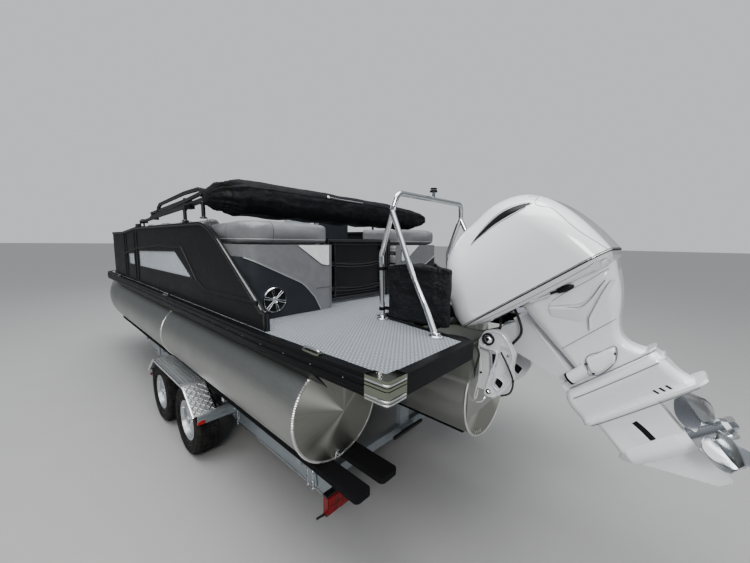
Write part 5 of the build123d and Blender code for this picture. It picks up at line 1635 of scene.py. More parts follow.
    def loop(self, piece: bpy.types.Object, seam: Seam) -> list[list[Vector]]:
        """Find the lines in which a seam's plane meets a cushion, within the seam's box.

        Args:
            piece: the cushion.
            seam: the plane and the box.

        Returns:
            The lines' points in order.
        """
        cut = bmesh.new()
        cut.from_mesh(piece.data)
        normal = Vector([float(k == seam.axis) for k in range(3)])
        whole = [*cut.verts, *cut.edges, *cut.faces]
        result = bmesh.ops.bisect_plane(cut, geom=whole, plane_co=normal * seam.where, plane_no=normal)
        edges = [g for g in result["geom_cut"] if isinstance(g, bmesh.types.BMEdge)]
        near: dict[int, list[int]] = {}
        cut.verts.index_update()
        spots = {v.index: v.co.copy() for e in edges for v in e.verts}
        for edge in edges:
            a, b = edge.verts[0].index, edge.verts[1].index
            near.setdefault(a, []).append(b)
            near.setdefault(b, []).append(a)
        cut.free()
        lines = ([spots[k] for k in chain] for chain in self.chains(near))
        return [run for line in lines for run in seam.within(line)]

    def trim(
        self, name: str, piece: bpy.types.Object, seams: Sequence[Seam], radius: float, finish: str, body: str
    ) -> None:
        """Lay cord along a cushion's seams.

        Args:
            name: the trim's name.
            piece: the cushion.
            seams: where the cords run.
            radius: the cord's radius.
            finish: its finish.
            body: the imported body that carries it.
        """
        form = Form()
        count = 0
        for seam in seams:
            for line in self.loop(piece, seam):
                closed = (line[0] - line[-1]).length < 1e-5
                spots = line[:-1] if closed else line
                thin = [spots[0]]
                for spot in spots[1:]:
                    if (spot - thin[-1]).length > 0.008:
                        thin.append(spot)
                if len(thin) > 4:
                    form.bar(thin, radius, 6, closed)
                    count += 1
        if count:
            form.piece(name, finish, body)

    def seams(self) -> dict[str, list[Seam]]:
        """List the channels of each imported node's pads."""
        port = [Seam(1, y, (-2.30, 0.4, 2.05), (-2.0, 1.2, 2.3)) for y in (0.99, 1.19)]
        port.append(Seam(0, -1.90, (-2.1, 0.9, 2.05), (0.5, 1.25, 2.3)))
        return {
            "lounge_pads_port": port,
            "lounge_pads_starboard": [seam.mirrored() for seam in port],
            "bow_pads": [Seam(0, 1.65, (1.0, -1.3, 1.8), (2.3, 1.3, 2.3))],
            "helm_seat_pads": [Seam(1, y, (-0.9, -1.1, 1.9), (-0.2, -0.4, 2.5)) for y in (-0.90, -0.62)],
        }

    def build(self) -> None:
        """Make every cushion."""
        seams = self.seams()
        groups = {node: self.islands(node) for node in seams}
        for node, pieces in groups.items():
            voxel = self.voxel if node == "lounge_pads_port" else self.voxel * 1.25
            for piece in pieces:
                self.prepare(piece, seams[node], voxel)
        self.blow([p for pieces in groups.values() for p in pieces])
        for node, pieces in groups.items():
            body = "helm_seat" if node == "helm_seat_pads" else "hull"
            for piece in pieces:
                piece.vertex_groups.clear()
                finer = piece.modifiers.new("round", "SUBSURF")
                finer.levels = finer.render_levels = 1
                self.freeze(piece)
                self.fit(piece)
                settle(piece, "vinyl_grey", body, 80.0)
                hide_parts(node)
                self.finish(piece, seams[node], body)

    def finish(self, piece: bpy.types.Object, seams: Sequence[Seam], body: str) -> None:
        """Sew one cushion: cords in its channels and piping round its upper edge.

        Args:
            piece: the cushion.
            seams: its node's channels.
            body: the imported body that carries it.
        """
        spots = [v.co for v in piece.data.vertices]
        low = [min(s[k] for s in spots) for k in range(3)]
        high = [max(s[k] for s in spots) for k in range(3)]
        self.trim(piece.name + "_stitching", piece, seams, self.stitching, "stitch_dark", body)
        thick = min(range(3), key=lambda k: high[k] - low[k])
        depth = high[2] - low[2]
        if depth < self.seat_depth and high[2] < self.seat_height:
            rims = [Seam(2, high[2] - 0.022), Seam(2, low[2] + 0.026)]
        elif thick == 2 or depth < self.bolster_depth:
            rims = [Seam(2, low[2] + 0.038)]
        else:
            rims = [Seam(thick, low[thick] + 0.03), Seam(thick, high[thick] - 0.03)]
        self.trim(piece.name + "_piping", piece, rims, self.piping, "piping_pale", body)


def folds(place: Vector, grain: Point, seed: float, octaves: int = 4) -> float:
    """Give the height of creased cloth at a place, about 0: sharp ridges, soft hollows.

    Args:
        place: where it is.
        grain: waves per metre along each axis.
        seed: a shift that makes one cloth unlike another.
        octaves: how many sizes of crease.

    Returns:
        A height from about -1 to 1.
    """
    spot = Vector((place.x * grain[0] + seed, place.y * grain[1] - seed, place.z * grain[2] + 2 * seed))
    total, weight = 0.0, 0.0
    for k in range(octaves):
        share = 0.55**k
        total += share * (1 - 2.6 * abs(noise.noise(spot * 2**k)))
        weight += share
    return total / weight


@dataclass
class Boot:
    """The folded sunshade in its black cover, gathered and strapped at its port end.

    A section is a share of the half length, the middle's station and height, and the half width and height.
    """

    half: float = 1.225
    around: int = 96
    along: int = 300
    sections: tuple[tuple[float, float, float, float, float], ...] = (
        (-1.0, 1.548, 2.362, 0.014, 0.014),
        (-0.98, 1.566, 2.360, 0.056, 0.046),
        (-0.92, 1.620, 2.357, 0.112, 0.088),
        (-0.80, 1.690, 2.352, 0.168, 0.122),
        (-0.40, 1.730, 2.380, 0.208, 0.136),
        (0.0, 1.740, 2.389, 0.214, 0.137),
        (0.40, 1.740, 2.398, 0.212, 0.137),
        (0.70, 1.756, 2.408, 0.203, 0.140),
        (0.84, 1.786, 2.413, 0.192, 0.136),
        (0.895, 1.812, 2.416, 0.166, 0.116),
        (0.918, 1.834, 2.418, 0.138, 0.092),
        (0.945, 1.856, 2.418, 0.146, 0.098),
        (0.982, 1.886, 2.410, 0.108, 0.074),
        (1.0, 1.905, 2.398, 0.056, 0.040),
    )
    strap: Pairs = ((0.912, 0.0), (0.912, 0.005), (0.936, 0.005), (0.936, 0.0))
    seams: Path = ((2.75, -0.93, 0.86), (0.42, -0.9, 0.86), (4.2, -0.9, 0.86))
    zip_turn: float = 2.62
    zip_run: Pair = (0.24, -0.12)
    pull: Pairs = ((-0.002, 0.012), (0.004, 0.014), (0.008, 0.009))

    def section(self, share: float) -> tuple[float, float, float, float]:
        """Give the middle, half width and half height at a share of the half length."""
        rows = self.sections
        for low, high in zip(rows, rows[1:]):
            if share <= high[0]:
                t = (share - low[0]) / (high[0] - low[0])
                t = t * t * (3 - 2 * t)
                return tuple(a + (b - a) * t for a, b in zip(low[1:], high[1:]))
        return rows[-1][1:]

    def point(self, share: float, turn: float, lift: float = 0.0) -> Vector:
        """Give a place on the creased cover.

        Args:
            share: how far along, -1 at the starboard end and 1 at the port one.
            turn: the angle round it, 0 forward and a quarter turn at the top.
            lift: how far it stands off.

        Returns:
            The place.
        """
        x, z, wide, tall = self.section(share)
        c, s = math.cos(turn), math.sin(turn)
        soft = 2 / 2.5
        out = Vector((math.copysign(abs(c) ** soft, c) * wide, 0, math.copysign(abs(s) ** soft, s) * tall))
        spot = at(x, share * self.half, z) + out
        slack = 0.35 + 0.65 * max(0.0, -s) + 0.4 * max(0.0, -c) * 0.5
        crease = folds(spot, (2.2, 1.1, 5.5), 3.7) * 0.017 * slack
        crease += folds(spot, (7.0, 3.2, 16.0), 9.1, 3) * 0.006
        gather = max(0.0, 1 - abs(share - 0.925) / 0.10)
        crease += gather * 0.010 * math.sin(17 * turn + 2.4 * math.sin(3 * turn) + 4 * share)
        tip = max(0.0, 1 - abs(share + 0.98) / 0.10)
        crease += tip * 0.006 * math.sin(11 * turn + 1.7)
        sag = 0.006 * math.sin(7.3 * share * math.pi + 0.6) * max(0.0, -s)
        return spot + out.normalized() * (crease + lift - 0.006) + Vector((0, 0, -sag))

    def line(self, turn: float, start: float, end: float, count: int, lift: float) -> list[Vector]:
        """Run a line along the cover at one turn, between two shares of its half length."""
        return [self.point(start + (end - start) * k / count, turn, lift) for k in range(count + 1)]

    def build(self) -> None:
        """Make the cover, its strap, its seams and its zip with the pale pull."""
        form, strap, seams, slider, pull = Form(), Form(), Form(), Form(), Form()
        turns = [2 * math.pi * k / self.around for k in range(self.around)]
        shares = (-1 + 2 * i / self.along for i in range(self.along + 1))
        form.skin([[self.point(share, turn) for turn in turns] for share in shares])
        cover = form.piece("sunshade_boot", "canvas_black", "sunshade")
        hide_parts("shade_boot")
        rings = [[self.point(share, turn, lift) for turn in turns] for share, lift in self.strap]
        strap.skin(rings, caps=False)
        strap.piece("boot_strap", "strap_black", "sunshade")
        for turn, low, high in self.seams:
            seams.bar(self.line(turn, low, high, 220, 0.0012), 0.0026, 6)
        seams.piece("boot_seams", "strap_black", "sunshade")
        slider.bar(self.line(self.zip_turn, *self.zip_run, 60, 0.0016), 0.0024, 6)
        slider.piece("boot_zip", "stitch_pale", "sunshade")
        pull.turned(self.pull, self.point(0.245, self.zip_turn, 0.002), Vector((-1, 0, 0.5)), 16)
        pull.piece("boot_zip_pull", "dot_white", "sunshade")


@dataclass
class Bag:
    """The black bag inside the tow bar: a slack creased sack with an elastic mouth."""

    x: Pair = (-3.342, -2.852)
    y: Pair = (0.394, 0.436)
    z: Pair = (1.530, 1.938)
    rows: int = 90
    around: int = 220
    strap_heights: Pair = (1.600, 1.890)
    bar_foot: Point = (0.728, 0.464, 1.516)
    bar_lean: float = 20 / 469
    clasp: Pairs = ((-0.012, 0.0202), (-0.012, 0.0232), (0.012, 0.0232), (0.012, 0.0202), (-0.012, 0.0202))

    def ring(self, t: float) -> list[Vector]:
        """Lay out the creased sack at a share of its height.

        Args:
            t: 0 at the foot, 1 at the mouth.

        Returns:
            The points round it.
        """
        length, wide, tall = (b - a for a, b in (self.x, self.y, self.z))
        middle = Vector((sum(self.x) / 2, sum(self.y) / 2, 0))
        full = min(1.0, math.sin(math.pi * min(1.0, 0.06 + t * 1.15) ** 0.55 * 0.5) + 0.05)
        foot, mouth = max(0.0, 1 - t / 0.05), max(0.0, (t - 0.955) / 0.045)
        end = 1 - 0.9 * foot**2 if t < 0.05 else 1 - 0.55 * mouth**2
        waist = 1 - 0.035 * math.sin(math.pi * t)
        gather = max(0.0, (t - 0.86) / 0.14)
        ring = []
        for a in (2 * math.pi * k / self.around for k in range(self.around)):
            c, s = math.cos(a), math.sin(a)
            px = math.copysign(abs(c) ** 0.30, c) * length / 2
            py = math.copysign(abs(s) ** 0.62, s) * wide * 0.52
            droop = 0.016 * (px / (length / 2)) ** 2 * t
            height = self.z[0] + tall * t - droop
            spot = middle + Vector((px * waist * end, py * end * (0.7 + 0.3 * full), height))
            swing = folds(spot, (4.5, 1.0, 2.6), 21.4) * 0.022 * (0.5 + 0.8 * t)
            swing += folds(spot, (13.0, 3.0, 7.0), 5.2, 3) * 0.007
            swing += gather * 0.0045 * math.sin(46 * a + 3 * math.sin(5 * a))
            spot.y += math.copysign(min(abs(s) * 3, 1.0), s) * swing
            spot.z += 0.004 * gather * math.sin(31 * a)
            ring.append(spot)
        return ring

    def build(self) -> None:
        """Make the sack, its gathered mouth, its seams and its straps."""
        form, hem, straps = Form(), Form(), Form()
        rings = [self.ring(i / self.rows) for i in range(self.rows + 1)]
        form.skin(rings)
        sack = form.piece("tow_bar_bag", "bag_cloth")
        hem.bar(rings[int(self.rows * 0.93)], 0.0035, 6, True)
        for a in (0.36, 0.64):
            hem.bar([ring[int(self.around * a)] for ring in rings[4:-4]], 0.0022, 6)
        hem.piece("bag_seams", "strap_black")
        x, y, foot = self.bar_foot
        for z in self.strap_heights:
            spot = at(x + (z - foot) * self.bar_lean, y, z)
            band = (z - 0.012, z + 0.012)
            straps.turned(self.clasp, spot, UP, 32)
            straps.block((self.x[1] - 0.03, spot.x - 0.010), (0.430, 0.434), band)
            straps.block((spot.x - 0.012, spot.x - 0.004), (0.430, 0.450), band)
        straps.piece("bag_straps", "strap_black")
        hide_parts("bag")


@dataclass
class Tubes:
    """Weld beads, spun caps, drains and the tow eye of the three tubes."""

    radius: float = 0.3302
    side: Pair = (0.9455, 1.0442)
    middle: Pair = (0.0, 1.0292)
    aft: float = 0.664
    joint: float = 3.210
    cone: float = 0.055
    centre_aft: float = 0.116
    drain: Point = (0.655, 0.9605, 0.748)
    drain_plug: Pairs = (
        (-0.004, 0.026), (0.006, 0.026), (0.008, 0.023), (0.009, 0.013), (0.022, 0.012), (0.024, 0.010),
    )
    eye: Path = (
        (-0.002, 0.100, 1.085), (-0.034, 0.112, 1.083), (-0.052, 0.132, 1.062), (-0.052, 0.155, 1.032),
        (-0.034, 0.172, 1.008), (-0.002, 0.180, 1.000),
    )
    slot: Pair = (0.16, 0.768)
    slot_step: Pair = (0.026, 0.006)

    def bead(self, form: Form, hub: Vector, station: float, inset: float, thick: float) -> None:
        """Lay a rippled weld round a tube.

        Args:
            form: what takes the faces.
            hub: the tube's middle at station 0.
            station: how far forward of that the ring is.
            inset: how far the ring lies inside the tube's face.
            thick: the bead's own radius.
        """
        count, ripples = 620, 150
        turns = (2 * math.pi * k / count for k in range(count))
        reach = self.radius - inset
        centre = hub + Vector((station, 0, 0))
        line = [centre + Vector((0, math.cos(a), math.sin(a))) * reach for a in turns]
        form.bar(line, lambda t: thick * (1 + 0.22 * math.sin(2 * math.pi * ripples * t)), 6, True)

    def welds(self) -> None:
        """Make the beads round the tubes' ends and joints."""
        form = Form()
        for sign in SIDES:
            hub = at(0, sign * self.side[0], self.side[1])
            self.bead(form, hub, self.aft + 0.004, 0.001, 0.0088)
            self.bead(form, hub, self.joint, 0.002, 0.0092)
        hub = at(0, *self.middle)
        self.bead(form, hub, self.centre_aft + 0.003, 0.001, 0.0082)
        self.bead(form, hub, self.joint, 0.002, 0.0092)
        form.piece("tube_welds", "weld_bright")

    def caps(self) -> None:
        """Make the spun cones of the outer tubes and the middle tube's flat plate."""
        cones, plate = Form(), Form()
        shares = (0, 0.3, 0.6, 0.9, 0.995)
        steps = [(share * (self.cone + 0.001), self.radius * (1 - share) + 0.0006) for share in shares]
        for sign in SIDES:
            cones.turned(steps, at(self.aft, sign * self.side[0], self.side[1]), AFT, 120)
        cones.piece("tube_caps", "cap_spun")
        rim = ((0.0, self.radius - 0.004), (0.001, self.radius - 0.005))
        plate.turned(rim, at(self.centre_aft, *self.middle), AFT, 96)
        plate.piece("centre_tube_plate", "plate_spun")

    def fittings(self) -> None:
        """Make the drains, the tow eye and the slots in the middle plate."""
        chrome, marks = Form(), Form()
        x, y, z = self.drain
        for sign in SIDES:
            chrome.turned(self.drain_plug, at(x, sign * y, z), Vector((-1, 0, -0.17)), 6)
        chrome.bar([at(self.centre_aft + p.x, p.y, p.z) for p in smooth(self.eye, 6)], 0.0068, 10)
        chrome.piece("tube_fittings", "chrome")
        x = self.centre_aft - 0.004
        for k in range(4):
            y, z = self.slot[0] - self.slot_step[0] * k, self.slot[1] - self.slot_step[1] * k
            marks.bar([at(x, y - 0.006, z - 0.013), at(x, y + 0.006, z + 0.013)], 0.0035, 6)
        marks.piece("centre_plate_slots", "weld_bright")

    def build(self) -> None:
        """Make them all."""
        self.welds()
        self.caps()
        self.fittings()


@dataclass
class Castings:
    """The bright corner's raised bands, dark cords of painted shade in its grooves, the cleats' horns and the
    rail's screws.
    """

    band: Pairs = (
        (0.126, 1.2555), (0.06, 1.2535), (0.014, 1.2515), (0.002, 1.2400), (-0.0005, 1.21),
        (-0.0005, 1.130),
    )
    bands: Pairs = ((1.4995, 0.0042), (1.4300, 0.0046), (1.4140, 0.0040))
    groove: Pairs = (
        (0.127, 1.2560), (0.06, 1.2532), (0.016, 1.2512), (0.004, 1.2395), (0.0005, 1.21),
        (0.0005, 1.130),
    )
    grooves: Pairs = ((1.4895, 0.0016), (1.4735, 0.0016), (1.4365, 0.0016))
    cleats: Point = (0.52, 2.95, 5.30)
    horn: Pairs = ((-0.062, 0.001), (-0.040, 0.006), (0.0, 0.007), (0.040, 0.006), (0.062, 0.001))
    cleat_place: Pair = (1.265, 1.527)
    screw_place: Pair = (1.2935, 1.4665)
    taper: float = 0.043

    def tuck(self, station: float) -> float:
        """Give how far the deck's edge draws in toward its aft corner."""
        return self.taper * max(0.0, 1 - station)

    def round_corner(
        self, name: str, finish: str, line: Pairs, heights: Pairs, sides: int, soften: float
    ) -> None:
        """Run cords round both aft corners.

        Args:
            name: the piece's name.
            finish: its finish.
            line: the cord's stations and offsets.
            heights: each cord's height and radius.
            sides: faces round a cord.
            soften: the width of its bevels.
        """
        form = Form()
        for sign in SIDES:
            for z, thick in heights:
                run = smooth([(x, y, z) for x, y in line], 6)
                form.bar([at(p.x, sign * p.y, p.z) for p in run], thick, sides)
        form.piece(name, finish, soften=soften)

    def build(self) -> None:
        """Make them."""
        self.round_corner("corner_bands", "chrome", self.band, self.bands, 8, 0.001)
        # painted shade: dark cords lying in the casting's grooves
        self.round_corner("corner_grooves", "seam_black", self.groove, self.grooves, 6, 0.0)
        horns = Form()
        across, height = self.cleat_place
        for station in self.cleats:
            for sign in SIDES:
                y = sign * (across - self.tuck(station))
                horns.bar(smooth([at(station + d, y, height + h) for d, h in self.horn], 6), 0.0075, 10)
        horns.piece("cleat_horns", "chrome")
        across, height = self.screw_place
        spots = []
        for sign in SIDES:
            for station in (0.26 + 0.235 * k for k in range(26)):
                y = sign * (across - self.tuck(station))
                spots.append(Spot(at(station, y, height), outward(sign), FORWARD))
        Repeat("rail_screws", "zinc_bolt", (0.007, 0.007, 0.004), sides=10).lay(spots)


@dataclass
class Lounges:
    """What is sewn and fitted on the lounges' aft panels: piping, seams and the speakers."""

    nodes: dict[str, bpy.types.Object]
    speaker: Point = (1.3057, 0.998, 1.652)
    ring: Pairs = (
        (0.0, 0.092), (0.008, 0.092), (0.0125, 0.088), (0.0125, 0.0868), (0.006, 0.0840), (0.0, 0.0838),
        (0.0, 0.092),
    )
    cone: Pairs = ((0.0, 0.0845), (0.0012, 0.0845), (0.0006, 0.040), (0.002, 0.0005))
    inner_ring: Pairs = (
        (0.004, 0.0260), (0.0100, 0.0250), (0.0125, 0.0210), (0.0100, 0.0170), (0.004, 0.0165),
        (0.004, 0.0260),
    )
    button: Pairs = ((0.002, 0.0075), (0.0115, 0.0070), (0.0125, 0.0040))
    spoke: Path = ((0.024, 1.0, 0.0098), (0.05, 0.85, 0.0098), (0.0850, 0.62, 0.0108))
    insert_y: Pair = (1.185, 0.645)
    deck: float = 1.523
    panel_seams: tuple[Pairs, ...] = (
        ((0.478, 2.045), (0.478, 1.90), (0.478, 1.70), (0.478, 1.522)),
        ((0.470, 1.700), (0.490, 1.700), (0.56, 1.7005), (0.62, 1.7005)),
        ((0.797, 2.045), (0.70, 1.980), (0.60, 1.912), (0.566, 1.890), (0.530, 1.882), (0.487, 1.876)),
        ((0.487, 1.876), (0.485, 1.96), (0.485, 2.045)),
    )

    def edge(self, sign: int) -> list[Vector]:
        """Find the dark insert's curved edge on the aft panel.

        Args:
            sign: 1 for port, -1 for starboard.

        Returns:
            Its points from the fence to the deck.
        """
        skin = Skin(self.nodes["back_inserts"])

        def covered(y: float, z: float) -> bool:
            """Tell whether the insert is there."""
            return skin.tree.ray_cast(at(1.0, sign * y, z), FORWARD)[0] is not None

        def search(low: float, high: float, test: Callable[[float], bool]) -> float:
            """Halve the gap between a covered value and an open one."""
            for _ in range(18):
                middle = (low + high) / 2
                low, high = (middle, high) if test(middle) else (low, middle)
            return low

        line = []
        outer, inner = self.insert_y
        along, down = 60, 13
        for k in range(along):
            y = outer - (outer - inner) * k / (along - 1)
            line.append((y, search(1.53, 2.04, lambda v: covered(y, v))))
        foot = line[-1][1]
        for k in range(1, down + 1):
            z = foot - (foot - self.deck) * k / down
            line.append((search(0.80, 0.47, lambda v: covered(v, z)), z))
        shell = self.nodes["lounge_shell_port" if sign > 0 else "lounge_shell_starboard"]
        panel = Skin(self.nodes["back_inserts"], shell)
        return [panel.drop(at(1.0, sign * y, z), FORWARD, 0.0015) for y, z in line]

    def speakers(self) -> None:
        """Chrome rings with paired spokes over a black cone."""
        bright, dark = Form(), Form()
        x, y, z = self.speaker
        for sign in SIDES:
            hub = at(x, sign * y, z)
            bright.turned(self.ring, hub, AFT, 64)
            dark.turned(self.cone, hub, AFT, 64)
            bright.turned(self.inner_ring, hub, AFT, 40)
            bright.turned(self.button, hub, AFT, 20)
            for turn in (2 * math.pi * k / 6 + 0.26 for k in range(6)):
                for lean in (-0.16, 0.16):
                    ends = []
                    for reach, bend, rise in self.spoke:
                        a = turn + lean * bend
                        ends.append(hub + AFT * rise + Vector((0, math.cos(a), math.sin(a))) * reach)
                    bright.bar(smooth(ends, 4), 0.0021, 6)
        shown = bright.piece("speaker_grilles", "chrome")
        dark.piece("speaker_cones", "seam_black")
        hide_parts("speakers")

    def stitches(self) -> None:
        """Sew the short stitches above the insert's piping."""
        spots = []
        for sign in SIDES:
            line = self.edge(sign)
            for near, far in zip(line, line[1:]):
                count = max(1, int((far - near).length / 0.011))
                for k in range(count):
                    place = near.lerp(far, k / count) + Vector((-0.001, 0, 0.011))
                    spots.append(Spot(place, AFT, far - near))
        Repeat("piping_stitches", "stitch_pale", (0.006, 0.0014, 0.0012), Small.BLOCK).lay(spots)

    def build(self) -> None:
        """Make the piping, the panel seams and the speakers."""
        piping, seams = Form(), Form()
        for sign, node in zip(SIDES, ("lounge_shell_port", "lounge_shell_starboard")):
            piping.bar(self.edge(sign), 0.0034, 8)
            shell = Skin(self.nodes[node], self.nodes["back_inserts"], self.nodes["back_corners"])
            for run in self.panel_seams:
                path = straight([(y, z, 0) for y, z in run], 0.02)
                seams.bar([shell.drop(at(1.0, sign * p.x, p.y), FORWARD, 0.0008) for p in path], 0.0016, 6)
        piping.piece("insert_piping", "piping_pale")
        seams.piece("panel_seams", "stitch_dark")
        self.stitches()
        self.speakers()


@dataclass
class Fence:
    """Rounded rails along the fence, its screws, the gates' pressed frames and the panes' gaskets."""

    y: float = 1.214
    face: float = 1.2305
    pane: float = 1.2225
    slope: float = 0.69
    post: Pairs = ((1.037, 1.524), (1.037, 1.58), (1.037, 1.628))
    shoulder: Pairs = ((1.786, 2.104), (1.860, 2.147), (1.944, 2.180), (2.030, 2.200), (2.115, 2.2055))
    bow_rail: Pairs = ((4.46, 2.196), (4.70, 2.181), (5.10, 2.1555), (5.85, 2.1555))
    foot: Pair = (1.092, 1.632)
    windows: tuple[Pairs, ...] = (
        ((2.305, 1.741), (2.742, 1.964), (4.200, 1.926), (4.200, 1.731)),
        ((4.458, 1.731), (4.458, 1.888), (4.806, 1.876), (4.806, 1.731)),
    )
    rib: Pairs = ((0.72, 0.002), (0.35, -0.010), (0.0, -0.013), (-0.35, -0.010), (-0.72, 0.002))

    def rails(self) -> None:
        """Run the rounded rail along the top and the slanted aft edge of each side."""
        form = Form()
        x, z = self.foot
        path = [*self.post, self.foot]
        path += [(x + 0.1 * k, z + 0.002 + self.slope * 0.1 * k) for k in range(1, 7)]
        path += self.shoulder
        path += [(2.4 + 0.32 * k, 2.2055) for k in range(7)]
        path += self.bow_rail
        for sign in SIDES:
            line = smooth([(x, sign * self.y, z) for x, z in path], 4)
            form.bar([at(p.x, p.y, p.z) for p in line], 0.0172, 12)
            form.bar([at(1.0375, sign * self.y, z) for z in (1.52, 1.56, 1.60, 1.626)], 0.0185, 12)
        form.piece("fence_rounded_rails", "rail_satin")

    def screws(self) -> None:
        """Set the screws along the rails and round the panels."""
        spots = []
        for sign in SIDES:
            for x in (1.16 + 0.105 * k for k in range(7)):
                z = self.foot[1] + self.slope * (x - self.foot[0])
                spots.append(Spot(at(x, sign * self.face, z), outward(sign), Vector((1, 0, self.slope))))
            for x in (1.22 + 0.235 * k for k in range(20)):
                spots.append(Spot(at(x, sign * self.face, 1.532), outward(sign), FORWARD))
            for x in (4.266, 4.416, 4.896, 5.026):
                for z in (1.56, 1.72, 1.88, 2.04, 2.13):
                    spots.append(Spot(at(x, sign * self.face, z), outward(sign), UP))
        Repeat("fence_screws", "screw_black", (0.011, 0.011, 0.004), Small.DOME, 12).lay(spots)

    def gaskets(self) -> None:
        """Run a bead round each window."""
        form = Form()
        for corners in self.windows:
            for sign in SIDES:
                line = straight([(x, sign * self.pane, z) for x, z in (*corners, corners[0])], 0.03)[:-1]
                form.bar([at(p.x, p.y, p.z) for p in line], 0.0048, 8, True)
        form.piece("window_gaskets", "rubber")

    @staticmethod
    def frame(form: Form, x: float, half: float, z: Pair, thick: float) -> None:
        """Run a rounded frame round a gate's face."""
        corners = [(x, -half, z[0]), (x, half, z[0]), (x, half, z[1]), (x, -half, z[1]), (x, -half, z[0])]
        form.bar(straight([at(*c) for c in corners], 0.03)[:-1], thick, 10, True)

    def gate(self, name: str, x: float, half: float, top: float, ribs: Pair, sign: int) -> None:
        """Make one gate's pressed frame, its stiles and its curved double ribs.

        Args:
            name: the gate's body.
            x: its face's station.
            half: half its width.
            top: its top rail's height.
            ribs: the heights of its ribs.
            sign: the way its face looks, 1 forward.
        """
        form = Form()
        lip, edge, stile = 0.034, 0.03, 0.078
        self.frame(form, x, half, (1.556, top), 0.0165)
        self.frame(form, x + sign * 0.002, half - lip, (1.590, top - lip), 0.0055)
        for z in ribs:
            for drop in (0.0, 0.024):
                bend = [(-half * share, rise) for share, rise in self.rib]
                run = [(-half + edge, 0.010), *bend, (half - edge, 0.010)]
                form.bar(smooth([at(x, y, z + rise - drop) for y, rise in run], 6), 0.0085, 8)
        for y in (-half + stile, half - stile):
            form.bar([at(x + sign * 0.002, y, z) for z in (1.575, 1.75, 1.95, top - 0.02)], 0.0115, 8)
        form.piece(name + "_frame", "gate_gloss", name)

    def gates(self) -> None:
        """Make both gates and the rounded posts beside the aft one."""
        self.gate("aft_gate", 1.449, 0.392, 2.087, (1.880, 1.655), -1)
        self.gate("bow_gate", 6.181, 0.367, 2.154, (1.940, 1.700), 1)
        posts = Form()
        for sign in SIDES:
            posts.bar([at(1.450, sign * 0.434, z) for z in (1.52, 1.7, 1.9, 2.100)], 0.0175, 10)
        posts.piece("gate_post_rounds", "gate_gloss")

    def build(self) -> None:
        """Make them all."""
        self.rails()
        self.screws()
        self.gaskets()
        self.gates()


@dataclass
class TowBar:
    """The tow bar's flanges, bolts and black tow knob."""

    feet: Pairs = ((0.728, 0.464), (0.203, 0.571))
    deck: float = 1.5255
    flange: Pairs = (
        (0.0, 0.043), (0.003, 0.0425), (0.005, 0.040), (0.006, 0.026), (0.022, 0.0225), (0.024, 0.0205),
    )
    knob_base: Point = (0.628, 0.0, 2.434)
    knob: Pairs = (
        (0.034, 0.0148), (0.036, 0.0285), (0.042, 0.0300), (0.050, 0.0290), (0.052, 0.0200), (0.056, 0.0195),
        (0.058, 0.0270), (0.066, 0.0270), (0.0685, 0.0215),
    )

    def build(self) -> None:
        """Make them."""
        flanges, knob = Form(), Form()
        spots = []
        for x, y in self.feet:
            for sign in SIDES:
                foot = at(x, sign * y, self.deck)
                flanges.turned(self.flange, foot, UP, 40)
                spots += ring_spots(foot + UP * 0.006, UP, 0.033, 3, False, 0.5)
        flanges.piece("tow_bar_flanges", "chrome")
        Repeat("flange_screws", "zinc_bolt", (0.010, 0.010, 0.004), Small.DOME, 10).lay(spots)
        knob.turned(self.knob, at(*self.knob_base), UP, 32)
        knob.piece("tow_knob_cap", "gloss_black")


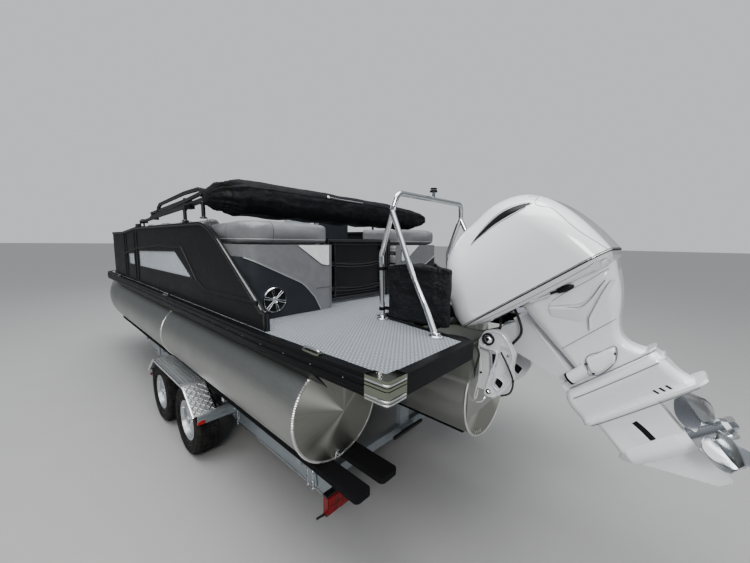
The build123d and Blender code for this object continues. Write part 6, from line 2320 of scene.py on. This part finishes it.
@dataclass
class Sunshade:
    """The folded sunshade's knuckles, arms, clamps and rest posts."""

    pivot: Pair = (4.200, 2.290)
    seat: Pair = (1.740, 2.415)
    y: float = 1.165
    bows: tuple[Pairs, ...] = (
        ((3.44, 2.362), (3.40, 2.420), (3.33, 2.450), (2.90, 2.476), (2.55, 2.497), (2.20, 2.500),
         (1.95, 2.455)),
        ((3.740, 2.322), (3.20, 2.369), (2.60, 2.421), (2.05, 2.468)),
        ((4.140, 2.288), (3.40, 2.332), (2.70, 2.374), (2.05, 2.412)),
    )
    far_end: Pairs = ((1.78, 2.430), (1.64, 2.385))
    links: Pairs = ((4.16, 0.030), (3.66, 0.068), (2.54, 0.078))
    posts: Pairs = ((2.420, 2.236), (1.985, 2.245))
    joint: Pairs = ((-0.022, 0.017), (0.022, 0.017), (0.026, 0.012))

    def height(self, x: float) -> float:
        """Give the lower arm's height at a station."""
        share = (self.pivot[0] - x) / (self.pivot[0] - self.seat[0])
        return self.pivot[1] + share * (self.seat[1] - self.pivot[1])

    @staticmethod
    def post(tall: float) -> Pairs:
        """Give a rest post's profile: its foot, its stem and its rubber cup."""
        foot = ((0, 0.030), (0.010, 0.028), (0.014, 0.0155), (tall - 0.03, 0.0150))
        return (*foot, (tall - 0.028, 0.0215), (tall - 0.004, 0.0215))

    def run_arms(self, arms: Form, sign: int) -> None:
        """Run one side's arms into the cover, whose starboard end lies further aft."""
        y, inner, outer = (sign * (self.y + step) for step in (0.0, -0.036, 0.004))
        arms.bar([at(x, inner, self.height(x) + 0.030) for x in (3.62, 3.2, 2.8, 2.4, 2.0)], 0.0135, 12)
        arms.bar([at(x, y, self.height(x) + 0.060) for x in (2.46, 2.2, 2.0)], 0.0120, 12)
        for run in self.bows:
            reach = run if sign > 0 else (*run[:-1], *self.far_end)
            arms.bar([at(x, outer, z) for x, z in reach], 0.0185, 12)

    def build(self) -> None:
        """Make them."""
        arms, knuckles, mounts = Form(), Form(), Form()
        for sign in SIDES:
            self.run_arms(arms, sign)
            for station, tall in self.links:
                x, z = station - MIDSHIP, self.height(station)
                across = span(sign, self.y - 0.052, self.y + 0.0185)
                knuckles.block((x - 0.018, x + 0.018), across, (z - 0.021, z + tall))
            for x, lift in ((4.125, 0.0), (2.12, 0.05)):
                knuckles.turned(self.joint, at(x, sign * self.y, self.height(x) + lift), outward(sign), 20)
            for x, low in self.posts:
                tall = self.height(x) - 0.020 - low
                mounts.turned(self.post(tall), at(x, sign * 1.214, low), UP, 20)
            mounts.block((4.13 - MIDSHIP, 4.27 - MIDSHIP), span(sign, 1.19, 1.226), (2.2345, 2.262))
        arms.piece("sunshade_arms", "shade_fittings", "sunshade")
        knuckles.piece("sunshade_knuckles", "shade_fittings", "sunshade", soften=0.004)
        mounts.piece("sunshade_posts", "shade_fittings", soften=0.003)


@dataclass
class Transom:
    """What is bolted to the clamp and swivel brackets: caps, nuts, anode, hoses and the loop of line."""

    y: float = 0.195
    tilt_pin: Pair = (0.037, 1.466)
    eye: Pair = (0.022, 1.112)
    cap: Pairs = (
        (-0.004, 0.0405), (0.007, 0.0405), (0.010, 0.0380), (0.010, 0.0300), (0.003, 0.0285),
        (-0.004, 0.0285), (-0.004, 0.0405),
    )
    washer: Pairs = ((-0.003, 0.0270), (0.003, 0.0270), (0.004, 0.0240))
    nut: Pairs = ((0.003, 0.0185), (0.013, 0.0185), (0.0145, 0.0160))
    tip: Pairs = ((0.012, 0.0100), (0.017, 0.0095), (0.0175, 0.0060))
    eye_washer: Pairs = ((-0.002, 0.0165), (0.003, 0.0165), (0.004, 0.0140))
    eye_nut: Pairs = ((0.003, 0.0120), (0.010, 0.0120), (0.0115, 0.0100))
    anode: Pairs = (
        (0.030, 1.392), (-0.022, 1.392), (-0.030, 1.380), (-0.016, 1.288), (-0.006, 1.280),
        (0.012, 1.282),
    )
    anode_inset: Pairs = ((0.010, 1.372), (-0.014, 1.372), (-0.004, 1.302), (0.004, 1.302))
    slot: Pairs = ((-0.020, 1.228), (-0.082, 1.200), (-0.048, 1.128), (0.000, 1.162))
    slot_rim: Pairs = ((-0.026, 1.222), (-0.074, 1.197), (-0.044, 1.138), (-0.006, 1.167))
    plate_rim: Pairs = (
        (0.092, 1.410), (0.092, 1.438), (0.062, 1.500), (0.0, 1.519), (-0.055, 1.500), (-0.118, 1.394),
        (-0.107, 1.310), (-0.114, 1.233), (-0.076, 1.150), (-0.014, 1.088), (0.040, 1.092), (0.016, 1.184),
        (-0.004, 1.282), (-0.020, 1.380), (0.020, 1.402),
    )
    plate_rib: Pairs = ((-0.085, 1.37), (-0.088, 1.31), (-0.060, 1.245))
    bolts: Pairs = (
        (0.060, 1.420), (-0.045, 1.435), (-0.092, 1.385), (-0.085, 1.250), (0.000, 1.250), (-0.002, 1.400),
        (-0.040, 1.112),
    )
    clamp_bolts: tuple[float, ...] = (1.400, 1.340, 1.180, 1.120)
    tube: Path = (
        (0.62, 0.14, 1.30), (0.50, 0.15, 1.44), (0.36, 0.155, 1.515), (0.29, 0.152, 1.530),
        (0.235, 0.145, 1.532),
    )
    fuel_line: Path = (
        (0.60, 0.235, 1.34), (0.40, 0.25, 1.42), (0.24, 0.245, 1.45), (0.13, 0.235, 1.43),
        (0.085, 0.230, 1.36), (0.110, 0.222, 1.24), (0.122, 0.205, 1.15),
    )
    trim_line: Path = (
        (0.055, 0.100, 1.43), (0.010, 0.090, 1.33), (-0.010, 0.085, 1.22), (0.030, 0.080, 1.14),
    )
    side_line: Path = (
        (-0.055, 0.225, 1.405), (-0.105, 0.232, 1.330), (-0.140, 0.226, 1.240), (-0.126, 0.222, 1.160),
        (-0.072, 0.218, 1.120),
    )
    pale_line: Path = (
        (0.108, 0.190, 1.395), (0.080, 0.216, 1.330), (0.066, 0.228, 1.240), (0.085, 0.232, 1.140),
        (0.100, 0.228, 1.060), (0.108, 0.205, 1.030), (0.109, 0.175, 1.040), (0.110, 0.155, 1.085),
    )
    clips: Path = ((0.066, 0.228, 1.240), (-0.140, 0.226, 1.240))

    def caps(self) -> None:
        """Make the black tilt tube caps, their nuts and the lower eye's bolt."""
        black, steel = Form(), Form()
        for sign in SIDES:
            out = outward(sign)
            hub = at(self.tilt_pin[0], sign * (self.y + 0.0135), self.tilt_pin[1])
            eye = at(self.eye[0], sign * (self.y + 0.0055), self.eye[1])
            black.turned(self.cap, hub, out, 40)
            steel.turned(self.washer, hub, out, 32)
            steel.turned(self.nut, hub, out, 6)
            black.turned(self.tip, hub, out, 20)
            black.turned(self.eye_washer, eye, out, 32)
            steel.turned(self.eye_nut, eye, out, 6)
        black.piece("bracket_caps", "gloss_black", soften=0.0008)
        steel.piece("bracket_nuts", "chrome")

    def plates(self) -> None:
        """Make the anodes, the dark inset on each anode, a dark plate of painted shade set back behind the
        slot, and the raised edges of the plates.
        """
        anode, dark, raised = Form(), Form(), Form()

        def flat(form: Form, outline: Pairs, sign: int, y: float, thick: float) -> None:
            """Lay a flat plate on one side of the bracket."""
            form.slab([at(x, sign * y, z) for x, z in outline], (0, sign * thick, 0))

        def rim(outline: Sequence[Pair], sign: int, y: float, radius: float, closed: bool = True) -> None:
            """Run a raised edge along an outline."""
            raised.bar([at(x, sign * y, z) for x, z in outline], radius, 8, closed)

        for sign in SIDES:
            flat(anode, self.anode, sign, self.y - 0.0085, 0.011)
            flat(dark, self.anode_inset, sign, self.y + 0.0027, 0.0012)
            # painted shade: a dark plate 30 mm inside the bracket shows the shade behind the slot
            flat(dark, self.slot, sign, self.y - 0.030, 0.003)
            rim(drawn(self.slot_rim, 5, True), sign, self.y + 0.001, 0.0052)
            rim(drawn(self.plate_rim, 5, True), sign, self.y - 0.001, 0.0075)
            rim(self.plate_rib, sign, self.y - 0.002, 0.006, False)
        anode.piece("bracket_anodes", "zinc_bolt", soften=0.0015)
        dark.piece("bracket_insets", "seam_black")
        raised.piece("bracket_rims", "bracket_white")

    def fasten(self) -> None:
        """Set the bolts in the plates and through the transom."""
        y = self.y + 0.0005
        spots = [Spot(at(x, s * y, z), outward(s), FORWARD) for s in SIDES for x, z in self.bolts]
        Repeat("bracket_bolts", "chrome", (0.018, 0.018, 0.012), sides=6).lay(spots)
        spots = [Spot(at(0.102, s * 0.140, z), AFT, PORT) for s in SIDES for z in self.clamp_bolts]
        Repeat("transom_bolts", "chrome", (0.024, 0.024, 0.030), sides=6).lay(spots)

    def hoses(self) -> None:
        """Run the thick rigging tube, the fuel line, the pale loop and the dark lines round the bracket."""
        thick, lines, pale, clips = Form(), Form(), Form(), Form()
        thick.bar(route(self.tube, 24), lambda t: 0.0265 * (1 + 0.055 * math.sin(2 * math.pi * 44 * t)), 16)
        thick.piece("rigging_tube", "rubber")
        for run, radius in ((self.fuel_line, 0.0075), (self.trim_line, 0.0085), (self.side_line, 0.0060)):
            lines.bar(route(run, 10), radius, 10)
        lines.piece("bracket_hoses", "rubber")
        pale.bar(route(self.pale_line, 12), 0.0042, 8)
        pale.piece("pale_line", "hose_pale")
        for place in self.clips:
            clips.turned(((-0.006, 0.0075), (0.006, 0.0075)), at(*place), Vector((0, 0.1, 1)), 16)
        clips.piece("line_clips", "seam_black")

    def build(self) -> None:
        """Make them all."""
        self.caps()
        self.plates()
        self.fasten()
        self.hoses()


@dataclass
class Trailer:
    """The trailer's small parts: brackets, markers, lamps, tread, lug nuts and the fender's pattern."""

    rail: float = 0.942
    wheels: tuple[tuple[float, str], ...] = ((-1.020, "aft"), (-0.165, "fwd"))
    track: float = 1.178
    axle: float = 0.333
    lamp: float = -2.8945
    lamp_top: Pair = (0.4725, 0.487)
    lamp_foot: Pair = (0.340, 0.353)
    lamp_bracket: Pairs = ((1.030, 0.352), (1.098, 0.360), (1.100, 0.348), (1.034, 0.338))
    lens: Pair = (0.360, 0.466)
    lens_rib: Pair = (0.409, 0.414)
    lamp_reach: Pair = (0.834, 1.036)
    marker_posts: Pair = (-1.352, 0.218)
    u_bolts: tuple[float, ...] = (-2.620, -2.560, -1.430, -0.690, 0.430, 1.235, 1.290)
    gussets: tuple[float, ...] = (-2.590, -1.40, 0.40, 1.262)
    gusset: Pairs = ((-0.075, 0.372), (0.075, 0.372), (0.060, 0.482), (-0.060, 0.482))
    gusset_bolts: Pairs = ((-0.045, 0.395), (0.045, 0.395), (-0.035, 0.460), (0.035, 0.460))
    lips: Pair = (0.3525, 0.4985)
    slopes: tuple[tuple[float, float, float, float], ...] = (
        (-1.360, 0.5135, -1.100, 0.7225),
        (0.1850, 0.5065, -0.090, 0.7225),
    )
    fender_top: float = 0.7255
    fender_rim: Pairs = (
        (-1.362, 0.506), (-1.30, 0.557), (-1.20, 0.637), (-1.13, 0.692), (-1.06, 0.7195), (-0.98, 0.7225),
        (-0.6, 0.7225), (-0.2, 0.7225), (-0.13, 0.7195), (-0.07, 0.695), (0.0, 0.640), (0.10, 0.565),
        (0.186, 0.500),
    )
    sipe_rows: tuple[tuple[float, int], ...] = ((-0.066, 64), (-0.020, 72), (0.020, 72), (0.066, 64))
    walls: Path = ((0.236, 0.0022, 0.1005), (0.300, 0.0030, 0.1005), (0.206, 0.0030, 0.092))
    hub_cap: Pairs = (
        (0.0, 0.0325), (0.002, 0.0325), (0.0035, 0.030), (0.0045, 0.018), (0.0060, 0.0170),
        (0.0065, 0.0005),
    )
    valve: Pairs = ((0.0, 0.0048), (0.022, 0.0042), (0.024, 0.0030))

    def lamps(self) -> None:
        """Make the tail lamps' black tops, their lenses with ribs, and the bracket of the port one."""
        black, red, rib = Form(), Form(), Form()
        x = self.lamp
        for sign in SIDES:
            y0, y1 = span(sign, *self.lamp_reach)
            wide, face = (y0 - 0.004, y1 + 0.004), (x - 0.0045, x + 0.001)
            black.block((x + 0.004, x + 0.048), wide, self.lamp_top)
            black.block((x + 0.010, x + 0.046), wide, self.lamp_foot)
            red.block((x - 0.0035, x + 0.002), (y0 + 0.008, y1 - 0.008), self.lens)
            for y in (y0 + (y1 - y0) * k / 3 for k in (1, 2)):
                rib.block(face, (y - 0.0022, y + 0.0022), self.lens)
            rib.block(face, (y0 + 0.006, y1 - 0.006), self.lens_rib)
        black.slab([(x + 0.030, y, z) for y, z in self.lamp_bracket], (0.010, 0, 0))
        black.piece("tail_lamp_housings", "light_black", soften=0.002)
        red.piece("tail_lamp_lenses", "lens_deep", soften=0.002)
        rib.piece("tail_lamp_ribs", "light_black")

    def markers(self) -> None:
        """Make the side markers on their angle arms."""
        arm, marker = Form(), Form()
        for sign in SIDES:
            for x in self.marker_posts:
                reach = span(sign, 1.02, 1.268)
                arm.block((x - 0.020, x + 0.020), reach, (0.428, 0.433))
                arm.block((x - 0.020, x - 0.015), reach, (0.428, 0.468))
                marker.block((x - 0.034, x - 0.018), span(sign, 1.222, 1.290), (0.433, 0.462))
        arm.piece("marker_arms", "galvanised_steel", soften=0.0015)
        marker.piece("side_markers", "marker_red", soften=0.004)

    def u_bolt(self, x: float, near: float, far: float) -> list[Vector]:
        """Bend a U-bolt over a rail between two distances across."""
        top = [(near, 0.497), ((near * 3 + far) / 4, 0.507), ((near + far * 3) / 4, 0.507), (far, 0.497)]
        run = [(near, 0.330), (near, 0.42), *top, (far, 0.42), (far, 0.330)]
        return smooth([(x, y, z) for y, z in run], 4)

    def bolts(self) -> None:
        """Make the U-bolts over the rails, the gusset plates, the bolts along them and the rail's flange
        lips, brighter than the rail as a painted highlight on its edges.
        """
        bent, plates, lips = Form(), Form(), Form()
        spots = []
        for sign in SIDES:
            near, far = sign * (self.rail - 0.0565), sign * (self.rail + 0.0065)
            for x in self.u_bolts:
                bent.bar(self.u_bolt(x, near, far), 0.0058, 8)
                spots += [Spot(Vector((x, y, 0.336)), DOWN, FORWARD) for y in (near, far)]
            y = sign * (self.rail + 0.003)
            for x in self.gussets:
                plates.slab([(x + dx, y, z) for dx, z in self.gusset], (0, sign * 0.006, 0))
                for dx, z in self.gusset_bolts:
                    spots.append(Spot(Vector((x + dx, y + sign * 0.010, z)), outward(sign), FORWARD))
        # flange lips in a brighter finish than the rail: partly real lips, partly a painted highlight along
        # the rail's top and bottom edges
        for sign in SIDES:
            across = span(sign, self.rail - 0.001, self.rail + 0.006)
            for z in self.lips:
                lips.block((-2.845, 1.95), across, (z - 0.0045, z + 0.0045))
        lips.piece("rail_lips", "zinc_bolt")
        bent.piece("u_bolts", "zinc_bolt")
        plates.piece("rail_gussets", "galvanised_steel", soften=0.0015)
        Repeat("rail_nuts", "zinc_bolt", (0.019, 0.019, 0.012), sides=6).lay(spots)

    def lugs(self, sign: int) -> list[Spot]:
        """Place the raised bars of the tread pattern on one fender's slopes."""
        bars = []
        for x0, z0, x1, z1 in self.slopes:
            run = Vector((x1 - x0, 0, z1 - z0))
            facing = Vector((-run.z, 0, run.x)) if run.x > 0 else Vector((run.z, 0, -run.x))
            steps = int(run.length / 0.030)
            for i in range(1, steps):
                for j in range(6):
                    spot = Vector((x0, sign * (1.132 + 0.032 * j), z0)) + run * (i / steps)
                    lean = Vector((0, 0.9 if (i + j) % 2 else -0.9, 0))
                    bars.append(Spot(spot + facing.normalized() * 0.0008, facing, run.normalized() + lean))
        return bars

    def fender(self) -> None:
        """Raise the tread pattern over the fenders, with ribs along their tops and a bright rolled rim."""
        ribs, rim = Form(), Form()
        for sign in SIDES:
            for y in (1.135 + 0.032 * j for j in range(6)):
                line = [(x, sign * y, self.fender_top - 0.0035) for x in (-1.06, -0.8, -0.4, -0.13)]
                ribs.bar(line, 0.0046, 8)
            rim.bar([(x, sign * 1.3125, z - 0.003) for x, z in drawn(self.fender_rim, 6)], 0.0062, 8)
        bars = [spot for sign in SIDES for spot in self.lugs(sign)]
        Repeat("tread_lugs", "tread_bright", (0.036, 0.0085, 0.0050), Small.BLOCK).lay(bars)
        ribs.piece("fender_ribs", "tread_bright")
        rim.piece("fender_rims", "chrome")

    def wheel(self, x: float, where: str, sign: int, side: str) -> None:
        """Make one wheel's lug nuts, tread sipes painted dark as shade, sidewall rings, hub cap and valve.

        Args:
            x: the axle's place.
            where: the wheel's word, aft or fwd.
            sign: 1 for port, -1 for starboard.
            side: the side's word.
        """
        tail = f"{where}_{side}"
        body = "wheel_" + tail
        out = outward(sign)
        hub = Vector((x, sign * self.track, self.axle))
        nuts = ring_spots(hub + out * 0.0665, out, 0.052, 5, False)
        Repeat("lug_nuts_" + tail, "chrome", (0.020, 0.020, 0.020), sides=6).lay(nuts, body)
        sipes = []
        for y, count in self.sipe_rows:
            for spot in ring_spots(hub + Vector((0, y, 0)), out, 0.3322, count, True, y * 9):
                sipes.append(Spot(spot.place, spot.facing, spot.along + out * 0.35))
        # painted shade: each sipe is a near-black block standing for the shade inside the groove
        Repeat("sipes_" + tail, "groove_dark", (0.0042, 0.030, 0.0028), Small.BLOCK).lay(sipes, body)
        walls, cap = Form(), Form()
        turns = [2 * math.pi * k / 72 for k in range(72)]
        for reach, thick, depth in self.walls:
            line = [hub + out * depth + Vector((math.cos(a), 0, math.sin(a))) * reach for a in turns]
            walls.bar(line, thick, 6, True)
        walls.piece("sidewall_rings_" + tail, "rubber", body)
        cap.turned(self.hub_cap, hub + out * 0.0835, out, 36)
        stem = hub + out * 0.058 + Vector((0.150, 0, 0.062))
        cap.turned(self.valve, stem, out + Vector((0.4, 0, 0.15)), 10)
        cap.piece("hub_cap_" + tail, "rim_silver", body)

    def build(self) -> None:
        """Make them all."""
        self.lamps()
        self.markers()
        self.bolts()
        self.fender()
        for sign, side in zip(SIDES, ("port", "starboard")):
            for x, where in self.wheels:
                self.wheel(x, where, sign, side)


@dataclass
class Helm:
    """The dash's gauges, screen, switches and throttle, and the wheel's boss."""

    nodes: dict[str, bpy.types.Object]
    gauges: Path = ((0.165, -0.730, 0.040), (0.165, -1.035, 0.040), (0.170, -0.640, 0.030))
    screen: Pairs = ((0.235, -0.985), (0.235, -0.765), (0.335, -0.765), (0.335, -0.985))
    switches: Pair = (0.190, -0.810)
    throttle: Pair = (0.160, -0.600)
    throttle_base: Pairs = ((-0.004, 0.034), (0.022, 0.032), (0.034, 0.022), (0.038, 0.006))
    throttle_rod: Path = ((0.0, 0, 0.02), (0.01, 0, 0.07), (0.03, 0, 0.125))
    boss: Pairs = ((0.014, 0.0445), (0.020, 0.0430), (0.025, 0.0300), (0.026, 0.0005))
    boss_place: Point = (-0.035, -0.870, 2.060)

    def __post_init__(self) -> None:
        """Gather the console's skin."""
        self.skin = Skin(self.nodes["helm_console"])

    def dash(self, x: float, y: float, lift: float = 0.0) -> Vector:
        """Find the dash under a place."""
        return self.skin.drop(Vector((x, y, 2.6)), DOWN, lift)

    def dials(self) -> None:
        """Make the gauges with their rims, ticks and needles."""
        rims, faces, marks = Form(), Form(), Form()
        for x, y, radius in self.gauges:
            spot = self.dash(x, y)
            slope = (self.dash(x + 0.05, y) - spot).normalized()
            up = Vector((-slope.z, 0, slope.x))
            lip, bore = radius + 0.004, radius - 0.002
            edge = ((-0.002, lip), (0.005, lip), (0.007, radius), (0.003, bore), (-0.002, bore))
            rims.turned(edge, spot, up, 40)
            faces.turned(((-0.001, radius - 0.001), (0.002, radius - 0.001), (0.0022, 0.0005)), spot, up, 40)
            for a in (math.radians(-130 + 26 * k) for k in range(11)):
                tick = spot + up * 0.0030 + (slope * math.cos(a) + PORT * math.sin(a)) * (radius * 0.78)
                marks.turned(((-0.0005, 0.0018), (0.0007, 0.0018)), tick, up, 6)
            root = spot + up * 0.0032
            marks.bar([root, root + (slope * 0.7 + Vector((0, 0.7, 0))) * radius * 0.7], 0.0011, 5)
        rims.piece("gauge_rims", "chrome")
        faces.piece("gauge_faces", "gauge_face")
        marks.piece("gauge_marks", "dot_white")

    def display(self) -> None:
        """Make the screen with its bezel, and the row of switches."""
        corner = [self.dash(x, y) for x, y in self.screen]
        lift = Vector((-0.002, 0, 0.012))
        screen, glass, keys = Form(), Form(), Form()
        screen.slab(corner, lift)
        middle = sum(corner, Vector()) / 4
        glass.slab([middle + (c - middle) * 0.88 + lift * 0.92 for c in corner], lift * 0.2)
        for k in range(6):
            x, y, z = self.dash(self.switches[0], self.switches[1] - 0.030 * k, 0.002)
            keys.block((x - 0.012, x + 0.012), (y - 0.010, y + 0.010), (z - 0.003, z + 0.006))
        screen.piece("screen_bezel", "seam_black", soften=0.002)
        glass.piece("screen_glass", "gauge_face")
        keys.piece("switch_row", "seam_black", soften=0.0015)

    def controls(self) -> None:
        """Make the throttle and the wheel's boss."""
        lever, knob, boss = Form(), Form(), Form()
        base = self.dash(*self.throttle)
        knob.turned(self.throttle_base, base, Vector((-0.2, 0, 1)), 28)
        lever.bar(smooth([base + Vector(d) for d in self.throttle_rod], 6), 0.0085, 12)
        knob.bar([base + Vector((0.032, y, 0.130)) for y in (-0.012, 0.0, 0.045, 0.055)], 0.0165, 14)
        knob.piece("throttle_base", "gloss_black")
        lever.piece("throttle_lever", "chrome")
        boss.turned(self.boss, Vector(self.boss_place), Vector((-0.92, 0, 0.39)).normalized(), 36)
        boss.piece("wheel_boss", "chrome", "steering_wheel")

    def build(self) -> None:
        """Make them."""
        self.dials()
        self.display()
        self.controls()


@dataclass
class Drawbar:
    """The winch's strap and handle, the jack's crank and the coupler's latch."""

    drum: Point = (3.830, 0.0, 1.080)
    spool: Pairs = (
        (-0.060, 0.048), (-0.056, 0.050), (-0.052, 0.024), (0.052, 0.024), (0.056, 0.050),
        (0.060, 0.048),
    )
    crank: Path = ((0, 0.06, 0), (0, 0.10, 0), (0.06, 0.112, 0.06), (0.12, 0.115, 0.12))
    crank_grip: Pairs = ((-0.01, 0.013), (0.0, 0.016), (0.09, 0.015), (0.095, 0.010))
    jack: Point = (4.010, 0.100, 0.985)
    jack_crank: Path = ((0, 0, 0), (0, 0, 0.022), (0.0, 0.06, 0.030), (0.0, 0.13, 0.030))
    jack_grip: Pairs = ((-0.004, 0.012), (0.06, 0.015), (0.066, 0.009))
    latch: Point = (4.560, 0.0, 0.470)
    latch_lever: Path = ((-0.05, 0, 0.0), (0.0, 0, 0.030), (0.07, 0, 0.028))

    def build(self) -> None:
        """Make them."""
        strap, steel, black = Form(), Form(), Form()
        drum, jack, latch = Vector(self.drum), Vector(self.jack), Vector(self.latch)
        steel.turned(self.spool, drum, PORT, 28)
        strap.turned(((-0.048, 0.039), (0.048, 0.039)), drum, PORT, 28)
        crank = [drum + Vector(d) for d in self.crank]
        steel.bar(smooth(crank, 6), 0.0085, 10)
        black.turned(self.crank_grip, crank[-1], PORT, 16)
        arm = [jack + Vector(d) for d in self.jack_crank]
        steel.bar(smooth(arm, 6), 0.007, 10)
        black.turned(self.jack_grip, arm[-1], UP, 16)
        steel.bar(smooth([latch + Vector(d) for d in self.latch_lever], 6), 0.010, 10)
        strap.piece("winch_strap", "marker_red")
        steel.piece("drawbar_steel", "zinc_bolt")
        black.piece("drawbar_grips", "rubber")


def dress(nodes: dict[str, bpy.types.Object], record: dict) -> None:
    """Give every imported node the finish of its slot.

    Args:
        nodes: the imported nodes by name.
        record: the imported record, which says which slot each node takes.
    """
    for entry in record["subparts"]:
        data = nodes[entry["node"]].data
        data.materials.clear()
        data.materials.append(FINISHES[entry["material_slot"]].material())
        LOG.info("dressed %s as %s", entry["node"], entry["material_slot"])


def corners(bounds: Iterable[Sequence[float]]) -> list[list[float]]:
    """Turn a pair of corners into plain lists."""
    return [list(corner) for corner in bounds]


def main() -> None:
    """Build the whole scene in order."""
    logging.basicConfig(level=logging.INFO, format="%(message)s")
    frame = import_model()
    model = corners(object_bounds())
    nodes = frame["nodes"]
    dress(nodes, frame["record"])
    Outboard(nodes).build()
    Upholstery(nodes).build()
    Boot().build()
    Bag().build()
    Tubes().build()
    Castings().build()
    Lounges(nodes).build()
    Fence().build()
    TowBar().build()
    Sunshade().build()
    Transom().build()
    Trailer().build()
    Helm(nodes).build()
    Drawbar().build()
    Studio().build()
    {"cad": model, "visual": corners(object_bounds())}


if __name__ == "__main__":
    main()
